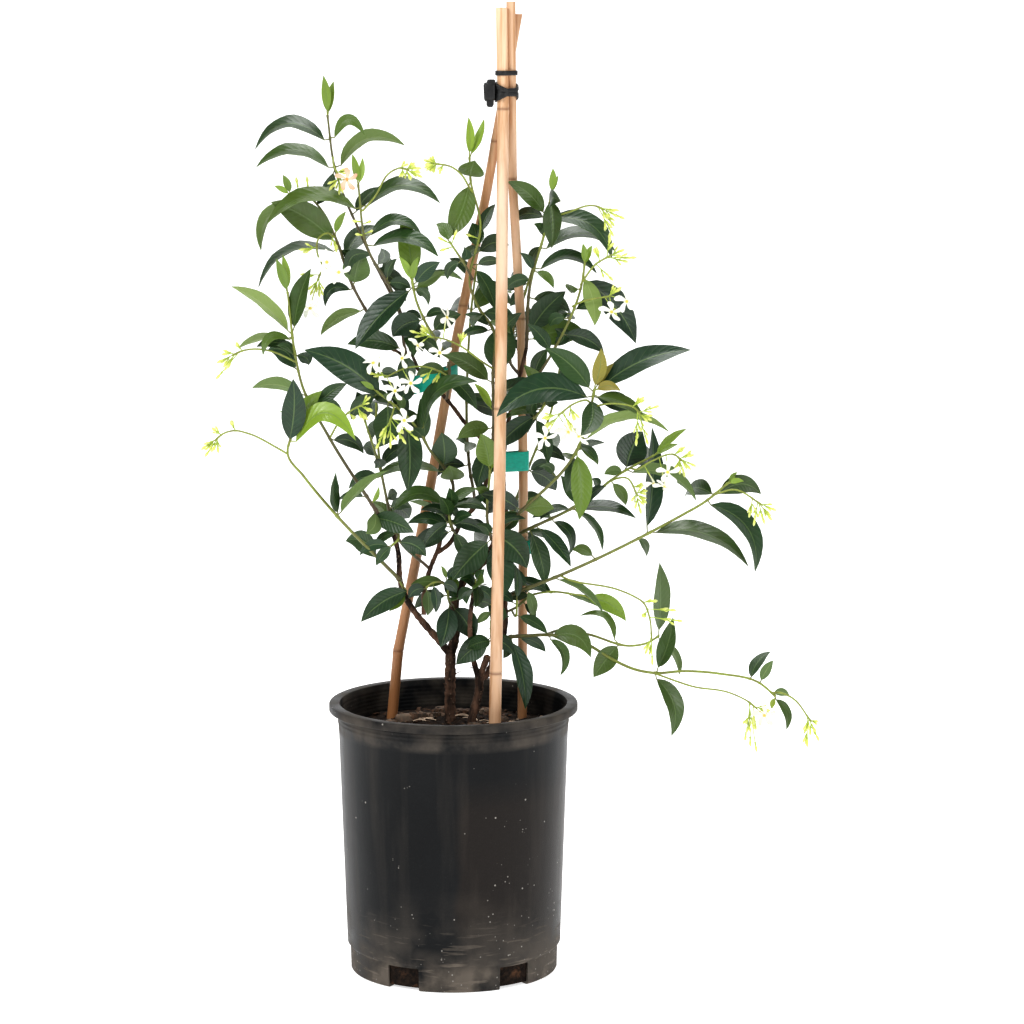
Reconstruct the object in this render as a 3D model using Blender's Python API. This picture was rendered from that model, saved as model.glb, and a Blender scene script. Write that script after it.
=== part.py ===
"""Potted star jasmine trained on a tripod of three bamboo canes.

Metres, +Z up, origin at the centre of the pot's foot, front of the plant towards -Y.
The plant's tables are written in centimetres as (across, up, depth): across and up are read on an
upright plane through the pot's axis as it looks from the viewer's eye, and depth runs away from the
viewer. place() turns such a reading into a point in space.
"""
import math
import random

import bmesh
import bpy
from mathutils import Vector
from mathutils.bvhtree import BVHTree

CM = 0.01
MM = 0.001
GAP = 0.3 * MM
EYE = Vector((0.0636, -3.8, 1.08))

# Nursery pot
POT_HEIGHT = 0.295
POT_FOOT_R = 0.113
POT_BASE_R = 0.1155
POT_TOP_R = 0.1255
POT_WALL = 0.0022
FOOT_BAND = 0.027
RIM_R = 0.135
RIM_LIP = 0.0027
RIM_EDGE = 0.001
RIM_PLATE = 0.0025
RIM_SKIRT = 0.0085
POT_FLOOR = 0.003
POT_SIDES = 32
SLOT_WIDTH = 0.037
SLOT_HEIGHT = 0.025
SLOT_DEPTH = 0.016
SLOT_ANGLES = (-92, -28, 36, 94, 152, 210)

# Soil
SOIL_TOP = 0.262
SOIL_MOUND = 0.010
SOIL_WAVE = 0.0025
SOIL_WAVES = (130, 150)
HOLE_SIDES = 10
HOLE_REACH = 0.03
HOLE_GAP = 0.45 * MM

# Foliage
BLADE = 0.8 * MM
CLEAR = 0.45 * MM
FOLD = 0.22
WIDTH_RATIO = 0.37
YOUNG_RATIO = 0.26
WIDEST = 0.034
LONG_LEAF = 0.092
LONG_STATIONS = (0.19, 0.48, 0.77)
SHORT_STATIONS = (0.26, 0.64)
TINY_LEAF = 0.037
FLAT_LEAF = 0.058
TINY_STATIONS = (0.42,)
STALK = 0.45 * MM
FIRST_LEAF = 4 * MM
BEND = 2 * MM
WOOD_BEND = 1.4 * MM
STALK_SHARE = 0.08
LONGEST_STALK = 7 * MM
STEM_SIDES = 4
SPRAY_SIDES = 4
SPRAY_RADIUS = (0.95 * MM, 0.75 * MM)
STEM_TRIES = 60
STEM_SWAY = (4, 14, 4)
STEM_SWING = (4, 10, 4)
SEAT_STEP = 0.15 * MM
SEAT_STEPS = 60
STEM_CLEAR = 0.3 * MM
LEAF_TRIES = 160
BLOOM_TRIES = 80
BUD_LENGTH = 0.0115
BUD_R = 1.4 * MM
BUD_STALK = 0.4 * MM
FLOWER_R = 0.0135
PINWHEEL = 14
NOTCH = 0.36
FLOWER_NECK = (1.2 * MM, 1.5 * MM, 0.4 * MM)
SEED = 41

# Room that the foliage leaves over the rim and the soil
RIM_ROOM_R = 0.142
RIM_ROOM = 2 * MM
WALL_ROOM_R = 0.116
SOIL_ROOM = 5 * MM


def place(reading):
    """The point in space of a reading (across, up, depth) in centimetres."""
    across, up, depth = (value * CM for value in reading)
    reach = (depth - EYE.y) / -EYE.y
    return Vector((EYE.x + (across - EYE.x) * reach, depth, EYE.z - (EYE.z - up) * reach))


# Canes: the centre line in cm of real space (across, depth, up), the radius at both ends in mm and the
# heights of the nodes. They end inside the soil, where the wall still leaves room for them.
CANES = {
    "cane_front": (((4.25, -9.3, 10.0), (4.5, -7.9, 26.4), (5.03, -4.9, 54.5), (5.25, -2.9, 73.0),
                    (5.39, -1.1, 90.0), (5.41, -0.62, 95.0), (5.35, -0.9, 98.0), (5.26, -1.15, 104.1)),
                   6.6, 6.1, (34.0, 62.0, 93.5)),
    "cane_right": (((7.4, 6.1, 10.0), (7.48, 5.0, 26.5), (7.59, 3.1, 52.4), (7.4, 1.95, 69.0),
                    (6.4, 0.8, 86.0), (6.33, 0.25, 95.0), (6.3, -0.2, 98.0), (6.24, -0.4, 104.7)),
                   5.2, 4.8, (47.0, 71.0, 86.0)),
    "cane_left": (((-8.48, 5.35, 10.0), (-6.87, 4.5, 26.3), (-6.1, 4.1, 34.3), (-2.54, 3.1, 52.4),
                   (0.13, 2.3, 67.5), (3.67, 1.45, 84.6), (5.5, 0.95, 95.0), (6.05, 0.87, 98.0),
                   (7.0, 0.65, 103.4)),
                  6.0, 4.7, (34.3, 72.4, 90.0)),
}
CANE_SIDES = 7
NODE_SWELL = 1.08

# Bands round the canes: lower and upper height in cm, slope, thickness in mm, canes, and free ends
# (across, depth, radius in cm) that the loop also goes round
ALL_CANES = ("cane_front", "cane_right", "cane_left")
BANDS = {
    "tie_ring": (97.0, 97.5, 0.0, 1.2, ALL_CANES, ()),
    "tie_band": (94.0, 96.4, 0.0, 2.2, ALL_CANES, ()),
    "tape_left": (63.5, 65.4, 0.25, 0.8, ("cane_left",),
                  ((-1.7, 0.75, 0.34), (-3.3, 0.75, 0.34), (-4.4, 0.7, 0.12))),
    "tape_front": (54.4, 56.5, 0.0, 0.8, ("cane_right",), ((5.47, 1.8, 0.34),)),
    "tape_right": (45.2, 46.6, 0.0, 0.8, ("cane_right",), ((9.0, 3.0, 0.12),)),
}
BAND_SIDES = 14
BAND_CLEAR = 0.5 * MM
BAND_REACH = 2.5
KNOT_AT = (4.05, -1.0, 95.3)
KNOT_SIZE = (1.5, 1.1, 2.3)

# Wood: branches (radius at the start and the end in mm, readings)
WOOD = {
    "wood_left": (
        (5.6, 5.0, ((-0.4, 18.3, 0.3), (-0.4, 27.5, 0.3), (-0.35, 30, 0.2), (-0.3, 33, 0.1), (-0.3, 35.2, 0))),
        (3.6, 2.0, ((-0.35, 34.6, 0), (-1.2, 36, -0.3), (-2.2, 37.3, -0.6), (-3, 38.7, -0.9),
                    (-4, 40, -1.2), (-4.9, 41.2, -1.5), (-5.7, 42.6, -1.7), (-5.9, 44, -1.8),
                    (-5.95, 46, -1.9), (-6.3, 47.4, -1.9), (-7.2, 48.9, -2.0), (-8.1, 50.1, -2.2))),
        (4.6, 2.9, ((-0.3, 34.6, 0.1), (0.3, 37.5, 0.3), (0.1, 39.2, 0.5), (0.3, 41, 0.5), (1, 42.5, 0.3),
                    (1.8, 43.5, 0.2), (3, 44.5, 0), (3.9, 45.8, -0.2), (4.3, 46.8, -0.3), (5, 48.2, -0.5))),
        (2.4, 1.8, ((-3.2, 39.0, -0.9), (-3.2, 41, -0.6), (-3, 42.3, -0.4), (-2.5, 44, -0.2),
                    (-1.9, 45.3, 0.2), (-1.4, 47, 0.6), (-1.2, 48.5, 0.9), (-0.7, 49.8, 1.1),
                    (-0.3, 50.8, 1.2))),
        (2.2, 1.6, ((-1.75, 45.8, 0.35), (-0.6, 46.6, 0.5), (0.3, 48, 0.4), (0.9, 49.1, 0.2), (1.5, 49.8, 0.1),
                    (2.3, 50.8, 0), (3.1, 52, 0), (3.5, 53.2, 0.1), (3.6, 55, 0.3), (3.2, 57, 0.5),
                    (3, 58.2, 0.6), (1.5, 59.7, 0.7), (0, 61.7, 0.7), (-1.8, 63.5, 0.8), (-3, 65, 0.8),
                    (-5, 67, 0.7), (-7.2, 68.5, 0.7), (-8.3, 70.4, 0.6))),
    ),
    "wood_right": (
        (4.6, 4.2, ((2, 18.3, -0.8), (2, 27.5, -0.8), (2.3, 29.2, -0.7), (2.8, 31, -0.6), (2.8, 32.4, -0.5))),
        (3.2, 1.7, ((2.8, 31.8, -0.5), (3.6, 32.4, -0.1), (4.2, 33.6, 0.4), (4.6, 35.2, 0.9), (5.3, 36.6, 1.2),
                    (5.5, 38.5, 1.2), (5.6, 41, 1.1), (5.8, 44, 1.2), (6, 47, 1.4), (5.7, 50, 1.7),
                    (5.45, 53, 1.8), (5.45, 56, 1.8), (6.1, 59.5, 1.3), (7, 64, 0.7), (7.9, 68, 0.2))),
        (2.9, 1.9, ((2.8, 31.8, -0.5), (2.4, 33, -0.7), (2.15, 34.2, -0.8), (2, 36, -1), (1.8, 38, -1.3),
                    (1.9, 40, -1.7), (2.2, 41.6, -2))),
        (3.2, 3.0, ((2.75, 31.9, -0.6), (3.4, 33.6, -1.0), (3.7, 34.4, -1.1))),
    ),
}
WOOD_SIDES = 5

# Leafy stems. host: the node each springs from. stem: readings. radius: at the start and the end in mm.
# leaves: (base across, up, tip across, up, arch, width, lean), in cm. The width is as it looks from the
# front, and below zero where the underside shows. The lean is how far the tip lies behind the base.
# young: the same for the small leaves at the tips. back: how many more leaves grow away from the viewer.
SHOOTS = {
    "shoot_left_low": {
        "host": "wood_left", "radius": (1.8, 1.0),
        "stem": ((-5.35, 42.2, -1.6), (-5.9, 43, -2.3), (-7, 44.2, -2.8), (-9, 46.3, -3.4),
                 (-10.5, 47.7, -3.9),
                 (-12.1, 49.5, -4.4), (-14, 52, -4.9), (-16, 54.2, -5.4), (-17.7, 56.6, -5.8),
                 (-17.3, 58.5, -5.8)),
        "leaves": (
            (-17.6, 57.5, -17.1, 64.7, 0.3, 2.6, -1.0), (-17.4, 58.3, -14.0, 63.4, 0.4, 1.8, 1.5),
            (-17.2, 57.9, -10.4, 58.0, 3.0, 1.9, -2.0), (-12.0, 50.2, -6.9, 54.8, 0.5, -1.2, -1.5),
            (-5.0, 41.6, -10.0, 38.2, 0.5, 2.2, -2.0), (-5.2, 41.3, -6.9, 39.4, 0.1, 1.4, -1.5),
            (-12.3, 49.9, -12.6, 54.5, -0.4, 0.9, -2.5)),
        "young": ((-17.3, 58.5, -18.6, 61.2, 0.8, 0.5, 0.5), (-5.6, 41.2, -8.5, 38.0, 0.1, 0.5, -2.6)),
        "back": 1,
    },
    "shoot_left_mid": {
        "host": "wood_left", "radius": (1.7, 0.9),
        "stem": ((-8.1, 50.1, -2.2), (-9, 51.8, -2.5), (-10, 53.4, -2.8), (-12, 56.5, -3.3),
                 (-13.3, 58.4, -3.6),
                 (-14.8, 61.5, -4.0), (-16.2, 64.2, -4.3), (-16.8, 67, -4.5), (-16.9, 69, -4.6),
                 (-17.3, 71.5, -4.6), (-17.6, 74, -4.6)),
        "leaves": (
            (-17.1, 69.5, -23.6, 74.6, 0.6, -1.7, 0.5), (-16.8, 69.6, -15.1, 76.5, 0.3, 1.9, -0.8),
            (-17.2, 69.1, -20.3, 67.2, 1.2, 0.8, -1.5), (-17.2, 69.2, -22.9, 68.0, 0.5, -0.9, 1.5),
            (-16.7, 67.2, -18.8, 68.3, 0.3, 0.6, -1.8), (-15.5, 62.9, -21.5, 63.7, 0.7, -1.5, 1.0),
            (-14.9, 61.6, -11.3, 64.2, 0.3, 1.5, -1.0), (-8.4, 49.6, -4.2, 48.0, 0.3, 2.2, -3.0),
            (-8.3, 50.4, -9.4, 47.9, -0.5, -1.7, -1.5), (-9.3, 52.0, -12.4, 51.5, 0.4, 0.6, 1.2),
            (-13.2, 58.2, -9.6, 56.6, 0.7, 1.4, 2.0)),
        "young": ((-17.6, 73.8, -18.8, 77.6, 0.1, 1.0, -0.5), (-17.6, 74, -18.1, 78.0, 0.1, 0.8, 0.6),
                  (-8.6, 51.2, -8.0, 53.0, -0.2, 0.5, -1.0)),
        "back": 1,
    },
    "shoot_left_inner": {
        "host": "wood_left", "radius": (1.4, 0.9),
        "stem": ((-6.3, 47.6, -1.9), (-6.6, 49, -1.0), (-6.9, 50.4, -0.9), (-7.6, 54, -1.1), (-8.1, 56, -1.4),
                 (-9, 58.5, -1.8), (-9.5, 60.4, -2.0)),
        "branches": (((-6.45, 48.5, -1.3), (-5.9, 48.1, -2.4), (-5.9, 47.3, -3.2), (-6.6, 46.6, -3.5)),),
        "leaves": (
            (-9.4, 60.0, -10.3, 63.3, 0.2, 1.9, -0.8), (-7.9, 55.2, -4.6, 57.4, 0.5, 1.3, 2.0),
            (-7.7, 54.2, -11.2, 52.8, 0.6, 1.2, 2.5), (-6.6, 46.6, -10.1, 45.5, 0.7, 1.2, -0.5),
            (-6.5, 46.7, -8.3, 44.4, 0.2, 1.2, -0.8), (-6.0, 47.0, -2.9, 45.4, 0.5, 1.9, -1.0)),
        "young": ((-9.5, 60.4, -10.1, 61.9, 0.1, 0.5, 0.3), (-9.4, 60.3, -8.9, 62.0, 0.1, 0.5, 0.8)),
        "back": 1,
    },
    "shoot_base_front": {
        "host": "wood_left", "radius": (1.3, 1.0),
        "stem": ((0.1, 39.8, 0.5), (-0.2, 40.0, -0.4), (-0.4, 40.4, -1.1), (-0.5, 41.4, -1.4),
                 (-0.65, 42.8, -1.5)),
        "branches": (((-0.55, 41.8, -1.4), (-1.3, 42.6, -1.9), (-2.2, 42.5, -2.1), (-2.9, 42.0, -2.2)),),
        "leaves": (
            (-0.5, 40.2, -1.4, 35.4, -0.2, 2.3, -1.2), (-0.1, 39.9, 2.2, 36.2, 0.3, 2.6, -1.0),
            (-0.6, 42.6, 0.6, 44.4, 0.2, 0.8, -1.2), (-2.9, 42.0, -2.8, 38.9, 0.2, 1.4, -1.0),
            (-2.2, 42.5, -1.9, 39.2, 0.2, 1.1, -1.3), (-1.3, 42.5, 0.4, 41.4, 0.3, 1.2, -0.8),
            (-2.9, 42.1, -4.8, 40.8, 0.4, 1.4, -0.8)),
        "young": ((-0.65, 42.8, -1.3, 44.4, 0.1, 0.5, -0.2),),
        "back": 0,
    },
    "shoot_base_mid": {
        "host": "wood_right", "radius": (1.4, 1.1),
        "stem": ((4.5, 34.9, 0.8), (4.3, 35.8, -0.1), (4.1, 36.9, -0.7), (4.1, 38.3, -1.0), (4.3, 40.2, -1.1)),
        "leaves": (
            (3.8, 36.5, 0.3, 33.5, 0.3, 2.6, -1.5), (4.2, 40.2, 2.1, 40.0, 0.4, 1.5, -1.0),
            (4.1, 39.4, 2.5, 38.0, 0.1, -0.9, 0.5), (4.3, 40.3, 5.5, 38.4, 0.2, 1.2, 1.0)),
        "young": (),
        "back": 1,
    },
    "shoot_base_top": {
        "host": "wood_right", "radius": (1.3, 1.0),
        "stem": ((2.2, 41.6, -2.0), (2.3, 42.2, -2.4), (2.4, 42.9, -2.6)),
        "leaves": (
            (2.2, 41.9, 0.7, 40.6, 0.3, 1.3, 0.8), (2.3, 42.1, 4.1, 40.7, 0.3, 1.4, 1.0),
            (2.3, 42.6, 0.9, 44.4, 0.1, 1.2, 1.2), (2.4, 42.8, 3.4, 44.0, 0.1, 0.9, -0.8)),
        "young": (),
        "back": 0,
    },
    "shoot_stalk": {
        "host": "wood_left", "radius": (1.5, 1.0),
        "stem": ((4.35, 46.9, -0.3), (4.1, 47.5, -1.3), (3.75, 49, -1.9), (3.7, 51, -2.2), (3.85, 53, -2.4),
                 (4.0, 54.8, -2.5)),
        "leaves": (
            (3.9, 47.3, -0.1, 42.8, 0.2, 3.0, -1.8), (4.2, 47.2, 5.5, 41.0, 0.3, 3.0, -1.2),
            (4.0, 54.8, 3.0, 58.8, 0.2, 2.5, -0.8), (4.2, 48.2, 8.0, 44.1, 0.6, 3.2, -0.4),
            (3.8, 50.6, 2.6, 53.6, 0.2, 1.2, 1.2)),
        "young": ((4.0, 54.6, 4.9, 56.8, 0.1, 0.6, 0.8),),
        "back": 1,
    },
    "shoot_centre": {
        "host": "wood_left", "radius": (1.4, 1.0),
        "stem": ((0.3, 48.0, 0.4), (0.0, 48.3, -0.7), (-0.3, 49.2, -1.4), (-0.4, 50.3, -1.8),
                 (-0.4, 51.4, -2.0)),
        "leaves": (
            (-0.3, 48.6, -4.9, 49.0, 0.7, 1.2, -0.5), (-0.1, 48.2, -4.3, 46.0, 0.5, 2.0, 0.6),
            (-0.2, 49.0, -4.6, 51.4, 0.4, -0.9, 2.6), (-0.1, 49.2, 3.5, 47.8, 0.5, 1.4, -0.6),
            (-0.1, 48.3, 1.6, 44.6, 0.2, 1.5, -1.0), (-0.4, 51.2, -6.5, 50.3, 1.5, 1.3, -0.8),
            (-0.3, 51.3, 2.6, 52.8, 0.3, 1.1, -0.6)),
        "young": (),
        "back": 1,
    },
    "shoot_mid_low": {
        "host": "wood_left", "radius": (1.6, 0.9),
        "stem": ((-0.3, 50.8, 1.2), (-0.15, 52, 1.0), (0, 53.3, 0.5), (-0.5, 54.4, -0.1), (-1.2, 55.3, -0.7),
                 (-2.6, 57.2, -1.7), (-3.5, 58.9, -2.4), (-5.3, 61, -3.2), (-6.9, 62.5, -3.8),
                 (-8.2, 63.4, -4.2)),
        "leaves": (
            (-7.2, 62.9, -15.9, 67.8, 0.8, 3.2, -1.5), (-6.8, 62.3, -8.0, 57.3, -0.4, 3.0, -0.5),
            (-5.1, 60.5, -4.9, 52.4, 0.3, 2.7, -1.4), (-3.5, 59.2, 2.7, 64.4, 2.0, 1.5, -1.5),
            (-3.2, 57.8, -3.5, 62.6, 0.2, 1.0, -1.8), (-0.9, 55.1, -1.2, 58.9, 0.2, 2.8, -1.0),
            (-0.2, 53.5, -0.4, 55.3, 0.2, 2.6, -2.8), (-1.0, 54.6, -8.5, 53.9, 0.9, 1.3, -0.8),
            (-8.0, 63.3, -10.9, 60.3, 0.5, 1.6, 1.6), (-4.6, 60.3, -7.7, 64.6, 0.4, 1.5, 2.0)),
        "young": ((-8.2, 63.4, -9.9, 64.4, 0.1, 0.6, -0.6),),
        "back": 1,
    },
    "shoot_crown_mid": {
        "host": "wood_left", "radius": (1.6, 0.9),
        "stem": ((3.5, 53.6, 0.2), (4.0, 55, -0.6), (4.3, 58, -1.0), (4.4, 61, -1.2), (4.3, 65, -1.3),
                 (4.2, 70.3, -1.2), (3, 72, -1.1), (2, 74.2, -1.0), (2.2, 76.5, -0.9), (2.9, 79.5, -0.8),
                 (3, 81.5, -0.8), (2.8, 83, -0.7), (2.3, 84.5, -0.6), (1.95, 86, -0.6), (1.85, 88.4, -0.6)),
        "branches": (((2.1, 75.4, -1.0), (1.4, 76.8, -2.0), (0.5, 78.5, -2.4), (-0.3, 79.4, -2.6)),),
        "buds": ((0.5, 80.7), (1.4, 80.2), (-1.6, 79.9), (-1.4, 78.4)),
        "leaves": (
            (2.1, 86.2, 2.4, 88.0, 0.1, 2.8, -3.0), (1.9, 85.8, -0.5, 79.8, -0.3, 2.6, -1.2),
            (2.8, 78.6, 2.1, 81.4, 0.2, 1.8, 1.0), (2.3, 76.8, 4.6, 72.0, 0.3, 1.6, -0.8),
            (3.0, 80.0, 4.6, 83.4, 0.2, 1.2, 0.6), (4.4, 65.3, 6.2, 70.6, 0.2, 3.4, 0.4),
            (4.1, 70.3, 1.3, 71.6, 0.3, 0.8, -0.8), (4.2, 70.0, 0.9, 69.2, 0.3, 0.9, -1.4),
            (4.2, 64.2, -1.0, 67.3, 0.5, 1.9, -1.2), (4.3, 59.4, 0.5, 58.2, 0.5, 1.8, -1.4),
            (4.3, 57.6, 2.6, 52.8, 0.2, 2.2, -0.8), (4.3, 62.0, 7.6, 64.6, 0.4, 1.6, 1.4),
            (4.2, 68.4, 7.4, 71.8, 0.3, 1.5, 1.6)),
        "young": ((1.85, 88.4, 1.75, 92.6, 0.1, 0.9, -0.4), (1.85, 88.3, 3.4, 92.4, -0.2, 0.8, 0.6),
                  (4.3, 61.2, 2.3, 64.2, 0.2, 0.8, -1.4)),
        "back": 3,
    },
    "shoot_mid_left": {
        "host": "wood_left", "radius": (1.4, 1.0),
        "stem": ((-0.7, 62.4, 0.7), (-0.5, 63.4, -0.3), (-0.3, 64.8, -0.8), (-0.4, 66.2, -1.1),
                 (-1.1, 67.6, -1.3),
                 (-2, 69.2, -1.5), (-3, 71, -1.7), (-3.9, 73.2, -1.8), (-4.3, 75.2, -1.9)),
        "leaves": (
            (-4.1, 74.7, -10.4, 67.9, 0.5, 2.4, -1.8), (-4.3, 75.2, -5.4, 82.0, 0.3, 2.4, 0.8),
            (-4.2, 74.8, -1.3, 77.2, 0.3, 1.7, -0.8), (-4.1, 74.4, -2.6, 72.6, 0.6, 0.9, -1.2),
            (-4.1, 74.6, 1.1, 75.3, 0.9, -0.8, 1.4), (-3.1, 71.2, -6.4, 69.2, 0.5, 2.6, 0.8),
            (-2.2, 69.8, 0.9, 71.6, 0.4, 1.9, 1.0), (-0.6, 66.6, -4.2, 69.4, 0.4, 1.6, 1.6),
            (-0.4, 65.0, 2.6, 61.4, 0.3, 1.6, -1.2)),
        "young": ((-4.3, 75.2, -5.7, 77.8, 0.2, 0.8, -0.8), (-4.3, 75.1, -3.6, 77.8, 0.2, 0.8, -1.0)),
        "back": 1,
    },
    "shoot_crown_left_2": {
        "host": "wood_left", "radius": (1.5, 0.9),
        "stem": ((-4.9, 66.9, 0.7), (-5.2, 68.4, -0.4), (-5.6, 72, -0.7), (-6.5, 74.2, -0.9),
                 (-7.6, 75.9, -1.1),
                 (-8.3, 77, -1.4), (-9, 78.6, -1.7), (-9.4, 80.5, -2.0), (-9.6, 83, -2.3), (-10, 85.5, -2.5)),
        "leaves": (
            (-9.6, 83.0, -19.8, 81.2, 2.1, 1.0, -0.5), (-9.5, 83.1, -1.3, 83.5, 2.0, 1.2, -0.6),
            (-9.0, 79.2, -1.5, 77.8, 1.4, 1.1, -1.2), (-9.2, 80.0, -3.3, 80.2, 1.4, 1.0, 1.4),
            (-5.2, 67.6, -5.4, 63.5, 0.3, 2.0, -1.4), (-5.2, 67.9, -11.3, 68.4, 0.6, 1.9, -2.2),
            (-7.0, 75.2, -5.9, 77.6, 0.3, 0.9, -1.0), (-5.6, 71.8, -3.2, 67.6, 0.3, 1.9, 1.6)),
        "young": ((-10, 85.5, -10.6, 88.7, 0.1, 0.8, -0.3), (-10, 85.4, -9.5, 88.3, 0.1, 0.7, 0.5)),
        "buds": ((-10.7, 81.6), (-8.6, 81.6), (-10.4, 80.2), (-8.4, 80.6)),
        "back": 1,
    },
    "shoot_crown_left": {
        "host": "wood_left", "radius": (1.5, 0.9),
        "stem": ((-3.6, 65.6, 0.8), (-4.3, 67.2, 1.5), (-5.2, 70.5, 1.4), (-6.3, 72.7, 1.1), (-7.1, 74.3, 0.9),
                 (-8, 76.4, 0.6), (-9.4, 79.4, 0.2), (-10.3, 82, -0.2), (-11, 84, -0.4), (-11.9, 86, -0.6),
                 (-12.5, 87.4, -0.8), (-12.9, 90.3, -0.9), (-13.2, 92.8, -1.0)),
        "leaves": (
            (-12.9, 90.3, -20.9, 89.2, 2.2, 1.2, 0.4), (-12.9, 90.4, -9.2, 90.6, 1.8, 1.2, -0.8),
            (-12.5, 87.3, -20.8, 87.3, 1.7, 1.1, -0.6), (-12.4, 87.3, -5.0, 89.6, 1.9, -1.4, 0.6),
            (-12.5, 87.3, -14.5, 83.3, -0.3, 1.1, -1.2), (-10.4, 82.3, -7.6, 85.2, 0.3, 1.2, 2.0),
            (-8.2, 77.0, -5.0, 73.0, 0.5, 1.5, 2.2)),
        "young": ((-13.2, 92.8, -13.6, 97.0, 0.1, 1.0, -0.4), (-13.2, 92.6, -12.5, 96.4, -0.1, 0.9, 0.5)),
        "back": 1,
    },
    "shoot_left_upper": {
        "host": "wood_left", "radius": (1.5, 0.9),
        "stem": ((-8.3, 70.4, 0.6), (-9.5, 72.4, 0.4), (-10.7, 74.8, 0.1), (-11.8, 77.4, -0.3),
                 (-12.6, 80.2, -0.7),
                 (-13.8, 82.6, -1.1), (-15.4, 84.2, -1.3), (-17.2, 84.4, -1.5)),
        "leaves": (
            (-12.5, 79.2, -19.3, 83.6, 0.6, 3.2, -2.0), (-15.6, 83.8, -22.2, 76.5, 1.6, 1.1, -0.8),
            (-12.1, 78.6, -20.7, 74.5, 2.0, 0.7, -0.6), (-10.6, 74.5, -13.6, 72.4, 1.2, 1.1, -1.0),
            (-9.4, 72.2, -14.1, 69.4, 0.6, -1.3, 0.8), (-10.5, 74.6, -9.4, 78.4, 0.2, 3.0, -1.4),
            (-12.2, 78.8, -9.6, 76.0, 0.4, 1.4, 1.6)),
        "young": ((-12.6, 80.0, -11.3, 82.6, 0.2, 0.8, -1.0), (-17.2, 84.4, -18.0, 86.5, 0.1, 0.8, -0.4),
                  (-17.2, 84.4, -18.9, 85.3, 0.1, 0.6, 0.6)),
        "buds": ((-16.6, 86.3), (-15.4, 86.4), (-14.6, 85.4)),
        "back": 1,
    },
    "shoot_crown_right": {
        "host": "wood_right", "radius": (1.6, 0.9),
        "stem": ((7.9, 68, 0.2), (8.1, 72, 0.2), (8.3, 74.8, 0.3), (8.8, 76.4, 0.3), (9.4, 78.5, 0.3),
                 (9.9, 80.7, 0.3), (10.1, 82, 0.2), (10.5, 84.6, 0.2)),
        "leaves": (
            (10.1, 82.3, 5.8, 85.8, 0.5, 1.9, -1.4), (10.0, 82.1, 6.2, 81.2, 0.8, 1.2, 1.6),
            (10.3, 84.2, 10.6, 78.4, 0.3, 2.2, -1.6), (10.2, 82.2, 17.0, 77.6, 1.7, 1.7, -0.8),
            (9.5, 78.6, 17.5, 78.2, 1.8, 1.0, 0.8), (8.9, 76.5, 15.4, 76.0, 1.6, 1.0, -0.8),
            (8.8, 76.3, 10.8, 74.4, 0.4, 0.9, -1.2), (8.7, 76.2, 7.2, 78.2, 0.3, 0.9, -1.2),
            (8.0, 69.6, 12.1, 74.1, 0.3, 2.6, 0.8), (8.0, 68.9, 14.4, 69.4, 0.6, 2.8, 1.4),
            (8.2, 73.4, 12.6, 71.8, 0.6, 1.6, 2.4)),
        "young": ((10.5, 84.6, 10.7, 87.2, 0.1, 0.8, -0.3), (10.5, 84.5, 11.3, 86.4, 0.1, 0.6, 0.6)),
        "back": 1,
    },
    "shoot_right_2": {
        "host": "wood_right", "radius": (1.4, 0.9),
        "stem": ((6.7, 62.4, 0.9), (7.6, 63.2, 0.2), (9.3, 65.6, -0.7), (10.9, 67.9, -1.2), (11.8, 69.8, -1.5),
                 (12.5, 71.7, -1.7), (13.1, 73.5, -1.8), (13.9, 75.4, -1.9), (14.1, 77, -2.0)),
        "leaves": (
            (13.8, 76.0, 15.2, 70.4, 0.4, -1.9, -1.4), (13.9, 75.6, 19.6, 68.5, 0.7, 2.4, 0.6),
            (12.6, 71.9, 19.0, 71.3, 0.9, 1.1, -1.2), (13.2, 73.5, 23.1, 68.8, 1.6, 1.4, 1.0),
            (8.6, 64.6, 10.2, 67.9, 0.3, 1.6, 1.8), (10.6, 67.5, 8.0, 70.6, 0.3, 1.5, -1.6),
            (11.7, 69.6, 16.2, 67.4, 0.6, 1.7, 2.2)),
        "young": ((14.1, 77, 13.9, 79.2, 0.1, 0.7, -0.4), (14.1, 76.9, 14.9, 79.0, 0.1, 0.7, 0.6)),
        "back": 1,
    },
    "shoot_right_inner": {
        "host": "wood_right", "radius": (1.3, 1.0),
        "stem": ((5.9, 58.6, 1.4), (6.9, 59.2, 0.5), (8.2, 60.2, 0.1), (9.4, 61.2, -0.3), (10.2, 62.6, -0.6)),
        "leaves": (
            (9.0, 61.0, 4.6, 57.0, 0.3, 2.2, -1.2), (8.8, 60.8, 10.2, 55.4, 0.3, 1.5, -0.8),
            (9.9, 62.2, 13.8, 65.6, 0.4, 1.6, 2.0), (10.1, 62.4, 7.6, 66.2, 0.3, 1.6, -1.0)),
        "young": (),
        "back": 1,
    },
    "shoot_right_front": {
        "host": "wood_left", "radius": (1.7, 1.0),
        "stem": ((5, 48.2, -0.5), (5.9, 49, -1.2), (7.6, 50.6, -2.3), (9.7, 53.1, -3.6), (11.5, 55, -4.6),
                 (13.4, 57.1, -5.4), (14, 58.5, -5.7), (14.6, 60.5, -5.9), (15, 62.4, -6.0),
                 (15.2, 63.6, -6.1)),
        "leaves": (
            (14.9, 62.9, 4.7, 60.6, 1.9, 3.0, -1.2), (15.0, 63.3, 9.9, 68.0, 0.5, 2.5, 0.8),
            (14.9, 62.6, 13.6, 58.2, -0.3, 2.3, -1.8), (15.1, 63.4, 25.5, 67.8, 0.9, 2.2, 0.5),
            (15.1, 63.0, 20.5, 60.5, 0.5, 1.2, -1.5), (14.0, 58.2, 23.2, 59.0, 1.8, -1.4, -0.8),
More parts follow.
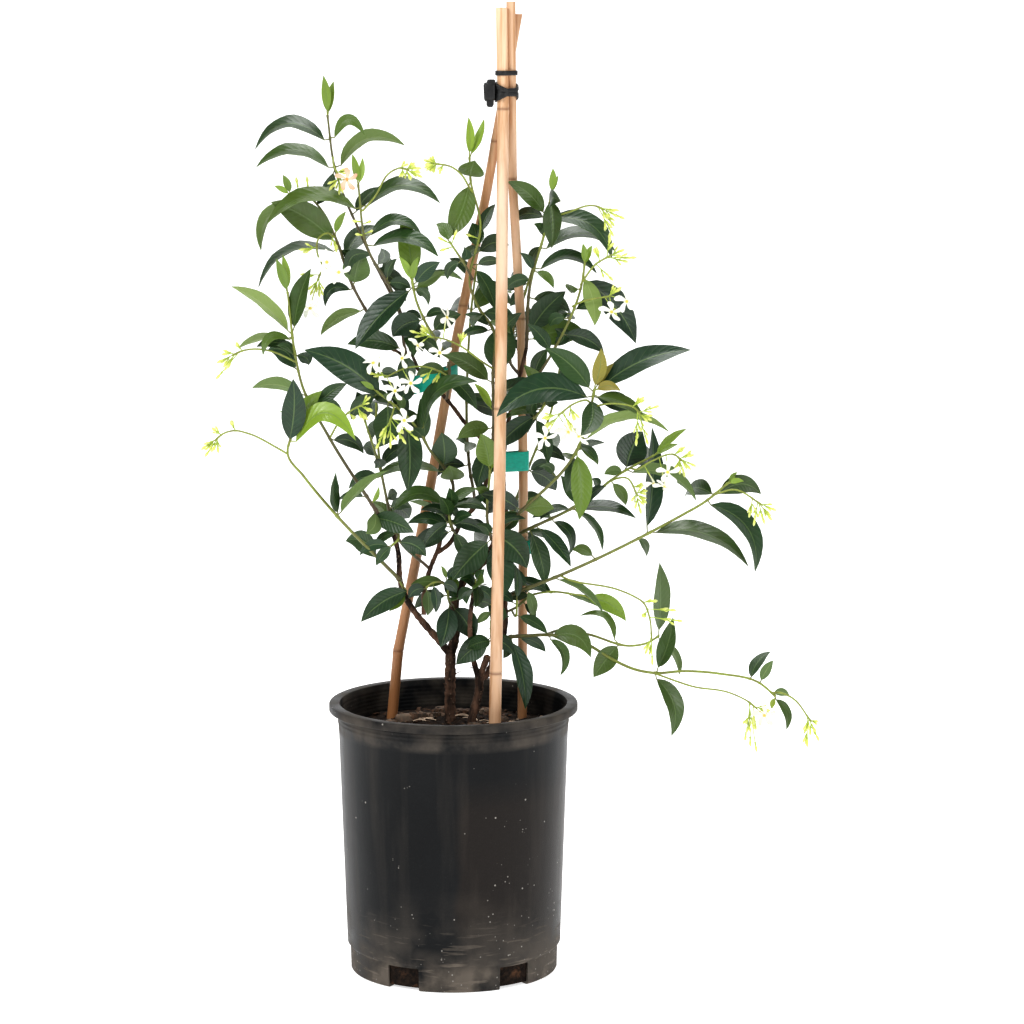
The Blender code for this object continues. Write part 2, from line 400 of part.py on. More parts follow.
            (15.0, 62.8, 19.4, 60.8, 0.6, 2.0, 2.2), (13.3, 57.0, 13.6, 49.4, 0.3, 2.3, -1.2),
            (13.0, 56.8, 12.2, 52.4, 0.2, 1.6, 1.2), (7.5, 50.4, 3.0, 52.2, 0.4, 2.0, -1.4),
            (7.4, 50.4, 10.9, 50.6, 0.4, 2.2, -1.2)),
        "young": ((15.2, 63.6, 15.9, 68.0, 0.2, 1.5, -0.6), (15.2, 63.6, 18.0, 63.4, 0.5, 1.1, -1.6),
                  (15.2, 63.6, 17.3, 66.4, 0.2, 0.8, 1.0)),
        "back": 1,
    },
    "shoot_right_mid": {
        "host": "wood_right", "radius": (1.7, 0.9),
        "stem": ((6.0, 47.2, 1.4), (7.2, 47.9, 0.5), (8.4, 48.6, 0.1), (10.5, 49.6, -0.5), (13.4, 51, -1.3),
                 (15.9, 52.7, -2.0), (17.2, 53.8, -2.3), (18.6, 54.8, -2.6), (20.4, 55.8, -2.9),
                 (21.6, 56.4, -3.1)),
        "leaves": (
            (18.3, 54.8, 20.4, 59.0, 0.3, 3.4, 1.6), (18.7, 54.8, 26.2, 51.5, 1.4, -1.5, -1.0),
            (12.6, 50.7, 19.7, 49.6, 0.7, 0.9, -0.8), (12.9, 50.9, 16.1, 46.1, 0.7, 0.7, -1.6),
            (10.6, 49.7, 12.5, 45.5, 1.0, 1.0, 0.8), (8.9, 49.0, 12.7, 44.3, 0.3, 1.3, -1.2),
            (8.3, 48.5, 9.9, 42.2, 0.3, 1.9, -0.7), (13.2, 51.1, 11.6, 54.2, 0.3, 1.4, 1.4),
            (17.0, 53.8, 18.6, 51.0, 0.3, 1.2, 1.6)),
        "young": ((21.6, 56.4, 25.1, 59.3, 0.2, 0.7, -0.8), (21.6, 56.4, 24.2, 57.6, 0.2, 0.6, 0.8)),
        "back": 1,
    },
    "shoot_right_long": {
        "host": "wood_right", "radius": (1.7, 1.1),
        "stem": ((5.6, 40.8, 1.1), (6.9, 41.5, 0.3), (8, 42, -0.1), (9, 42.3, -0.4), (10.3, 42.8, -0.6),
                 (11, 43.1, -0.7), (13, 44.1, -1), (15, 45.2, -1.3), (17, 46.4, -1.7), (20.7, 48.1, -2.3),
                 (25, 50.1, -3), (26.9, 51.2, -3.3), (28.4, 52.4, -3.6), (29.6, 53.4, -3.8)),
        "leaves": (
            (20.9, 48.5, 21.4, 59.4, 0.5, 1.9, 2.6), (21.2, 48.2, 31.9, 44.3, 1.7, 1.4, -1.0),
            (27.5, 51.5, 32.6, 43.7, 1.9, 1.8, -0.6), (28.2, 52.3, 33.2, 52.2, 1.1, 2.1, 0.8),
            (11.1, 43.0, 16.2, 39.2, 0.6, -1.0, -1.0), (8.0, 42.0, 8.6, 38.6, 0.2, 1.1, 1.0)),
        "young": ((29.6, 53.4, 31.3, 53.6, 0.2, 0.6, -0.6), (29.6, 53.4, 30.6, 54.6, 0.1, 0.5, 0.6)),
        "back": 1,
    },
    "shoot_right_thin": {
        "host": "wood_right", "radius": (1.3, 0.9),
        "stem": ((5.5, 39.2, 1.2), (6.6, 39.7, 1.7), (7.6, 40.3, 1.7), (8.6, 41.2, 1.4), (10, 41.5, 1.2),
                 (12, 41.4, 1.0), (14.2, 41.1, 0.8)),
        "branches": (((6.3, 39.55, 1.55), (6.6, 39.0, 0.4), (6.8, 38.9, -0.5), (6.9, 39.8, -0.9),
                     (6.9, 40.6, -1.0)),),
        "leaves": ((12.4, 41.4, 15.7, 39.9, 0.2, -0.8, 0.6), (7.7, 40.4, 8.9, 38.6, 0.2, 0.9, -1.0),
                   (6.8, 39.0, 10.2, 36.9, 0.3, 1.1, -1.0), (6.9, 40.5, 6.6, 44.6, 0.2, 0.9, 0.8)),
        "young": ((14.2, 41.1, 18.7, 38.3, 0.7, 1.8, -0.6),),
        "back": 1,
    },
    "shoot_right_low": {
        "host": "wood_right", "radius": (1.7, 1.0),
        "stem": ((5.2, 36.4, 1.2), (6.3, 36.6, 0.5), (8, 36.7, 0.2), (10.3, 36.8, 0.1), (12.5, 36.5, 0.3),
                 (14.8, 35.6, 0.2), (16.9, 34.3, 0), (18.8, 33.4, -0.3), (20, 32.9, -0.6), (21.8, 32.6, -0.9),
                 (25, 32.8, -1.5), (29, 32.5, -2.1), (31, 32, -2.4), (33.2, 31.5, -2.7), (35, 30, -2.9)),
        "branches": (((10.0, 36.8, 0.15), (11.4, 37.3, 1.2), (14.4, 36.9, 1.2), (17, 36.1, 0.9),
                     (19.5, 35.6, 0.6),
                      (21, 35.9, 0.5), (22.3, 36.7, 0.4)),),
        "leaves": (
            (10.2, 36.9, 14.9, 34.3, 1.3, 2.3, -1.6), (10.4, 36.8, 11.6, 32.3, 1.0, -1.0, -1.2),
            (21.9, 32.7, 23.7, 25.6, 1.1, 1.9, -1.2), (22.0, 32.7, 23.8, 38.7, -0.3, 1.7, -1.0),
            (33.3, 31.5, 34.7, 34.0, 0.1, -1.1, 0.8), (34.6, 30.4, 36.5, 30.0, 0.3, -0.9, 0.8),
            (34.9, 30.1, 36.2, 26.3, 0.6, 0.9, -0.6), (6.3, 36.6, 7.8, 28.6, 0.4, 1.8, -1.6),
            (6.2, 36.6, 5.4, 34.2, -0.2, 1.1, -0.8), (7.0, 36.7, 10.0, 34.9, 0.4, 1.2, 1.2),
            (18.1, 35.9, 15.2, 32.1, 0.1, 2.3, -1.4), (22.3, 36.8, 22.3, 44.7, 0.1, 1.9, -0.6),
            (22.2, 36.7, 24.5, 32.4, 0.6, -0.9, 1.2)),
        "young": ((18.0, 36.0, 13.7, 38.9, 1.5, 0.6, 0.6), (35, 30, 34.6, 28.6, 0.1, 0.6, -0.4)),
        "back": 1,
    },
}

# Stems behind, which the front view shows only through the gaps: host, stem and number of leaves
BACK_STEMS = {
    "shoot_back_left": ("wood_left", ((-2.5, 44, -0.2), (-3.9, 45.2, 1.4), (-6, 47.6, 4.6), (-7.2, 52, 6.5),
                                      (-8, 57, 7.6), (-8.2, 62, 8.2), (-7.8, 67, 8.4)), 5),
    "shoot_back_mid": ("wood_left", ((2.3, 50.8, 0), (2.3, 51.8, 1.6), (1.8, 55, 4), (1.5, 60, 6),
                                     (1.6, 66, 7),
                                     (2, 72, 7.2), (2.6, 77, 6.8)), 6),
    "shoot_back_right": ("wood_right", ((5.7, 42.6, 1.1), (5.5, 43.6, 2.8), (5.4, 46.4, 5.0), (6.6, 51, 7.2),
                                        (8.5, 56, 8.6), (10.5, 61, 9.2), (11.5, 66, 9.2)), 5),
    "shoot_back_crown": ("wood_right", ((7.2, 65, 0.6), (6.2, 66.4, 2.4), (6.4, 69.6, 4.6), (7.6, 73.4, 5.8),
                                        (8.8, 77.4, 6.4)), 4),
}

# Flower sprays. host: the stem they spring from. stalk: readings. buds and flowers: tips and centres.
SPRAYS = {
    "spray_crown": {
        "host": "shoot_crown_left_2", "stalk": ((-9.5, 82.6, -2.2), (-8.2, 84.2, -3.0), (-7.5, 85.6, -3.3),
                                                 (-6.5, 86.8, -3.5), (-5.6, 87.2, -3.6), (-4.6, 87.0, -3.7)),
        "buds": ((-5.0, 88.0), (-4.0, 87.8), (-3.2, 87.2), (-5.3, 86.2), (-4.4, 85.9), (-3.1, 86.2)),
        "flowers": (),
    },
    "spray_crown_mid": {
        "host": "shoot_crown_mid", "stalk": ((2.3, 84.5, -0.6), (1.8, 85.2, -1.8), (1.0, 86.5, -2.4),
                                             (0, 87.3, -2.6), (-1.0, 87.7, -2.7), (-1.9, 87.7, -2.8)),
        "buds": ((-2.4, 88.4), (-3.1, 88.1), (-1.4, 86.7), (-2.4, 86.8), (-3.0, 87.2)),
        "flowers": (),
    },
    "spray_crown_tip": {
        "host": "shoot_crown_left", "stalk": ((-12.7, 88.4, -0.8), (-12.6, 87.6, -2.0), (-12.2, 86.6, -2.4),
                                              (-11.8, 85.9, -2.5)),
        "buds": ((-13.1, 84.8), (-12.0, 84.3), (-10.8, 87.0)),
        "flowers": ((-11.2, 86.0),),
    },
    "spray_upper": {
        "host": "shoot_left_upper", "stalk": ((-12.5, 79.8, -0.6), (-13.4, 80.3, -1.9), (-14.2, 79.8, -2.4),
                                              (-14.4, 78.2, -2.6), (-13.9, 76.8, -2.8), (-14.4, 75.2, -2.9)),
        "buds": ((-16.4, 78.5), (-12.3, 78.2), (-16.3, 75.9), (-15.2, 73.6), (-14.2, 73.4)),
        "flowers": ((-13.4, 77.2), (-12.2, 76.2), (-15.2, 72.3)),
    },
    "spray_left": {
        "host": "shoot_left_mid", "stalk": ((-16.8, 66.4, -4.5), (-18, 67.1, -5.3), (-19.2, 67.6, -5.6),
                                            (-21, 67.8, -5.8), (-22.5, 67.7, -5.9), (-23.6, 67.2, -6.0)),
        "buds": ((-24.6, 67.8), (-25.3, 66.4), (-24.6, 65.9), (-25.4, 64.6), (-23.2, 68.6)),
        "flowers": (),
    },
    "spray_left_low": {
        "host": "shoot_left_low", "stalk": ((-17.7, 56.6, -5.8), (-19, 57.3, -6.6), (-20.5, 58.1, -6.9),
                                            (-22, 58.8, -7.1), (-23.4, 59.1, -7.2), (-24.6, 58.8, -7.3),
                                            (-25.6, 58.0, -7.4)),
        "buds": ((-23.9, 60.1), (-25.9, 59.4), (-27.1, 57.0), (-26.7, 56.2), (-25.2, 56.6)),
        "flowers": (),
    },
    "spray_inner": {
        "host": "shoot_left_mid", "stalk": ((-13.2, 58.3, -3.6), (-12.2, 60.0, -4.7), (-10.7, 61.4, -5.2),
                                            (-9.6, 61.9, -5.4)),
        "buds": ((-8.6, 61.2), (-9.1, 60.2), (-10.4, 60.4), (-8.8, 62.8)),
        "flowers": (),
    },
    "spray_mid": {
        "host": "shoot_mid_low", "stalk": ((-6.4, 62.0, -3.6), (-6.3, 61.6, -5.2), (-6.7, 60.6, -5.7),
                                           (-6.9, 59.6, -5.9)),
        "buds": ((-7.9, 58.4), (-8.3, 57.0), (-6.7, 57.1), (-5.0, 57.6), (-3.6, 58.0)),
        "flowers": ((-5.2, 60.2),),
    },
    "spray_white": {
        "host": "shoot_mid_left", "stalk": ((-0.3, 64.9, -0.8), (-1.2, 65.4, -2.4), (-3, 66.0, -3.2),
                                            (-4.8, 65.9, -3.7), (-6, 65.3, -4.1), (-7.3, 64.8, -4.4)),
        "buds": ((-2.2, 64.2), (-3.2, 64.2), (-9.2, 65.2)),
        "flowers": ((-8.5, 66.4), (-6.2, 63.4), (-4.5, 64.2), (-7.4, 62.9), (-5.4, 66.9)),
    },
    "spray_centre": {
        "host": "shoot_crown_mid", "stalk": ((4.3, 65.8, -1.3), (3.2, 66.5, -2.6), (1.8, 67.4, -3.2),
                                             (0.5, 68.4, -3.5), (-1, 69.0, -3.6), (-2.6, 69.2, -3.7)),
        "buds": ((-3.4, 70.6), (1.2, 69.8), (-4.6, 69.9)),
        "flowers": ((-3.7, 68.3), (-0.6, 71.3), (-1.4, 67.5)),
    },
    "spray_right_top": {
        "host": "shoot_crown_right", "stalk": ((10.0, 81.5, 0.2), (11.1, 82.1, -1.0), (12.3, 82.5, -1.4),
                                               (13.6, 82.9, -1.6), (15.2, 83.2, -1.8), (16.2, 82.8, -1.9)),
        "buds": ((17.8, 82.7), (16.6, 81.7), (17.3, 81.0), (17.2, 79.9), (18.4, 81.8)),
        "flowers": (),
    },
    "spray_right_hang": {
        "host": "shoot_right_2", "stalk": ((13.6, 74.6, -1.9), (14.2, 75.6, -3.0), (15.2, 76.9, -3.5),
                                           (16.2, 77.7, -3.8), (17.0, 78.0, -3.9)),
        "buds": ((16.8, 80.4), (18.4, 78.6), (18.8, 77.2), (19.7, 77.7), (17.2, 75.2), (15.3, 78.9)),
        "flowers": (),
    },
    "spray_right_white": {
        "host": "shoot_right_2", "stalk": ((12.7, 72.4, -1.7), (13.9, 73.0, -3.0), (15.4, 73.4, -3.5),
                                           (17.0, 73.6, -3.7)),
        "buds": ((18.1, 74.6), (17.8, 70.9)),
        "flowers": ((18.6, 73.0), (17.0, 71.9)),
    },
    "spray_front": {
        "host": "shoot_right_front", "stalk": ((14.9, 62.0, -6.0), (14.2, 62.4, -7.4), (13, 62.0, -8.0),
                                               (12, 61.3, -8.3), (11.3, 60.7, -8.4)),
        "buds": ((9.3, 60.2), (9.8, 59.2), (13.2, 60.2), (12.8, 59.0)),
        "flowers": ((9.9, 58.3), (11.6, 58.5), (12.7, 58.1)),
    },
    "spray_side": {
        "host": "shoot_right_front", "stalk": ((14.8, 61.4, -5.9), (16.0, 61.9, -7.3), (17.8, 62.0, -7.9),
                                               (19.6, 61.5, -8.2), (20.3, 60.6, -8.3)),
        "buds": ((22.2, 61.8), (21.4, 60.2), (19.7, 57.4), (21.0, 57.5), (20.6, 62.8)),
        "flowers": (),
    },
    "spray_right_mid": {
        "host": "shoot_right_mid", "stalk": ((19.0, 55.1, -2.7), (19.8, 54.9, -4.0), (21.4, 55.8, -4.6),
                                             (22.8, 56.3, -4.9), (24.0, 56.4, -5.0), (24.6, 55.8, -5.1)),
        "buds": ((25.0, 57.4), (26.0, 56.5), (26.2, 55.2), (25.0, 54.0), (24.0, 54.8)),
        "flowers": ((23.1, 54.6), (22.9, 53.2), (21.6, 53.4)),
    },
    "spray_right_drop": {
        "host": "shoot_right_mid", "stalk": ((16.9, 53.5, -2.2), (17.6, 53.9, -3.5), (18.6, 54.0, -4.0),
                                             (19.4, 52.9, -4.2), (19.9, 52.0, -4.3)),
        "buds": ((20.4, 53.2), (21.0, 52.6), (19.2, 51.4), (20.3, 50.0), (20.9, 51.2)),
        "flowers": (),
    },
    "spray_long": {
        "host": "shoot_right_long", "stalk": ((28.0, 52.1, -3.5), (28.9, 52.4, -4.7), (30, 52.7, -5.0),
                                              (31.3, 52.2, -5.2), (32.4, 51.4, -5.3), (33.4, 51.0, -5.4)),
        "buds": ((32.4, 48.7), (33.6, 48.9), (34.4, 49.3), (34.9, 50.4), (31.9, 49.6)),
        "flowers": (),
    },
    "spray_long_low": {
        "host": "shoot_right_long", "stalk": ((11.4, 43.3, -0.8), (12.4, 42.9, -2.1), (14, 42.5, -2.4),
        (16, 42.1, -2.6),
                                              (18, 41.7, -2.7), (19.4, 41.1, -2.8), (20.6, 40.3, -2.9),
                                              (21.2, 38.9, -3.0), (21.5, 37.4, -3.0), (21.5, 36.2, -3.0)),
        "buds": ((21.6, 33.4), (20.8, 34.6), (22.1, 40.6), (20.4, 38.9), (24.9, 38.3), (24.2, 39.5)),
        "flowers": (),
    },
    "spray_low": {
        "host": "shoot_right_low", "stalk": ((21.6, 32.6, -0.9), (22.8, 32.2, -2.0), (24, 31.7, -2.3),
                                             (26, 31.1, -2.6), (28, 30.9, -2.8), (30, 30.4, -3.1),
                                             (31, 29.9, -3.3), (32.2, 29.3, -3.5), (33.0, 28.6, -3.6)),
        "buds": ((31.7, 25.0), (32.3, 24.4), (33.0, 23.8), (32.9, 26.2), (34.5, 28.4)),
        "flowers": ((33.8, 27.9),),
    },
    "spray_low_tip": {
        "host": "shoot_right_low", "stalk": ((34.6, 30.5, -2.9), (35.6, 30.4, -3.9), (36.7, 29.9, -4.1),
                                             (37.6, 29.1, -4.2), (38.4, 28.0, -4.3), (38.9, 27.2, -4.3)),
        "buds": ((38.0, 26.2), (38.5, 24.3), (39.8, 25.0), (39.6, 27.2)),
        "flowers": (),
    },
}
COLOURS = {
    "pot": ((0.020, 0.019, 0.018), 0.55),
    "soil": ((0.050, 0.026, 0.014), 0.95),
    "cane": ((0.55, 0.33, 0.17), 0.5),
    "wood": ((0.085, 0.045, 0.028), 0.85),
    "leaf": ((0.030, 0.085, 0.030), 0.35),
    "flower": ((0.80, 0.82, 0.55), 0.5),
    "tie": ((0.012, 0.012, 0.013), 0.5),
    "tape": ((0.0, 0.36, 0.29), 0.45),
}


def clear_scene():
    for thing in list(bpy.data.objects):
        bpy.data.objects.remove(thing)


def material(name):
    colour, roughness = COLOURS[name]
    made = bpy.data.materials.get(name) or bpy.data.materials.new(name)
    made.use_nodes = True
    shader = made.node_tree.nodes["Principled BSDF"]
    shader.inputs["Base Color"].default_value = (*colour, 1.0)
    shader.inputs["Roughness"].default_value = roughness
    shader.inputs["Metallic"].default_value = 0.0
    return made


def mesh_from(points, faces):
    """A closed mesh whose faces are turned outwards."""
    shape = bmesh.new()
    corners = [shape.verts.new(point) for point in points]
    for face in faces:
        shape.faces.new([corners[index] for index in face])
    bmesh.ops.recalc_face_normals(shape, faces=shape.faces)
    mesh = bpy.data.meshes.new("shape")
    shape.to_mesh(mesh)
    shape.free()
    return mesh


def add_object(name, mesh, finish):
    mesh.name = name
    thing = bpy.data.objects.new(name, mesh)
    bpy.context.scene.collection.objects.link(thing)
    mesh.materials.clear()
    mesh.materials.append(material(finish))
    return thing


def apply_modifiers(thing):
    """Replaces the object's mesh by the one that its modifiers give."""
    graph = bpy.context.evaluated_depsgraph_get()
    mesh = bpy.data.meshes.new_from_object(thing.evaluated_get(graph))
    thing.modifiers.clear()
    thing.data = mesh


def fuse(name, meshes, finish):
    """One object from the Boolean union of closed meshes."""
    thing = add_object(name, meshes[0], finish)
    if len(meshes) == 1:
        return thing
    group = bpy.data.collections.new(name + "_repeats")
    bpy.context.scene.collection.children.link(group)
    for mesh in meshes[1:]:
        group.objects.link(bpy.data.objects.new(name + "_repeat", mesh))
    union = thing.modifiers.new("union", "BOOLEAN")
    union.operation = "UNION"
    union.operand_type = "COLLECTION"
    union.collection = group
    union.solver = "MANIFOLD"
    apply_modifiers(thing)
    for repeat in list(group.objects):
        bpy.data.objects.remove(repeat)
    bpy.data.collections.remove(group)
    thing.data.name = name
    thing.data.materials.clear()
    thing.data.materials.append(material(finish))
    return thing


def cut(thing, cutters):
    """Cuts the hidden cutter objects out of a thing, and removes them."""
    for cutter in cutters:
        cutter.hide_render = True
        cutter.display_type = "WIRE"
        boolean = thing.modifiers.new("cut", "BOOLEAN")
        boolean.operation = "DIFFERENCE"
        boolean.object = cutter
    apply_modifiers(thing)
    for cutter in cutters:
        bpy.data.objects.remove(cutter)


def turned(name, profile, sides, finish):
    """A solid turned round Z from a profile of (radius, height) that starts and ends on the axis."""
    points, faces, rings = [], [], []
    for radius, height in profile:
        if radius == 0:
            rings.append([len(points)])
            points.append((0, 0, height))
            continue
        rings.append([len(points) + index for index in range(sides)])
        for index in range(sides):
            angle = 2 * math.pi * index / sides
            points.append((radius * math.cos(angle), radius * math.sin(angle), height))
    for low, high in zip(rings, rings[1:]):
        for index in range(sides):
            after = (index + 1) % sides
            if len(low) == 1:
                faces.append((low[0], high[after], high[index]))
            elif len(high) == 1:
                faces.append((low[index], low[after], high[0]))
            else:
                faces.append((low[index], low[after], high[after], high[index]))
    return add_object(name, mesh_from(points, faces), finish)


def smooth(thing, degrees=35):
    thing.data.shade_smooth()
    thing.data.set_sharp_from_angle(angle=math.radians(degrees))


def between(start, end, share):
    return start + (end - start) * share


def inner_radius(height):
    """The pot's inner wall radius at a height."""
    share = (height - POT_FLOOR) / (POT_HEIGHT - POT_FLOOR)
    return between(POT_FOOT_R - POT_WALL - 0.0005, POT_TOP_R - POT_WALL, share)


def make_pot():
    top = POT_HEIGHT
    under = top - RIM_PLATE
    skirt = top - RIM_SKIRT
    inside = RIM_R - RIM_LIP
    profile = (
        (0, 0), (POT_FOOT_R, 0), (POT_FOOT_R + 0.0008, FOOT_BAND), (POT_BASE_R + 0.001, FOOT_BAND + 0.003),
        (POT_TOP_R, under), (inside, under), (inside, skirt), (RIM_R, skirt), (RIM_R, top - RIM_EDGE),
        (RIM_R - RIM_EDGE, top), (inner_radius(top), top), (inner_radius(POT_FLOOR), POT_FLOOR),
        (0, POT_FLOOR),
    )
    pot = turned("pot", profile, POT_SIDES, "pot")
    cutters = []
    for angle in SLOT_ANGLES:
        turn = math.radians(angle - 90)
        bpy.ops.mesh.primitive_cube_add(size=1)
        cutter = bpy.context.object
        cutter.scale = (2 * SLOT_DEPTH, SLOT_WIDTH, 2 * SLOT_HEIGHT)
        cutter.location = (POT_FOOT_R * math.cos(turn), POT_FOOT_R * math.sin(turn), 0)
        cutter.rotation_euler = (0, 0, turn)
        cutters.append(cutter)
    cut(pot, cutters)
    smooth(pot)


def cane_point(name, height):
    """The cane's centre at a height."""
    points = [Vector(point) * CM for point in CANES[name][0]]
    for low, high in zip(points, points[1:]):
        if height <= high.z or high is points[-1]:
            return low.lerp(high, (height - low.z) / (high.z - low.z))
    return points[-1]


def cane_radius(name, height):
    points, start, end, _ = CANES[name]
    share = (height / CM - points[0][2]) / (points[-1][2] - points[0][2])
    return between(start, end, share) * MM


def frames(route):
    """Two cross directions at each point of a route, carried along it without twist."""
    tangents = []
    for index in range(len(route)):
        before = route[max(index - 1, 0)]
        after = route[min(index + 1, len(route) - 1)]
        tangents.append((after - before).normalized())
    side = tangents[0].orthogonal().normalized()
    result = []
    for tangent in tangents:
        side = (side - tangent * side.dot(tangent)).normalized()
        result.append((side, tangent.cross(side)))
    return result


def tube(route, radii, sides):
    """A closed tube with flat ends along a route."""
    points, faces = [], []
    for (side, other), point, radius in zip(frames(route), route, radii):
        for index in range(sides):
            angle = 2 * math.pi * index / sides
            points.append(point + (side * math.cos(angle) + other * math.sin(angle)) * radius)
    for ring in range(len(route) - 1):
        for index in range(sides):
            after = (index + 1) % sides
            low, high = ring * sides, (ring + 1) * sides
            faces.append((low + index, low + after, high + after, high + index))
    last = (len(route) - 1) * sides
    faces.append(tuple(reversed(range(sides))))
    faces.append(tuple(range(last, last + sides)))
    return mesh_from(points, faces)


def even_radii(route, start, end):
    count = len(route) - 1
    return [between(start, end, index / count) for index in range(count + 1)]


def cane_mesh(name):
    """A cane with a swollen ring at each node."""
    swell = {point[2]: 1.0 for point in CANES[name][0]}
    for node in CANES[name][3]:
        swell.update({node - 0.4: 1.0, node: NODE_SWELL, node + 0.4: 1.0})
    heights = [height * CM for height in sorted(swell)]
    route = [cane_point(name, height) for height in heights]
    radii = [cane_radius(name, height) * swell[key] for height, key in zip(heights, sorted(swell))]
    return tube(route, radii, CANE_SIDES)


def band_circles(name):
    """What a band goes round: (across, depth, radius) in metres, at its lower and its upper edge."""
    low, high, slope, _, canes, ends = BANDS[name]
    spare = abs(slope) * BAND_REACH
    circles = [(x * CM, y * CM, r * CM) for x, y, r in ends]
    for height in ((low - spare) * CM, (high + spare) * CM):
        for cane in canes:
            point = cane_point(cane, height)
            circles.append((point.x, point.y, cane_radius(cane, height)))
    return circles


def band_mesh(name):
    """A loop that follows the convex outline of the things it holds."""
    low, high, slope, thick, _, _ = BANDS[name]
    circles = band_circles(name)
    centre = sum(circle[0] for circle in circles) / len(circles)
    points, faces = [], []
    for level in (low * CM, high * CM):
        for wall in (BAND_CLEAR, BAND_CLEAR + thick * MM):
            for index in range(BAND_SIDES):
                angle = 2 * math.pi * index / BAND_SIDES
                c, s = math.cos(angle), math.sin(angle)
                x, y, radius = max(circles, key=lambda circle: circle[0] * c + circle[1] * s + circle[2])
                x += (radius + wall) * c
                y += (radius + wall) * s
                points.append((x, y, level + slope * (x - centre)))
    count = BAND_SIDES
    inner_low, outer_low, inner_high, outer_high = 0, count, 2 * count, 3 * count
    for index in range(count):
        after = (index + 1) % count
        for one, two in (
            (outer_low, outer_high), (outer_high, inner_high), (inner_high, inner_low), (inner_low, outer_low),
        ):
            faces.append((one + index, one + after, two + after, two + index))
    return mesh_from(points, faces)


def knot_mesh():
    """The lump where the rubber tie is looped through itself."""
    shape = bmesh.new()
    bmesh.ops.create_icosphere(shape, subdivisions=2, radius=0.5)
    for corner in shape.verts:
        corner.co = Vector([part * size * CM for part, size in zip(corner.co, KNOT_SIZE)])
        if corner.co.x < 0:
            corner.co.x *= 1 + 0.25 * math.sin(corner.co.z * 700)
        corner.co += Vector(KNOT_AT) * CM
    mesh = bpy.data.meshes.new("knot")
    shape.to_mesh(mesh)
    shape.free()
    return mesh


def make_soil():
    foot = POT_FLOOR + GAP
    profile = (
        (0, foot), (inner_radius(foot) - GAP, foot), (inner_radius(SOIL_TOP) - GAP, SOIL_TOP),
        (0.085, SOIL_TOP + 0.35 * SOIL_MOUND), (0.045, SOIL_TOP + 0.85 * SOIL_MOUND),
        (0, SOIL_TOP + SOIL_MOUND),
    )
    soil = turned("soil", profile, POT_SIDES, "soil")
    for corner in soil.data.vertices:
        if corner.co.z > SOIL_TOP + MM:
            corner.co.z += (
                SOIL_WAVE * math.sin(corner.co.x * SOIL_WAVES[0] + 1) * math.cos(corner.co.y * SOIL_WAVES[1]))
    cutters = []
    for name in CANES:
        low, high = (Vector(point) * CM for point in CANES[name][0][:2])
        cutters.append(hole_cutter(name, low, high, CANES[name][1] * MM))
    for name in WOOD:
        start, _, readings = WOOD[name][0]
        cutters.append(hole_cutter(name, place(readings[0]), place(readings[1]), start * MM))
    cut(soil, cutters)


def hole_cutter(name, low, high, radius):
    """A drill for the hole that a cane or a trunk stands in."""
    axis = (high - low).normalized()
    wide = (radius + HOLE_GAP) / math.cos(math.pi / HOLE_SIDES)
    drill = tube([low - axis * GAP, high + axis * HOLE_REACH], [wide, wide], HOLE_SIDES)
    return add_object(name + "_hole", drill, "soil")


class Ground:
    """Every piece set so far, to keep each new one clear of it."""

    def __init__(self):
        self.pieces = []

    def add(self, owner, mesh):
        self.pieces.append((owner, tree_of(mesh), *box_of(mesh)))

    def is_clear(self, mesh, skip=(), only=None):
        tree = tree_of(mesh)
        low, high = box_of(mesh)
        if inside_pot(mesh):
            return False
        for owner, other, other_low, other_high in self.pieces:
            if owner in skip or (only and owner not in only):
                continue
            if any(low[axis] > other_high[axis] or high[axis] < other_low[axis] for axis in range(3)):
                continue
            if tree.overlap(other):
                return False
        return True


def inside_pot(mesh):
    """Whether a piece comes too near to the pot's rim or to the soil."""
    for corner in mesh.vertices:
        radius = math.hypot(corner.co.x, corner.co.y)
        floor = POT_HEIGHT + RIM_ROOM if radius > WALL_ROOM_R else SOIL_TOP + SOIL_MOUND + SOIL_ROOM
        if radius < RIM_ROOM_R and corner.co.z < floor:
            return True
    return False


def tree_of(mesh):
    return BVHTree.FromPolygons(
        [corner.co.copy() for corner in mesh.vertices], [tuple(face.vertices) for face in mesh.polygons]
    )


def box_of(mesh):
    places = [corner.co for corner in mesh.vertices]
    low = [min(place[axis] for place in places) for axis in range(3)]
    high = [max(place[axis] for place in places) for axis in range(3)]
    return low, high


def thinned(route, bend=BEND):
    """A route without the points that lie near the straight line between those kept."""
    keep = [0, len(route) - 1]
    spans = [(0, len(route) - 1)]
    while spans:
        start, end = spans.pop()
        far, worst = bend, None
        for index in range(start + 1, end):
            along = route[end] - route[start]
            share = (route[index] - route[start]).dot(along) / along.length_squared
            distance = (route[index] - route[start] - along * share).length
            if distance > far:
                far, worst = distance, index
        if worst is not None:
            keep.append(worst)
            spans += [(start, worst), (worst, end)]
    return [route[index] for index in sorted(keep)]


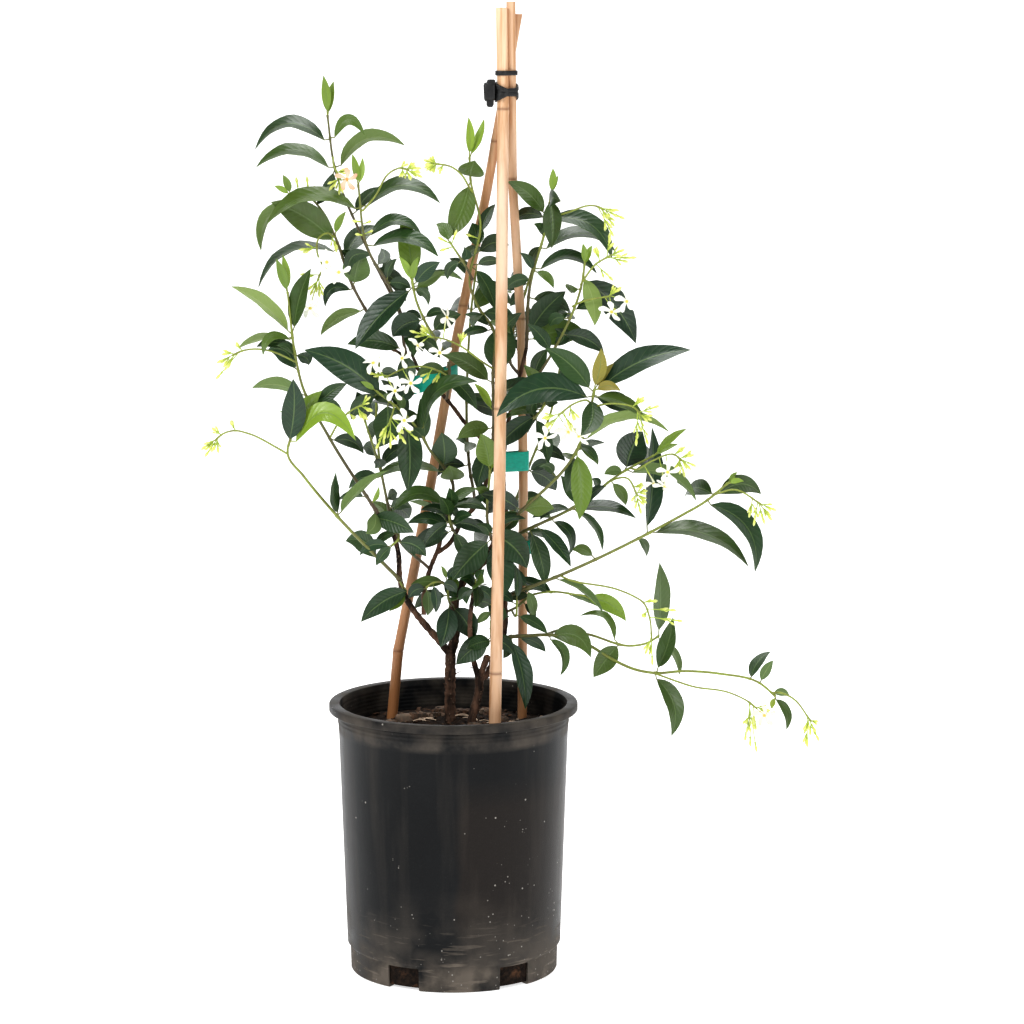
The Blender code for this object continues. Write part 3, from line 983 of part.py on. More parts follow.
class Stem:
    """A stem's centre line with its radii."""

    def __init__(self, route, start, end):
        self.route = route
        self.radii = even_radii(route, start, end)
        self.lengths = [0.0]
        for low, high in zip(route, route[1:]):
            self.lengths.append(self.lengths[-1] + (high - low).length)

    def at(self, length):
        """The point at a length from the start."""
        for index in range(len(self.route) - 1):
            if length <= self.lengths[index + 1] or index == len(self.route) - 2:
                span = self.lengths[index + 1] - self.lengths[index]
                share = max(0.0, min(1.0, (length - self.lengths[index]) / span))
                return self.route[index].lerp(self.route[index + 1], share)
        return self.route[-1]

    def nearest(self, point):
        """The length and the distance of the spot that is nearest to a point."""
        best = (1.0, 0.0)
        for index in range(len(self.route) - 1):
            start, along = self.route[index], self.route[index + 1] - self.route[index]
            share = max(0.0, min(1.0, (point - start).dot(along) / along.length_squared))
            distance = (point - start - along * share).length
            best = min(best, (distance, self.lengths[index] + along.length * share))
        return best

    def nearest_seen(self, across, up):
        """The same for the spot that looks nearest to a reading from the front."""
        best = (1.0, 0.0)
        steps = max(4, int(self.lengths[-1] / (1.5 * MM)))
        for step in range(steps + 1):
            length = self.lengths[-1] * step / steps
            seen = reading_of(self.at(length))
            best = min(best, (math.hypot(seen[0] - across, seen[1] - up) * CM, length))
        return best

    def mesh(self, sides, fat=0.0):
        return tube(self.route, [radius + fat for radius in self.radii], sides)


def reading_of(point):
    """The front view reading of a point, in cm."""
    reach = (point.y - EYE.y) / -EYE.y
    return (EYE.x + (point.x - EYE.x) / reach) / CM, (EYE.z + (point.z - EYE.z) / reach) / CM, point.y / CM


def grow_stem(readings, host, host_stems, start, end, sides, ground, seed):
    """A stem that starts just off its host's skin and stays clear of the rest."""
    draw = random.Random(seed)
    wanted = thinned([place(reading) for reading in readings])
    best = min(host_stems, key=lambda stem: stem.nearest(wanted[0])[0])
    spot = best.at(best.nearest(wanted[0])[1])
    for attempt in range(STEM_TRIES):
        size = attempt / STEM_TRIES
        sway, swing = (
            Vector([draw.uniform(-reach, reach) for reach in reaches]) * MM * size
            for reaches in (STEM_SWAY, STEM_SWING))
        route = []
        for index, point in enumerate(wanted):
            share = index / (len(wanted) - 1)
            route.append(point + sway * math.sin(math.pi * share) + swing * share)
        away = (route[1] - spot).normalized()
        for step in range(SEAT_STEPS):
            route[0] = spot + away * (GAP + 0.1 * MM + step * SEAT_STEP)
            first = tube(route[:2], [start + STEM_CLEAR] * 2, sides)
            if ground.is_clear(first, only=(host,)):
                break
        stem = Stem(route, start, end)
        if ground.is_clear(stem.mesh(sides, STEM_CLEAR)):
            return stem
    return None


def leaf_shape(share):
    """The half width of a blade along its length, as a part of the widest half width."""
    return 3.545 * share ** 0.8 * (1 - share) ** 1.05


class Leaf:
    """A blade whose midrib is a quadratic curve from its base to its tip, on a short stalk."""

    def __init__(self, root, base, tip, arch, width, face):
        axis = (tip - base).normalized()
        front = Vector((0, -1, 0))
        one = front - axis * front.dot(axis)
        if one.length < 0.1:
            one = Vector((0, 0, 1)) - axis * axis.z
        one.normalize()
        two = one.cross(axis)
        if two.z < -0.2 or (abs(two.z) <= 0.2 and two.x < 0):
            two = -two
        self.root, self.base, self.tip = root, base, tip
        self.middle = (base + tip) / 2 + two * arch * 2
        self.up = one * math.sin(face) + two * math.cos(face)
        self.half = width / 2

    def stations(self):
        length = (self.tip - self.base).length
        if length < TINY_LEAF:
            return TINY_STATIONS
        return LONG_STATIONS if length > LONG_LEAF else SHORT_STATIONS

    def row(self, share):
        """The midrib's point at a share of the blade, with the directions across and up there."""
        rest = 1 - share
        middle = self.base * rest * rest + self.middle * 2 * rest * share + self.tip * share * share
        along = ((self.middle - self.base) * rest + (self.tip - self.middle) * share).normalized()
        up = (self.up - along * self.up.dot(along)).normalized()
        return middle, along.cross(up), up

    def point(self, share, side, lift):
        """A point of the blade: side from -1 to 1 across it, lift above its middle surface."""
        middle, across, up = self.row(share)
        half = self.half * leaf_shape(share)
        return middle + across * side * half + up * (abs(side) * half * FOLD + lift)

    def collar(self, spot, towards, size):
        """Three corners round the stalk: left, right and under."""
        along = (towards - spot).normalized()
        up = (self.up - along * self.up.dot(along)).normalized()
        across = along.cross(up)
        above = spot + up * size * 0.5
        return [above - across * size, above + across * size, spot - up * size]

    def mesh(self, thick, blade_only=False):
        """The closed blade with its stalk, split alike on both faces."""
        lift = thick / 2
        size = STALK + (thick - BLADE) / 2
        first = self.point(self.stations()[0], 0, 0)
        start = self.base.lerp(self.root, 0.1) if blade_only else self.root
        points = self.collar(start, first, size) + self.collar(self.base, first, size)
        faces = [(0, 1, 2), (0, 1, 4, 3), (1, 2, 5, 4), (2, 0, 3, 5)]
        folded = (self.tip - self.base).length > FLAT_LEAF
        cross = (-1, 0, 1) if folded else (-1, 1)
        wide = len(cross)
        rings = []
        for share in self.stations():
            rings.append([len(points) + index for index in range(2 * wide)])
            points += [self.point(share, across, lift) for across in cross]
            points += [self.point(share, across, -lift) for across in reversed(cross)]
        left, right, under = 3, 4, 5
        ring = rings[0]
        faces += [(left, ring[0], ring[1]), (left, ring[1], right), (under, ring[-2], ring[-1])]
        faces += [(right, ring[-3], ring[-2]), (right, ring[-2], under), (under, ring[-1], left)]
        faces.append((left, ring[-1], ring[0]))
        if folded:
            faces += [(right, ring[1], ring[2]), (right, ring[2], ring[3])]
        for low, high in zip(rings, rings[1:]):
            for index in range(2 * wide):
                faces += split_band(low, high, index, index in ((1, 4) if folded else (2,)))
        last, upper = rings[-1], len(points)
        points += [self.point(0.999, 0, lift * 0.8), self.point(0.999, 0, -lift * 0.8)]
        lower = upper + 1
        faces += [(last[index], last[index + 1], upper) for index in range(wide - 1)]
        faces += [(last[wide + index], last[wide + index + 1], lower) for index in range(wide - 1)]
        faces += [(last[wide - 1], last[wide], lower), (last[wide - 1], lower, upper)]
        faces += [(last[-1], last[0], upper), (last[-1], upper, lower)]
        return mesh_from(points, faces)


def split_band(low, high, index, turned_over):
    """Two triangles between two rings of a blade. The two faces of the blade take the same diagonal."""
    after = (index + 1) % len(low)
    if turned_over:
        return [(low[index], low[after], high[index]), (low[after], high[after], high[index])]
    return [(low[index], low[after], high[after]), (low[index], high[after], high[index])]


def leaf_from(row, stems, ratio, nudge):
    """A leaf from its row in the table. nudge moves it: tip depth, face, root, arch, and tip pulled in."""
    across, up, tip_across, tip_up, arch, width, lean = row
    deeper, turn, along, more_arch, pull = nudge
    stem = min(stems, key=lambda one: one.nearest_seen(across, up)[0])
    _, length = stem.nearest_seen(across, up)
    length = max(FIRST_LEAF, min(stem.lengths[-1] - 0.4 * MM, length + along))
    root = stem.at(length)
    tip = place((tip_across, tip_up, root.y / CM + lean + deeper)).lerp(root, pull)
    wanted = place((across, up, root.y / CM))
    stalk = min(STALK_SHARE * (tip - root).length + 1.5 * MM, LONGEST_STALK)
    base = root + (tip - root).normalized() * stalk
    if (wanted - root).length > stalk:
        base = wanted
    length = (tip - base).length
    seen = abs(width) * CM
    true_width = min(max(ratio * length, seen), WIDEST)
    face = math.asin(min(seen / true_width, 1.0))
    if width < 0:
        face = -face
    return Leaf(root, base, tip, (arch + more_arch) * CM, true_width, face + turn)


def nudges(seed):
    """Small moves, from none to larger ones, in a fixed order."""
    draw = random.Random(seed)
    yield (0, 0, 0, 0, 0)
    for index in range(1, LEAF_TRIES):
        size = index / LEAF_TRIES
        yield (
            draw.uniform(-1, 1) * (0.4 + 4.2 * size),
            draw.uniform(-1, 1) * math.radians(8 + 50 * size),
            draw.uniform(-1, 1) * (1 + 7 * size) * MM,
            draw.uniform(-1, 1) * 0.7 * size,
            max(0.0, size - 0.4) * 0.6,
        )


def grow_leaf(name, row, stems, ratio, ground, seed):
    """The first clear variant of a leaf, or None. Leaves of one stem may only meet at their stalks."""
    for nudge in nudges(seed):
        leaf = leaf_from(row, stems, ratio, nudge)
        if not ground.is_clear(leaf.mesh(BLADE + 2 * CLEAR), skip=(name, name + "_leaf")):
            continue
        if ground.is_clear(leaf.mesh(BLADE, blade_only=True), only=(name + "_leaf",)):
            return leaf
    return None


def back_row(stem, draw):
    """A leaf that grows away from the viewer, to the side or upwards."""
    across, up, _ = reading_of(stem.at(stem.lengths[-1] * draw.uniform(0.15, 0.97)))
    length = draw.uniform(4.2, 7.2)
    heading = math.radians(draw.uniform(15, 165))
    rise = math.radians(draw.uniform(-35, 45))
    level = length * math.cos(rise)
    tip = (across + level * math.cos(heading), up + length * math.sin(rise))
    return (across, up, *tip, draw.uniform(0.3, 1.0), draw.uniform(0.8, 2.4), level * math.sin(heading))


def bud_mesh(root, base, tip, fat=0.0):
    """A pointed bud on a thin stalk, three sided."""
    points, faces = [], []
    route = [root, base.lerp(tip, 0.45)]
    radii = [BUD_STALK + fat, BUD_R + fat]
    for (side, other), point, radius in zip(frames(route), route, radii):
        for index in range(3):
            angle = 2 * math.pi / 3 * index
            points.append(point + (side * math.cos(angle) + other * math.sin(angle)) * radius)
    points.append(tip)
    for index in range(3):
        after = (index + 1) % 3
        faces.append((index, after, 3 + after, 3 + index))
        faces.append((3 + index, 3 + after, 6))
    faces.append((0, 1, 2))
    return mesh_from(points, faces)


def flower_mesh(root, centre, facing, radius, fat=0.0):
    """A five-petalled pinwheel on its tube."""
    side = facing.orthogonal().normalized()
    other = facing.cross(side)
    points, faces = [], []
    thick = BLADE / 2 + fat
    for lift in (thick, -thick):
        for index in range(10):
            petal = index % 2 == 0
            far = (radius if petal else radius * NOTCH) + fat
            angle = math.radians(36 * index + (PINWHEEL if petal else 0))
            tilt = radius * 0.12 if petal else 0
            points.append(
                centre + (side * math.cos(angle) + other * math.sin(angle)) * far + facing * (tilt + lift))
    top = len(points)
    points.append(centre + facing * thick)
    for index in range(10):
        after = (index + 1) % 10
        faces.append((index, after, top))
        faces.append((index, after, 10 + after, 10 + index))
    ring = len(points)
    sink, neck, foot = FLOWER_NECK
    for spot, size in ((centre - facing * sink, neck + fat), (root, foot + fat)):
        for index in range(5):
            angle = math.radians(72 * index + 36)
            points.append(spot + (side * math.cos(angle) + other * math.sin(angle)) * size)
    for index in range(5):
        after = (index + 1) % 5
        notch, petal, next_notch = 11 + 2 * index, 10 + (2 * index + 2) % 10, 10 + (2 * index + 3) % 10
        faces.append((notch, petal, ring + index))
        faces.append((petal, next_notch, ring + after))
        faces.append((petal, ring + after, ring + index))
        faces.append((ring + index, ring + after, ring + after + 5, ring + index + 5))
    faces.append(tuple(ring + 5 + index for index in range(5)))
    return mesh_from(points, faces)


def spread(seed):
    """Depth and side moves for a bud or a flower, in cm, from none to larger ones."""
    draw = random.Random(seed)
    for index in range(BLOOM_TRIES):
        size = index / BLOOM_TRIES
        yield tuple(draw.uniform(-1, 1) * reach for reach in (0.5 + 3 * size, 0.9 * size, 0.9 * size))


def grow_bud(name, reading, stems, ground, seed):
    """A bud whose stalk leaves its stem a little below the bud."""
    across, up = reading
    stem = min(stems, key=lambda one: one.nearest_seen(across, up)[0])
    _, length = stem.nearest_seen(across, up)
    near = stem.at(length)
    for deeper, aside, higher in spread(seed):
        tip = place((across + aside, up + higher, near.y / CM + deeper))
        root = stem.at(max(FIRST_LEAF, length - 0.25 * (tip - near).length))
        base = tip + (root - tip).normalized() * min(BUD_LENGTH, (tip - root).length * 0.7)
        if ground.is_clear(bud_mesh(root, base, tip, CLEAR), skip=(name, name + "_bud", name + "_leaf")):
            return bud_mesh(root, base, tip)
    return None


def grow_flower(name, reading, stems, ground, seed):
    across, up = reading
    draw = random.Random(seed)
    facing = Vector((draw.uniform(-0.5, 0.5), -1, draw.uniform(-0.4, 0.4))).normalized()
    stem = min(stems, key=lambda one: one.nearest_seen(across, up)[0])
    near = stem.at(stem.nearest_seen(across, up)[1])
    for deeper, aside, higher in spread(seed):
        centre = place((across + aside, up + higher, near.y / CM - 0.9 + deeper))
        root = stem.at(max(FIRST_LEAF, min(stem.nearest(centre)[1], stem.lengths[-1] - 0.3 * MM)))
        outward = ((centre - root).normalized() + facing * 1.6).normalized()
        if ground.is_clear(flower_mesh(root, centre, outward, FLOWER_R, CLEAR), skip=(name,)):
            return flower_mesh(root, centre, outward, FLOWER_R)
    return None


def stem_table():
    """Every leafy stem: name and entry, those behind included."""
    table = dict(SHOOTS)
    for name, (host, readings, count) in BACK_STEMS.items():
        table[name] = {
            "host": host, "radius": (1.6, 0.9), "stem": readings, "leaves": (), "young": (), "back": count}
    return table


class Plant:
    """Wood, leafy stems and sprays, grown in turn, each clear of what stands already."""

    def __init__(self):
        self.ground = Ground()
        self.stems, self.pieces, self.missing = {}, {}, []
        self.seed = SEED

    def next_seed(self):
        self.seed += 1
        return self.seed

    def add(self, name, owner, mesh, what):
        """Keeps a grown piece, or notes that it found no room."""
        if mesh is None:
            self.missing.append((name, what))
            return
        self.ground.add(owner, mesh)
        self.pieces[name].append(mesh)

    def set_wood(self):
        for name in CANES:
            self.ground.add(name, cane_mesh(name))
        for name in BANDS:
            self.ground.add(name, band_mesh(name))
        for name, branches in WOOD.items():
            self.stems[name] = []
            self.pieces[name] = []
            for start, end, readings in branches:
                route = thinned([place(reading) for reading in readings], WOOD_BEND)
                stem = Stem(route, start * MM, end * MM)
                self.stems[name].append(stem)
                self.add(name, name, stem.mesh(WOOD_SIDES), "wood")

    def set_stem(self, name, host, readings, start, end, sides):
        seed = self.next_seed()
        stem = grow_stem(readings, host, self.stems[host], start, end, sides, self.ground, seed)
        if stem is None:
            raise ValueError(name + " finds no room")
        self.stems[name] = [stem]
        self.pieces[name] = [stem.mesh(sides)]

    def set_branches(self, name, entry):
        """Side stems, sunk into the main stem that they grow from."""
        start, end = (size * MM for size in entry["radius"])
        for readings in entry.get("branches", ()):
            route = thinned([place(reading) for reading in readings])
            trunk = self.stems[name][0]
            route[0] = trunk.at(trunk.nearest(route[0])[1])
            stem = Stem(route, between(start, end, 0.5), end)
            self.stems[name].append(stem)
            self.pieces[name].append(stem.mesh(STEM_SIDES))

    def grow(self):
        table = stem_table()
        self.set_wood()
        for name, entry in table.items():
            start, end = (size * MM for size in entry["radius"])
            self.set_stem(name, entry["host"], entry["stem"], start, end, STEM_SIDES)
            self.set_branches(name, entry)
            for mesh in self.pieces[name]:
                self.ground.add(name, mesh)
        for name, entry in SPRAYS.items():
            self.set_stem(name, entry["host"], entry["stalk"], *SPRAY_RADIUS, SPRAY_SIDES)
            self.ground.add(name, self.pieces[name][0])
        for name, entry in table.items():
            for row in entry["leaves"]:
                self.set_leaf(name, row, WIDTH_RATIO)
        for name, entry in SPRAYS.items():
            for reading in entry["flowers"]:
                flower = grow_flower(name, reading, self.stems[name], self.ground, self.next_seed())
                self.add(name, name + "_flower", flower, reading)
            self.set_buds(name, entry)
        for name, entry in table.items():
            for row in entry["young"]:
                self.set_leaf(name, row, YOUNG_RATIO)
            self.set_buds(name, entry)
            draw = random.Random(self.next_seed())
            for _ in range(entry["back"]):
                stem = self.stems[name][0]
                self.set_leaf(name, back_row(stem, draw), WIDTH_RATIO)

    def set_buds(self, name, entry):
        for reading in entry.get("buds", ()):
            bud = grow_bud(name, reading, self.stems[name], self.ground, self.next_seed())
            self.add(name, name + "_bud", bud, reading)

    def set_leaf(self, name, row, ratio):
        leaf = grow_leaf(name, row, self.stems[name], ratio, self.ground, self.next_seed())
        self.add(name, name + "_leaf", leaf and leaf.mesh(BLADE), row)


def finish_of(name):
    if name in WOOD:
        return "wood"
    return "flower" if name in SPRAYS else "leaf"


def main():
    clear_scene()
    make_pot()
    make_soil()
    for name in CANES:
        smooth(add_object(name, cane_mesh(name), "cane"))
    for name in BANDS:
        meshes = [band_mesh(name)]
        if name == "tie_band":
            meshes.append(knot_mesh())
        smooth(fuse(name, meshes, "tape" if name.startswith("tape") else "tie"))
    plant = Plant()
    plant.grow()
    for name, meshes in plant.pieces.items():
        fuse(name, meshes, finish_of(name))
    return plant


PLANT = main()
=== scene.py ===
"""The looks of a potted star jasmine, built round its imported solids.

Metres, +Z up, origin at the centre of the pot's foot, front of the plant towards -Y. The plant grows
here from the same tables and by the same rule as its solids did, so every leaf, bud and flower stands
where its solid stands, and is then drawn finely.
"""
import functools
import math
import random

import bmesh
import bpy
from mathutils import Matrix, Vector, noise
from mathutils.bvhtree import BVHTree


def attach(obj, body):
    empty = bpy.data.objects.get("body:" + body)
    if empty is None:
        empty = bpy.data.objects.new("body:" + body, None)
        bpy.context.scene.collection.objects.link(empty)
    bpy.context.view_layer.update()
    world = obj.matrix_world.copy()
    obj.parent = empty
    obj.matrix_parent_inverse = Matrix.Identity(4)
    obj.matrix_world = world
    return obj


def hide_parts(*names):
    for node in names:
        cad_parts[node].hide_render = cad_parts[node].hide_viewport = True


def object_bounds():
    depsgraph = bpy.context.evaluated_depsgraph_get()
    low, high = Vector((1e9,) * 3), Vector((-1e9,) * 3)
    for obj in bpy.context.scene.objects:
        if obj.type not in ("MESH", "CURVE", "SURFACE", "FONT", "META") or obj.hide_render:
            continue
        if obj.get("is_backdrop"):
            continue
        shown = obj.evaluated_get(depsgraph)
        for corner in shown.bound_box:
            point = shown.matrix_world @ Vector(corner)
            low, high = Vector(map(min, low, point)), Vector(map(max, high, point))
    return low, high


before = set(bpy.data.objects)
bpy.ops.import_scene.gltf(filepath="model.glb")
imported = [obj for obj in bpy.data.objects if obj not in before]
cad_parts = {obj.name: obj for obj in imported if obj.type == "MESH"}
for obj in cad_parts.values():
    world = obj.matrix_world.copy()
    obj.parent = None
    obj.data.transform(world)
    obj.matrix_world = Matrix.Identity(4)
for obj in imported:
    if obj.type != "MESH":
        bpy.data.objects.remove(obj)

CAD_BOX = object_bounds()

bl_info = {
    "name": "Potted star jasmine",
    "version": (1, 0, 0),
    "blender": (4, 5, 0),
    "location": "3D View > Sidebar > Jasmine",
    "description": "Draws a potted star jasmine on a tripod of canes round its solids",
    "category": "Mesh",
}

CM = 0.01
MM = 0.001
GAP = 0.3 * MM
EYE = Vector((0.0636, -3.8, 1.08))

# Nursery pot
POT_HEIGHT = 0.295
POT_FOOT_R = 0.113
POT_BASE_R = 0.1155
POT_TOP_R = 0.1255
POT_WALL = 0.0022
FOOT_BAND = 0.027
RIM_R = 0.135
RIM_LIP = 0.0027
RIM_PLATE = 0.0025
RIM_SKIRT = 0.0085
POT_FLOOR = 0.003
SLOT_WIDTH = 0.037
SLOT_HEIGHT = 0.025
SLOT_DEPTH = 0.016
SLOT_ANGLES = (-92, -28, 36, 94, 152, 210)

# Soil
SOIL_TOP = 0.262
SOIL_MOUND = 0.010
SOIL_WAVE = 0.0025
SOIL_WAVES = (130, 150)

# Foliage
BLADE = 0.8 * MM
CLEAR = 0.45 * MM
FOLD = 0.22
WIDTH_RATIO = 0.37
YOUNG_RATIO = 0.26
WIDEST = 0.034
LONG_LEAF = 0.092
LONG_STATIONS = (0.19, 0.48, 0.77)
SHORT_STATIONS = (0.26, 0.64)
TINY_LEAF = 0.037
FLAT_LEAF = 0.058
TINY_STATIONS = (0.42,)
STALK = 0.45 * MM
FIRST_LEAF = 4 * MM
BEND = 2 * MM
WOOD_BEND = 1.4 * MM
STALK_SHARE = 0.08
LONGEST_STALK = 7 * MM
STEM_SIDES = 4
SPRAY_SIDES = 4
SPRAY_RADIUS = (0.95 * MM, 0.75 * MM)
STEM_TRIES = 60
STEM_SWAY = (4, 14, 4)
STEM_SWING = (4, 10, 4)
SEAT_STEP = 0.15 * MM
SEAT_STEPS = 60
STEM_CLEAR = 0.3 * MM
LEAF_TRIES = 160
BLOOM_TRIES = 80
BUD_LENGTH = 0.0115
BUD_R = 1.4 * MM
BUD_STALK = 0.4 * MM
FLOWER_R = 0.0135
PINWHEEL = 14
NOTCH = 0.36
FLOWER_NECK = (1.2 * MM, 1.5 * MM, 0.4 * MM)
SEED = 41

# Room that the foliage leaves over the rim and the soil
RIM_ROOM_R = 0.142
RIM_ROOM = 2 * MM
WALL_ROOM_R = 0.116
SOIL_ROOM = 5 * MM


def place(reading):
    """The point in space of a reading (across, up, depth) in centimetres."""
    across, up, depth = (value * CM for value in reading)
    reach = (depth - EYE.y) / -EYE.y
    return Vector((EYE.x + (across - EYE.x) * reach, depth, EYE.z - (EYE.z - up) * reach))

# Canes: the centre line in cm of real space (across, depth, up), the radius at both ends in mm and the
# heights of the nodes. They end inside the soil, where the wall still leaves room for them.
CANES = {
    "cane_front": (((4.25, -9.3, 10.0), (4.5, -7.9, 26.4), (5.03, -4.9, 54.5), (5.25, -2.9, 73.0),
                    (5.39, -1.1, 90.0), (5.41, -0.62, 95.0), (5.35, -0.9, 98.0), (5.26, -1.15, 104.1)),
                   6.6, 6.1, (34.0, 62.0, 93.5)),
    "cane_right": (((7.4, 6.1, 10.0), (7.48, 5.0, 26.5), (7.59, 3.1, 52.4), (7.4, 1.95, 69.0),
                    (6.4, 0.8, 86.0), (6.33, 0.25, 95.0), (6.3, -0.2, 98.0), (6.24, -0.4, 104.7)),
                   5.2, 4.8, (47.0, 71.0, 86.0)),
    "cane_left": (((-8.48, 5.35, 10.0), (-6.87, 4.5, 26.3), (-6.1, 4.1, 34.3), (-2.54, 3.1, 52.4),
                   (0.13, 2.3, 67.5), (3.67, 1.45, 84.6), (5.5, 0.95, 95.0), (6.05, 0.87, 98.0),
                   (7.0, 0.65, 103.4)),
                  6.0, 4.7, (34.3, 72.4, 90.0)),
}
CANE_SIDES = 7
NODE_SWELL = 1.08

# Bands round the canes: lower and upper height in cm, slope, thickness in mm, canes, and free ends
# (across, depth, radius in cm) that the loop also goes round
ALL_CANES = ("cane_front", "cane_right", "cane_left")
BANDS = {
    "tie_ring": (97.0, 97.5, 0.0, 1.2, ALL_CANES, ()),
    "tie_band": (94.0, 96.4, 0.0, 2.2, ALL_CANES, ()),
    "tape_left": (63.5, 65.4, 0.25, 0.8, ("cane_left",),
                  ((-1.7, 0.75, 0.34), (-3.3, 0.75, 0.34), (-4.4, 0.7, 0.12))),
    "tape_front": (54.4, 56.5, 0.0, 0.8, ("cane_right",), ((5.47, 1.8, 0.34),)),
    "tape_right": (45.2, 46.6, 0.0, 0.8, ("cane_right",), ((9.0, 3.0, 0.12),)),
}
BAND_SIDES = 14
BAND_CLEAR = 0.5 * MM
BAND_REACH = 2.5

# Wood: branches (radius at the start and the end in mm, readings)
WOOD = {
    "wood_left": (
        (5.6, 5.0, ((-0.4, 18.3, 0.3), (-0.4, 27.5, 0.3), (-0.35, 30, 0.2), (-0.3, 33, 0.1),
                    (-0.3, 35.2, 0))),
        (3.6, 2.0, ((-0.35, 34.6, 0), (-1.2, 36, -0.3), (-2.2, 37.3, -0.6), (-3, 38.7, -0.9),
                    (-4, 40, -1.2), (-4.9, 41.2, -1.5), (-5.7, 42.6, -1.7), (-5.9, 44, -1.8),
                    (-5.95, 46, -1.9), (-6.3, 47.4, -1.9), (-7.2, 48.9, -2.0), (-8.1, 50.1, -2.2))),
        (4.6, 2.9, ((-0.3, 34.6, 0.1), (0.3, 37.5, 0.3), (0.1, 39.2, 0.5), (0.3, 41, 0.5),
                    (1, 42.5, 0.3), (1.8, 43.5, 0.2), (3, 44.5, 0), (3.9, 45.8, -0.2),
                    (4.3, 46.8, -0.3), (5, 48.2, -0.5))),
        (2.4, 1.8, ((-3.2, 39.0, -0.9), (-3.2, 41, -0.6), (-3, 42.3, -0.4), (-2.5, 44, -0.2),
                    (-1.9, 45.3, 0.2), (-1.4, 47, 0.6), (-1.2, 48.5, 0.9), (-0.7, 49.8, 1.1),
                    (-0.3, 50.8, 1.2))),
        (2.2, 1.6, ((-1.75, 45.8, 0.35), (-0.6, 46.6, 0.5), (0.3, 48, 0.4), (0.9, 49.1, 0.2),
                    (1.5, 49.8, 0.1), (2.3, 50.8, 0), (3.1, 52, 0), (3.5, 53.2, 0.1), (3.6, 55, 0.3),
                    (3.2, 57, 0.5), (3, 58.2, 0.6), (1.5, 59.7, 0.7), (0, 61.7, 0.7), (-1.8, 63.5, 0.8),
                    (-3, 65, 0.8), (-5, 67, 0.7), (-7.2, 68.5, 0.7), (-8.3, 70.4, 0.6))),
    ),
    "wood_right": (
        (4.6, 4.2, ((2, 18.3, -0.8), (2, 27.5, -0.8), (2.3, 29.2, -0.7), (2.8, 31, -0.6), (2.8, 32.4, -0.5))),
        (3.2, 1.7, ((2.8, 31.8, -0.5), (3.6, 32.4, -0.1), (4.2, 33.6, 0.4), (4.6, 35.2, 0.9),
                    (5.3, 36.6, 1.2), (5.5, 38.5, 1.2), (5.6, 41, 1.1), (5.8, 44, 1.2), (6, 47, 1.4),
                    (5.7, 50, 1.7), (5.45, 53, 1.8), (5.45, 56, 1.8), (6.1, 59.5, 1.3), (7, 64, 0.7),
                    (7.9, 68, 0.2))),
        (2.9, 1.9, ((2.8, 31.8, -0.5), (2.4, 33, -0.7), (2.15, 34.2, -0.8), (2, 36, -1),
                    (1.8, 38, -1.3), (1.9, 40, -1.7), (2.2, 41.6, -2))),
        (3.2, 3.0, ((2.75, 31.9, -0.6), (3.4, 33.6, -1.0), (3.7, 34.4, -1.1))),
    ),
}
WOOD_SIDES = 5

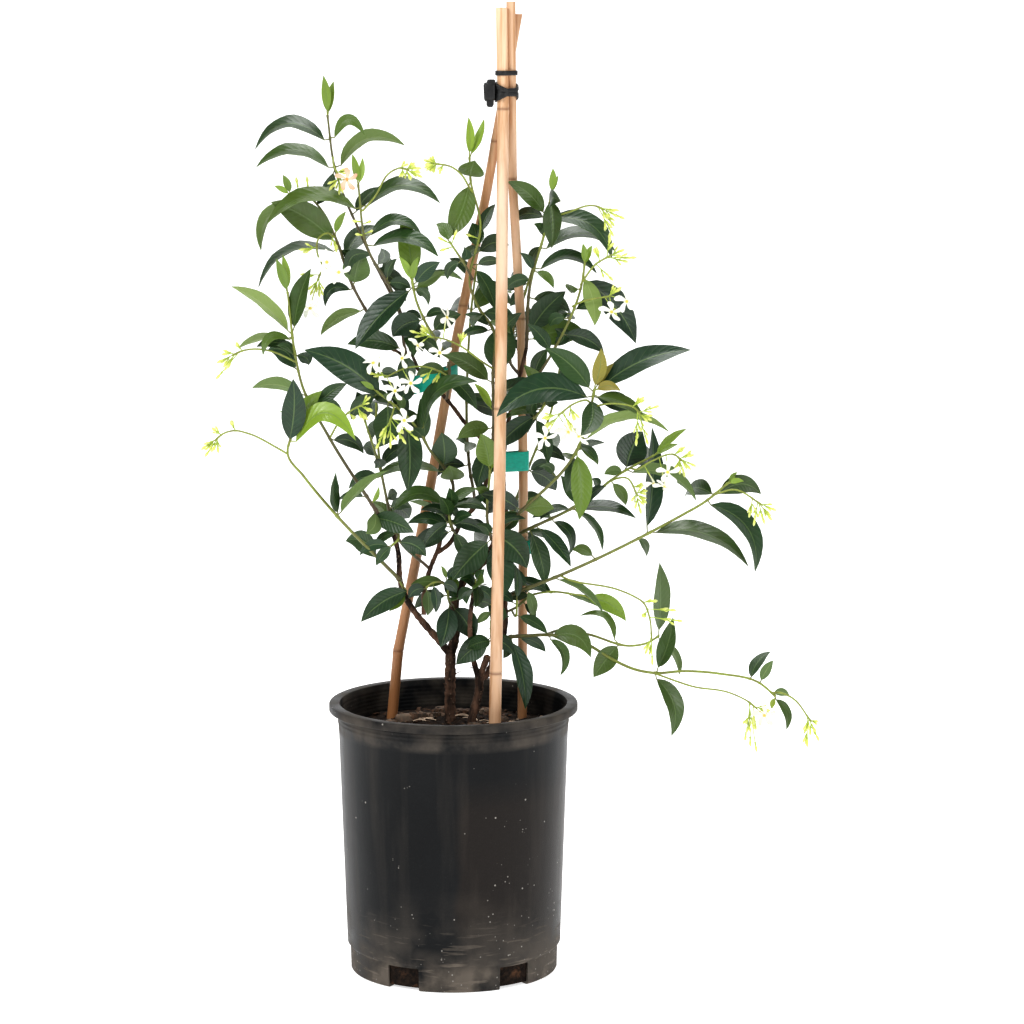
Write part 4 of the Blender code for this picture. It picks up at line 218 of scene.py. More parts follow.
# Leafy stems. host: the node each springs from. stem: readings. radius: at the start and the end in mm.
# leaves: (base across, up, tip across, up, arch, width, lean), in cm. The width is as it looks from the
# front, and below zero where the underside shows. The lean is how far the tip lies behind the base.
# young: the same for the small leaves at the tips. back: how many more leaves grow away from the viewer.
SHOOTS = {
    "shoot_left_low": {
        "host": "wood_left", "radius": (1.8, 1.0),
        "stem": ((-5.35, 42.2, -1.6), (-5.9, 43, -2.3), (-7, 44.2, -2.8), (-9, 46.3, -3.4),
                 (-10.5, 47.7, -3.9), (-12.1, 49.5, -4.4), (-14, 52, -4.9), (-16, 54.2, -5.4),
                 (-17.7, 56.6, -5.8), (-17.3, 58.5, -5.8)),
        "leaves": (
            (-17.6, 57.5, -17.1, 64.7, 0.3, 2.6, -1.0), (-17.4, 58.3, -14.0, 63.4, 0.4, 1.8, 1.5),
            (-17.2, 57.9, -10.4, 58.0, 3.0, 1.9, -2.0), (-12.0, 50.2, -6.9, 54.8, 0.5, -1.2, -1.5),
            (-5.0, 41.6, -10.0, 38.2, 0.5, 2.2, -2.0), (-5.2, 41.3, -6.9, 39.4, 0.1, 1.4, -1.5),
            (-12.3, 49.9, -12.6, 54.5, -0.4, 0.9, -2.5)),
        "young": ((-17.3, 58.5, -18.6, 61.2, 0.8, 0.5, 0.5), (-5.6, 41.2, -8.5, 38.0, 0.1, 0.5, -2.6)),
        "back": 1,
    },
    "shoot_left_mid": {
        "host": "wood_left", "radius": (1.7, 0.9),
        "stem": ((-8.1, 50.1, -2.2), (-9, 51.8, -2.5), (-10, 53.4, -2.8), (-12, 56.5, -3.3),
                 (-13.3, 58.4, -3.6), (-14.8, 61.5, -4.0), (-16.2, 64.2, -4.3), (-16.8, 67, -4.5),
                 (-16.9, 69, -4.6), (-17.3, 71.5, -4.6), (-17.6, 74, -4.6)),
        "leaves": (
            (-17.1, 69.5, -23.6, 74.6, 0.6, -1.7, 0.5), (-16.8, 69.6, -15.1, 76.5, 0.3, 1.9, -0.8),
            (-17.2, 69.1, -20.3, 67.2, 1.2, 0.8, -1.5), (-17.2, 69.2, -22.9, 68.0, 0.5, -0.9, 1.5),
            (-16.7, 67.2, -18.8, 68.3, 0.3, 0.6, -1.8), (-15.5, 62.9, -21.5, 63.7, 0.7, -1.5, 1.0),
            (-14.9, 61.6, -11.3, 64.2, 0.3, 1.5, -1.0), (-8.4, 49.6, -4.2, 48.0, 0.3, 2.2, -3.0),
            (-8.3, 50.4, -9.4, 47.9, -0.5, -1.7, -1.5), (-9.3, 52.0, -12.4, 51.5, 0.4, 0.6, 1.2),
            (-13.2, 58.2, -9.6, 56.6, 0.7, 1.4, 2.0)),
        "young": ((-17.6, 73.8, -18.8, 77.6, 0.1, 1.0, -0.5), (-17.6, 74, -18.1, 78.0, 0.1, 0.8, 0.6),
                  (-8.6, 51.2, -8.0, 53.0, -0.2, 0.5, -1.0)),
        "back": 1,
    },
    "shoot_left_inner": {
        "host": "wood_left", "radius": (1.4, 0.9),
        "stem": ((-6.3, 47.6, -1.9), (-6.6, 49, -1.0), (-6.9, 50.4, -0.9), (-7.6, 54, -1.1),
                 (-8.1, 56, -1.4), (-9, 58.5, -1.8), (-9.5, 60.4, -2.0)),
        "branches": (((-6.45, 48.5, -1.3), (-5.9, 48.1, -2.4), (-5.9, 47.3, -3.2), (-6.6, 46.6, -3.5)),),
        "leaves": (
            (-9.4, 60.0, -10.3, 63.3, 0.2, 1.9, -0.8), (-7.9, 55.2, -4.6, 57.4, 0.5, 1.3, 2.0),
            (-7.7, 54.2, -11.2, 52.8, 0.6, 1.2, 2.5), (-6.6, 46.6, -10.1, 45.5, 0.7, 1.2, -0.5),
            (-6.5, 46.7, -8.3, 44.4, 0.2, 1.2, -0.8), (-6.0, 47.0, -2.9, 45.4, 0.5, 1.9, -1.0)),
        "young": ((-9.5, 60.4, -10.1, 61.9, 0.1, 0.5, 0.3), (-9.4, 60.3, -8.9, 62.0, 0.1, 0.5, 0.8)),
        "back": 1,
    },
    "shoot_base_front": {
        "host": "wood_left", "radius": (1.3, 1.0),
        "stem": ((0.1, 39.8, 0.5), (-0.2, 40.0, -0.4), (-0.4, 40.4, -1.1), (-0.5, 41.4, -1.4),
                 (-0.65, 42.8, -1.5)),
        "branches": (((-0.55, 41.8, -1.4), (-1.3, 42.6, -1.9), (-2.2, 42.5, -2.1), (-2.9, 42.0, -2.2)),),
        "leaves": (
            (-0.5, 40.2, -1.4, 35.4, -0.2, 2.3, -1.2), (-0.1, 39.9, 2.2, 36.2, 0.3, 2.6, -1.0),
            (-0.6, 42.6, 0.6, 44.4, 0.2, 0.8, -1.2), (-2.9, 42.0, -2.8, 38.9, 0.2, 1.4, -1.0),
            (-2.2, 42.5, -1.9, 39.2, 0.2, 1.1, -1.3), (-1.3, 42.5, 0.4, 41.4, 0.3, 1.2, -0.8),
            (-2.9, 42.1, -4.8, 40.8, 0.4, 1.4, -0.8)),
        "young": ((-0.65, 42.8, -1.3, 44.4, 0.1, 0.5, -0.2),),
        "back": 0,
    },
    "shoot_base_mid": {
        "host": "wood_right", "radius": (1.4, 1.1),
        "stem": ((4.5, 34.9, 0.8), (4.3, 35.8, -0.1), (4.1, 36.9, -0.7), (4.1, 38.3, -1.0),
                 (4.3, 40.2, -1.1)),
        "leaves": (
            (3.8, 36.5, 0.3, 33.5, 0.3, 2.6, -1.5), (4.2, 40.2, 2.1, 40.0, 0.4, 1.5, -1.0),
            (4.1, 39.4, 2.5, 38.0, 0.1, -0.9, 0.5), (4.3, 40.3, 5.5, 38.4, 0.2, 1.2, 1.0)),
        "young": (),
        "back": 1,
    },
    "shoot_base_top": {
        "host": "wood_right", "radius": (1.3, 1.0),
        "stem": ((2.2, 41.6, -2.0), (2.3, 42.2, -2.4), (2.4, 42.9, -2.6)),
        "leaves": (
            (2.2, 41.9, 0.7, 40.6, 0.3, 1.3, 0.8), (2.3, 42.1, 4.1, 40.7, 0.3, 1.4, 1.0),
            (2.3, 42.6, 0.9, 44.4, 0.1, 1.2, 1.2), (2.4, 42.8, 3.4, 44.0, 0.1, 0.9, -0.8)),
        "young": (),
        "back": 0,
    },
    "shoot_stalk": {
        "host": "wood_left", "radius": (1.5, 1.0),
        "stem": ((4.35, 46.9, -0.3), (4.1, 47.5, -1.3), (3.75, 49, -1.9), (3.7, 51, -2.2),
                 (3.85, 53, -2.4), (4.0, 54.8, -2.5)),
        "leaves": (
            (3.9, 47.3, -0.1, 42.8, 0.2, 3.0, -1.8), (4.2, 47.2, 5.5, 41.0, 0.3, 3.0, -1.2),
            (4.0, 54.8, 3.0, 58.8, 0.2, 2.5, -0.8), (4.2, 48.2, 8.0, 44.1, 0.6, 3.2, -0.4),
            (3.8, 50.6, 2.6, 53.6, 0.2, 1.2, 1.2)),
        "young": ((4.0, 54.6, 4.9, 56.8, 0.1, 0.6, 0.8),),
        "back": 1,
    },
    "shoot_centre": {
        "host": "wood_left", "radius": (1.4, 1.0),
        "stem": ((0.3, 48.0, 0.4), (0.0, 48.3, -0.7), (-0.3, 49.2, -1.4), (-0.4, 50.3, -1.8),
                 (-0.4, 51.4, -2.0)),
        "leaves": (
            (-0.3, 48.6, -4.9, 49.0, 0.7, 1.2, -0.5), (-0.1, 48.2, -4.3, 46.0, 0.5, 2.0, 0.6),
            (-0.2, 49.0, -4.6, 51.4, 0.4, -0.9, 2.6), (-0.1, 49.2, 3.5, 47.8, 0.5, 1.4, -0.6),
            (-0.1, 48.3, 1.6, 44.6, 0.2, 1.5, -1.0), (-0.4, 51.2, -6.5, 50.3, 1.5, 1.3, -0.8),
            (-0.3, 51.3, 2.6, 52.8, 0.3, 1.1, -0.6)),
        "young": (),
        "back": 1,
    },
    "shoot_mid_low": {
        "host": "wood_left", "radius": (1.6, 0.9),
        "stem": ((-0.3, 50.8, 1.2), (-0.15, 52, 1.0), (0, 53.3, 0.5), (-0.5, 54.4, -0.1),
                 (-1.2, 55.3, -0.7), (-2.6, 57.2, -1.7), (-3.5, 58.9, -2.4), (-5.3, 61, -3.2),
                 (-6.9, 62.5, -3.8), (-8.2, 63.4, -4.2)),
        "leaves": (
            (-7.2, 62.9, -15.9, 67.8, 0.8, 3.2, -1.5), (-6.8, 62.3, -8.0, 57.3, -0.4, 3.0, -0.5),
            (-5.1, 60.5, -4.9, 52.4, 0.3, 2.7, -1.4), (-3.5, 59.2, 2.7, 64.4, 2.0, 1.5, -1.5),
            (-3.2, 57.8, -3.5, 62.6, 0.2, 1.0, -1.8), (-0.9, 55.1, -1.2, 58.9, 0.2, 2.8, -1.0),
            (-0.2, 53.5, -0.4, 55.3, 0.2, 2.6, -2.8), (-1.0, 54.6, -8.5, 53.9, 0.9, 1.3, -0.8),
            (-8.0, 63.3, -10.9, 60.3, 0.5, 1.6, 1.6), (-4.6, 60.3, -7.7, 64.6, 0.4, 1.5, 2.0)),
        "young": ((-8.2, 63.4, -9.9, 64.4, 0.1, 0.6, -0.6),),
        "back": 1,
    },
    "shoot_crown_mid": {
        "host": "wood_left", "radius": (1.6, 0.9),
        "stem": ((3.5, 53.6, 0.2), (4.0, 55, -0.6), (4.3, 58, -1.0), (4.4, 61, -1.2), (4.3, 65, -1.3),
                 (4.2, 70.3, -1.2), (3, 72, -1.1), (2, 74.2, -1.0), (2.2, 76.5, -0.9),
                 (2.9, 79.5, -0.8), (3, 81.5, -0.8), (2.8, 83, -0.7), (2.3, 84.5, -0.6),
                 (1.95, 86, -0.6), (1.85, 88.4, -0.6)),
        "branches": (((2.1, 75.4, -1.0), (1.4, 76.8, -2.0), (0.5, 78.5, -2.4), (-0.3, 79.4, -2.6)),),
        "buds": ((0.5, 80.7), (1.4, 80.2), (-1.6, 79.9), (-1.4, 78.4)),
        "leaves": (
            (2.1, 86.2, 2.4, 88.0, 0.1, 2.8, -3.0), (1.9, 85.8, -0.5, 79.8, -0.3, 2.6, -1.2),
            (2.8, 78.6, 2.1, 81.4, 0.2, 1.8, 1.0), (2.3, 76.8, 4.6, 72.0, 0.3, 1.6, -0.8),
            (3.0, 80.0, 4.6, 83.4, 0.2, 1.2, 0.6), (4.4, 65.3, 6.2, 70.6, 0.2, 3.4, 0.4),
            (4.1, 70.3, 1.3, 71.6, 0.3, 0.8, -0.8), (4.2, 70.0, 0.9, 69.2, 0.3, 0.9, -1.4),
            (4.2, 64.2, -1.0, 67.3, 0.5, 1.9, -1.2), (4.3, 59.4, 0.5, 58.2, 0.5, 1.8, -1.4),
            (4.3, 57.6, 2.6, 52.8, 0.2, 2.2, -0.8), (4.3, 62.0, 7.6, 64.6, 0.4, 1.6, 1.4),
            (4.2, 68.4, 7.4, 71.8, 0.3, 1.5, 1.6)),
        "young": ((1.85, 88.4, 1.75, 92.6, 0.1, 0.9, -0.4), (1.85, 88.3, 3.4, 92.4, -0.2, 0.8, 0.6),
                  (4.3, 61.2, 2.3, 64.2, 0.2, 0.8, -1.4)),
        "back": 3,
    },
    "shoot_mid_left": {
        "host": "wood_left", "radius": (1.4, 1.0),
        "stem": ((-0.7, 62.4, 0.7), (-0.5, 63.4, -0.3), (-0.3, 64.8, -0.8), (-0.4, 66.2, -1.1),
                 (-1.1, 67.6, -1.3), (-2, 69.2, -1.5), (-3, 71, -1.7), (-3.9, 73.2, -1.8),
                 (-4.3, 75.2, -1.9)),
        "leaves": (
            (-4.1, 74.7, -10.4, 67.9, 0.5, 2.4, -1.8), (-4.3, 75.2, -5.4, 82.0, 0.3, 2.4, 0.8),
            (-4.2, 74.8, -1.3, 77.2, 0.3, 1.7, -0.8), (-4.1, 74.4, -2.6, 72.6, 0.6, 0.9, -1.2),
            (-4.1, 74.6, 1.1, 75.3, 0.9, -0.8, 1.4), (-3.1, 71.2, -6.4, 69.2, 0.5, 2.6, 0.8),
            (-2.2, 69.8, 0.9, 71.6, 0.4, 1.9, 1.0), (-0.6, 66.6, -4.2, 69.4, 0.4, 1.6, 1.6),
            (-0.4, 65.0, 2.6, 61.4, 0.3, 1.6, -1.2)),
        "young": ((-4.3, 75.2, -5.7, 77.8, 0.2, 0.8, -0.8), (-4.3, 75.1, -3.6, 77.8, 0.2, 0.8, -1.0)),
        "back": 1,
    },
    "shoot_crown_left_2": {
        "host": "wood_left", "radius": (1.5, 0.9),
        "stem": ((-4.9, 66.9, 0.7), (-5.2, 68.4, -0.4), (-5.6, 72, -0.7), (-6.5, 74.2, -0.9),
                 (-7.6, 75.9, -1.1), (-8.3, 77, -1.4), (-9, 78.6, -1.7), (-9.4, 80.5, -2.0),
                 (-9.6, 83, -2.3), (-10, 85.5, -2.5)),
        "leaves": (
            (-9.6, 83.0, -19.8, 81.2, 2.1, 1.0, -0.5), (-9.5, 83.1, -1.3, 83.5, 2.0, 1.2, -0.6),
            (-9.0, 79.2, -1.5, 77.8, 1.4, 1.1, -1.2), (-9.2, 80.0, -3.3, 80.2, 1.4, 1.0, 1.4),
            (-5.2, 67.6, -5.4, 63.5, 0.3, 2.0, -1.4), (-5.2, 67.9, -11.3, 68.4, 0.6, 1.9, -2.2),
            (-7.0, 75.2, -5.9, 77.6, 0.3, 0.9, -1.0), (-5.6, 71.8, -3.2, 67.6, 0.3, 1.9, 1.6)),
        "young": ((-10, 85.5, -10.6, 88.7, 0.1, 0.8, -0.3), (-10, 85.4, -9.5, 88.3, 0.1, 0.7, 0.5)),
        "buds": ((-10.7, 81.6), (-8.6, 81.6), (-10.4, 80.2), (-8.4, 80.6)),
        "back": 1,
    },
    "shoot_crown_left": {
        "host": "wood_left", "radius": (1.5, 0.9),
        "stem": ((-3.6, 65.6, 0.8), (-4.3, 67.2, 1.5), (-5.2, 70.5, 1.4), (-6.3, 72.7, 1.1),
                 (-7.1, 74.3, 0.9), (-8, 76.4, 0.6), (-9.4, 79.4, 0.2), (-10.3, 82, -0.2),
                 (-11, 84, -0.4), (-11.9, 86, -0.6), (-12.5, 87.4, -0.8), (-12.9, 90.3, -0.9),
                 (-13.2, 92.8, -1.0)),
        "leaves": (
            (-12.9, 90.3, -20.9, 89.2, 2.2, 1.2, 0.4), (-12.9, 90.4, -9.2, 90.6, 1.8, 1.2, -0.8),
            (-12.5, 87.3, -20.8, 87.3, 1.7, 1.1, -0.6), (-12.4, 87.3, -5.0, 89.6, 1.9, -1.4, 0.6),
            (-12.5, 87.3, -14.5, 83.3, -0.3, 1.1, -1.2), (-10.4, 82.3, -7.6, 85.2, 0.3, 1.2, 2.0),
            (-8.2, 77.0, -5.0, 73.0, 0.5, 1.5, 2.2)),
        "young": ((-13.2, 92.8, -13.6, 97.0, 0.1, 1.0, -0.4), (-13.2, 92.6, -12.5, 96.4, -0.1, 0.9, 0.5)),
        "back": 1,
    },
    "shoot_left_upper": {
        "host": "wood_left", "radius": (1.5, 0.9),
        "stem": ((-8.3, 70.4, 0.6), (-9.5, 72.4, 0.4), (-10.7, 74.8, 0.1), (-11.8, 77.4, -0.3),
                 (-12.6, 80.2, -0.7), (-13.8, 82.6, -1.1), (-15.4, 84.2, -1.3), (-17.2, 84.4, -1.5)),
        "leaves": (
            (-12.5, 79.2, -19.3, 83.6, 0.6, 3.2, -2.0), (-15.6, 83.8, -22.2, 76.5, 1.6, 1.1, -0.8),
            (-12.1, 78.6, -20.7, 74.5, 2.0, 0.7, -0.6), (-10.6, 74.5, -13.6, 72.4, 1.2, 1.1, -1.0),
            (-9.4, 72.2, -14.1, 69.4, 0.6, -1.3, 0.8), (-10.5, 74.6, -9.4, 78.4, 0.2, 3.0, -1.4),
            (-12.2, 78.8, -9.6, 76.0, 0.4, 1.4, 1.6)),
        "young": ((-12.6, 80.0, -11.3, 82.6, 0.2, 0.8, -1.0),
                  (-17.2, 84.4, -18.0, 86.5, 0.1, 0.8, -0.4), (-17.2, 84.4, -18.9, 85.3, 0.1, 0.6, 0.6)),
        "buds": ((-16.6, 86.3), (-15.4, 86.4), (-14.6, 85.4)),
        "back": 1,
    },
    "shoot_crown_right": {
        "host": "wood_right", "radius": (1.6, 0.9),
        "stem": ((7.9, 68, 0.2), (8.1, 72, 0.2), (8.3, 74.8, 0.3), (8.8, 76.4, 0.3), (9.4, 78.5, 0.3),
                 (9.9, 80.7, 0.3), (10.1, 82, 0.2), (10.5, 84.6, 0.2)),
        "leaves": (
            (10.1, 82.3, 5.8, 85.8, 0.5, 1.9, -1.4), (10.0, 82.1, 6.2, 81.2, 0.8, 1.2, 1.6),
            (10.3, 84.2, 10.6, 78.4, 0.3, 2.2, -1.6), (10.2, 82.2, 17.0, 77.6, 1.7, 1.7, -0.8),
            (9.5, 78.6, 17.5, 78.2, 1.8, 1.0, 0.8), (8.9, 76.5, 15.4, 76.0, 1.6, 1.0, -0.8),
            (8.8, 76.3, 10.8, 74.4, 0.4, 0.9, -1.2), (8.7, 76.2, 7.2, 78.2, 0.3, 0.9, -1.2),
            (8.0, 69.6, 12.1, 74.1, 0.3, 2.6, 0.8), (8.0, 68.9, 14.4, 69.4, 0.6, 2.8, 1.4),
            (8.2, 73.4, 12.6, 71.8, 0.6, 1.6, 2.4)),
        "young": ((10.5, 84.6, 10.7, 87.2, 0.1, 0.8, -0.3), (10.5, 84.5, 11.3, 86.4, 0.1, 0.6, 0.6)),
        "back": 1,
    },
    "shoot_right_2": {
        "host": "wood_right", "radius": (1.4, 0.9),
        "stem": ((6.7, 62.4, 0.9), (7.6, 63.2, 0.2), (9.3, 65.6, -0.7), (10.9, 67.9, -1.2),
                 (11.8, 69.8, -1.5), (12.5, 71.7, -1.7), (13.1, 73.5, -1.8), (13.9, 75.4, -1.9),
                 (14.1, 77, -2.0)),
        "leaves": (
            (13.8, 76.0, 15.2, 70.4, 0.4, -1.9, -1.4), (13.9, 75.6, 19.6, 68.5, 0.7, 2.4, 0.6),
            (12.6, 71.9, 19.0, 71.3, 0.9, 1.1, -1.2), (13.2, 73.5, 23.1, 68.8, 1.6, 1.4, 1.0),
            (8.6, 64.6, 10.2, 67.9, 0.3, 1.6, 1.8), (10.6, 67.5, 8.0, 70.6, 0.3, 1.5, -1.6),
            (11.7, 69.6, 16.2, 67.4, 0.6, 1.7, 2.2)),
        "young": ((14.1, 77, 13.9, 79.2, 0.1, 0.7, -0.4), (14.1, 76.9, 14.9, 79.0, 0.1, 0.7, 0.6)),
        "back": 1,
    },
    "shoot_right_inner": {
        "host": "wood_right", "radius": (1.3, 1.0),
        "stem": ((5.9, 58.6, 1.4), (6.9, 59.2, 0.5), (8.2, 60.2, 0.1), (9.4, 61.2, -0.3), (10.2, 62.6, -0.6)),
        "leaves": (
            (9.0, 61.0, 4.6, 57.0, 0.3, 2.2, -1.2), (8.8, 60.8, 10.2, 55.4, 0.3, 1.5, -0.8),
            (9.9, 62.2, 13.8, 65.6, 0.4, 1.6, 2.0), (10.1, 62.4, 7.6, 66.2, 0.3, 1.6, -1.0)),
        "young": (),
        "back": 1,
    },
    "shoot_right_front": {
        "host": "wood_left", "radius": (1.7, 1.0),
        "stem": ((5, 48.2, -0.5), (5.9, 49, -1.2), (7.6, 50.6, -2.3), (9.7, 53.1, -3.6),
                 (11.5, 55, -4.6), (13.4, 57.1, -5.4), (14, 58.5, -5.7), (14.6, 60.5, -5.9),
                 (15, 62.4, -6.0), (15.2, 63.6, -6.1)),
        "leaves": (
            (14.9, 62.9, 4.7, 60.6, 1.9, 3.0, -1.2), (15.0, 63.3, 9.9, 68.0, 0.5, 2.5, 0.8),
            (14.9, 62.6, 13.6, 58.2, -0.3, 2.3, -1.8), (15.1, 63.4, 25.5, 67.8, 0.9, 2.2, 0.5),
            (15.1, 63.0, 20.5, 60.5, 0.5, 1.2, -1.5), (14.0, 58.2, 23.2, 59.0, 1.8, -1.4, -0.8),
            (15.0, 62.8, 19.4, 60.8, 0.6, 2.0, 2.2), (13.3, 57.0, 13.6, 49.4, 0.3, 2.3, -1.2),
            (13.0, 56.8, 12.2, 52.4, 0.2, 1.6, 1.2), (7.5, 50.4, 3.0, 52.2, 0.4, 2.0, -1.4),
            (7.4, 50.4, 10.9, 50.6, 0.4, 2.2, -1.2)),
        "young": ((15.2, 63.6, 15.9, 68.0, 0.2, 1.5, -0.6), (15.2, 63.6, 18.0, 63.4, 0.5, 1.1, -1.6),
                  (15.2, 63.6, 17.3, 66.4, 0.2, 0.8, 1.0)),
        "back": 1,
    },
    "shoot_right_mid": {
        "host": "wood_right", "radius": (1.7, 0.9),
        "stem": ((6.0, 47.2, 1.4), (7.2, 47.9, 0.5), (8.4, 48.6, 0.1), (10.5, 49.6, -0.5),
                 (13.4, 51, -1.3), (15.9, 52.7, -2.0), (17.2, 53.8, -2.3), (18.6, 54.8, -2.6),
                 (20.4, 55.8, -2.9), (21.6, 56.4, -3.1)),
        "leaves": (
            (18.3, 54.8, 20.4, 59.0, 0.3, 3.4, 1.6), (18.7, 54.8, 26.2, 51.5, 1.4, -1.5, -1.0),
            (12.6, 50.7, 19.7, 49.6, 0.7, 0.9, -0.8), (12.9, 50.9, 16.1, 46.1, 0.7, 0.7, -1.6),
            (10.6, 49.7, 12.5, 45.5, 1.0, 1.0, 0.8), (8.9, 49.0, 12.7, 44.3, 0.3, 1.3, -1.2),
            (8.3, 48.5, 9.9, 42.2, 0.3, 1.9, -0.7), (13.2, 51.1, 11.6, 54.2, 0.3, 1.4, 1.4),
            (17.0, 53.8, 18.6, 51.0, 0.3, 1.2, 1.6)),
        "young": ((21.6, 56.4, 25.1, 59.3, 0.2, 0.7, -0.8), (21.6, 56.4, 24.2, 57.6, 0.2, 0.6, 0.8)),
        "back": 1,
    },
    "shoot_right_long": {
        "host": "wood_right", "radius": (1.7, 1.1),
        "stem": ((5.6, 40.8, 1.1), (6.9, 41.5, 0.3), (8, 42, -0.1), (9, 42.3, -0.4), (10.3, 42.8, -0.6),
                 (11, 43.1, -0.7), (13, 44.1, -1), (15, 45.2, -1.3), (17, 46.4, -1.7),
                 (20.7, 48.1, -2.3), (25, 50.1, -3), (26.9, 51.2, -3.3), (28.4, 52.4, -3.6),
                 (29.6, 53.4, -3.8)),
        "leaves": (
            (20.9, 48.5, 21.4, 59.4, 0.5, 1.9, 2.6), (21.2, 48.2, 31.9, 44.3, 1.7, 1.4, -1.0),
            (27.5, 51.5, 32.6, 43.7, 1.9, 1.8, -0.6), (28.2, 52.3, 33.2, 52.2, 1.1, 2.1, 0.8),
            (11.1, 43.0, 16.2, 39.2, 0.6, -1.0, -1.0), (8.0, 42.0, 8.6, 38.6, 0.2, 1.1, 1.0)),
        "young": ((29.6, 53.4, 31.3, 53.6, 0.2, 0.6, -0.6), (29.6, 53.4, 30.6, 54.6, 0.1, 0.5, 0.6)),
        "back": 1,
    },
    "shoot_right_thin": {
        "host": "wood_right", "radius": (1.3, 0.9),
        "stem": ((5.5, 39.2, 1.2), (6.6, 39.7, 1.7), (7.6, 40.3, 1.7), (8.6, 41.2, 1.4),
                 (10, 41.5, 1.2), (12, 41.4, 1.0), (14.2, 41.1, 0.8)),
        "branches": (((6.3, 39.55, 1.55), (6.6, 39.0, 0.4), (6.8, 38.9, -0.5), (6.9, 39.8, -0.9),
                      (6.9, 40.6, -1.0)),),
        "leaves": ((12.4, 41.4, 15.7, 39.9, 0.2, -0.8, 0.6), (7.7, 40.4, 8.9, 38.6, 0.2, 0.9, -1.0),
                   (6.8, 39.0, 10.2, 36.9, 0.3, 1.1, -1.0), (6.9, 40.5, 6.6, 44.6, 0.2, 0.9, 0.8)),
        "young": ((14.2, 41.1, 18.7, 38.3, 0.7, 1.8, -0.6),),
        "back": 1,
    },
    "shoot_right_low": {
        "host": "wood_right", "radius": (1.7, 1.0),
        "stem": ((5.2, 36.4, 1.2), (6.3, 36.6, 0.5), (8, 36.7, 0.2), (10.3, 36.8, 0.1),
                 (12.5, 36.5, 0.3), (14.8, 35.6, 0.2), (16.9, 34.3, 0), (18.8, 33.4, -0.3),
                 (20, 32.9, -0.6), (21.8, 32.6, -0.9), (25, 32.8, -1.5), (29, 32.5, -2.1),
                 (31, 32, -2.4), (33.2, 31.5, -2.7), (35, 30, -2.9)),
        "branches": (((10.0, 36.8, 0.15), (11.4, 37.3, 1.2), (14.4, 36.9, 1.2), (17, 36.1, 0.9),
                      (19.5, 35.6, 0.6), (21, 35.9, 0.5), (22.3, 36.7, 0.4)),),
        "leaves": (
            (10.2, 36.9, 14.9, 34.3, 1.3, 2.3, -1.6), (10.4, 36.8, 11.6, 32.3, 1.0, -1.0, -1.2),
            (21.9, 32.7, 23.7, 25.6, 1.1, 1.9, -1.2), (22.0, 32.7, 23.8, 38.7, -0.3, 1.7, -1.0),
            (33.3, 31.5, 34.7, 34.0, 0.1, -1.1, 0.8), (34.6, 30.4, 36.5, 30.0, 0.3, -0.9, 0.8),
            (34.9, 30.1, 36.2, 26.3, 0.6, 0.9, -0.6), (6.3, 36.6, 7.8, 28.6, 0.4, 1.8, -1.6),
            (6.2, 36.6, 5.4, 34.2, -0.2, 1.1, -0.8), (7.0, 36.7, 10.0, 34.9, 0.4, 1.2, 1.2),
            (18.1, 35.9, 15.2, 32.1, 0.1, 2.3, -1.4), (22.3, 36.8, 22.3, 44.7, 0.1, 1.9, -0.6),
            (22.2, 36.7, 24.5, 32.4, 0.6, -0.9, 1.2)),
        "young": ((18.0, 36.0, 13.7, 38.9, 1.5, 0.6, 0.6), (35, 30, 34.6, 28.6, 0.1, 0.6, -0.4)),
        "back": 1,
    },
}

# Stems behind, which the front view shows only through the gaps: host, stem and number of leaves
BACK_STEMS = {
    "shoot_back_left": ("wood_left", ((-2.5, 44, -0.2), (-3.9, 45.2, 1.4), (-6, 47.6, 4.6),
                                      (-7.2, 52, 6.5), (-8, 57, 7.6), (-8.2, 62, 8.2), (-7.8, 67, 8.4)), 5),
    "shoot_back_mid": ("wood_left", ((2.3, 50.8, 0), (2.3, 51.8, 1.6), (1.8, 55, 4), (1.5, 60, 6),
                                     (1.6, 66, 7), (2, 72, 7.2), (2.6, 77, 6.8)), 6),
    "shoot_back_right": ("wood_right", ((5.7, 42.6, 1.1), (5.5, 43.6, 2.8), (5.4, 46.4, 5.0),
                                        (6.6, 51, 7.2), (8.5, 56, 8.6), (10.5, 61, 9.2), (11.5, 66, 9.2)), 5),
    "shoot_back_crown": ("wood_right", ((7.2, 65, 0.6), (6.2, 66.4, 2.4), (6.4, 69.6, 4.6),
                                        (7.6, 73.4, 5.8), (8.8, 77.4, 6.4)), 4),
}

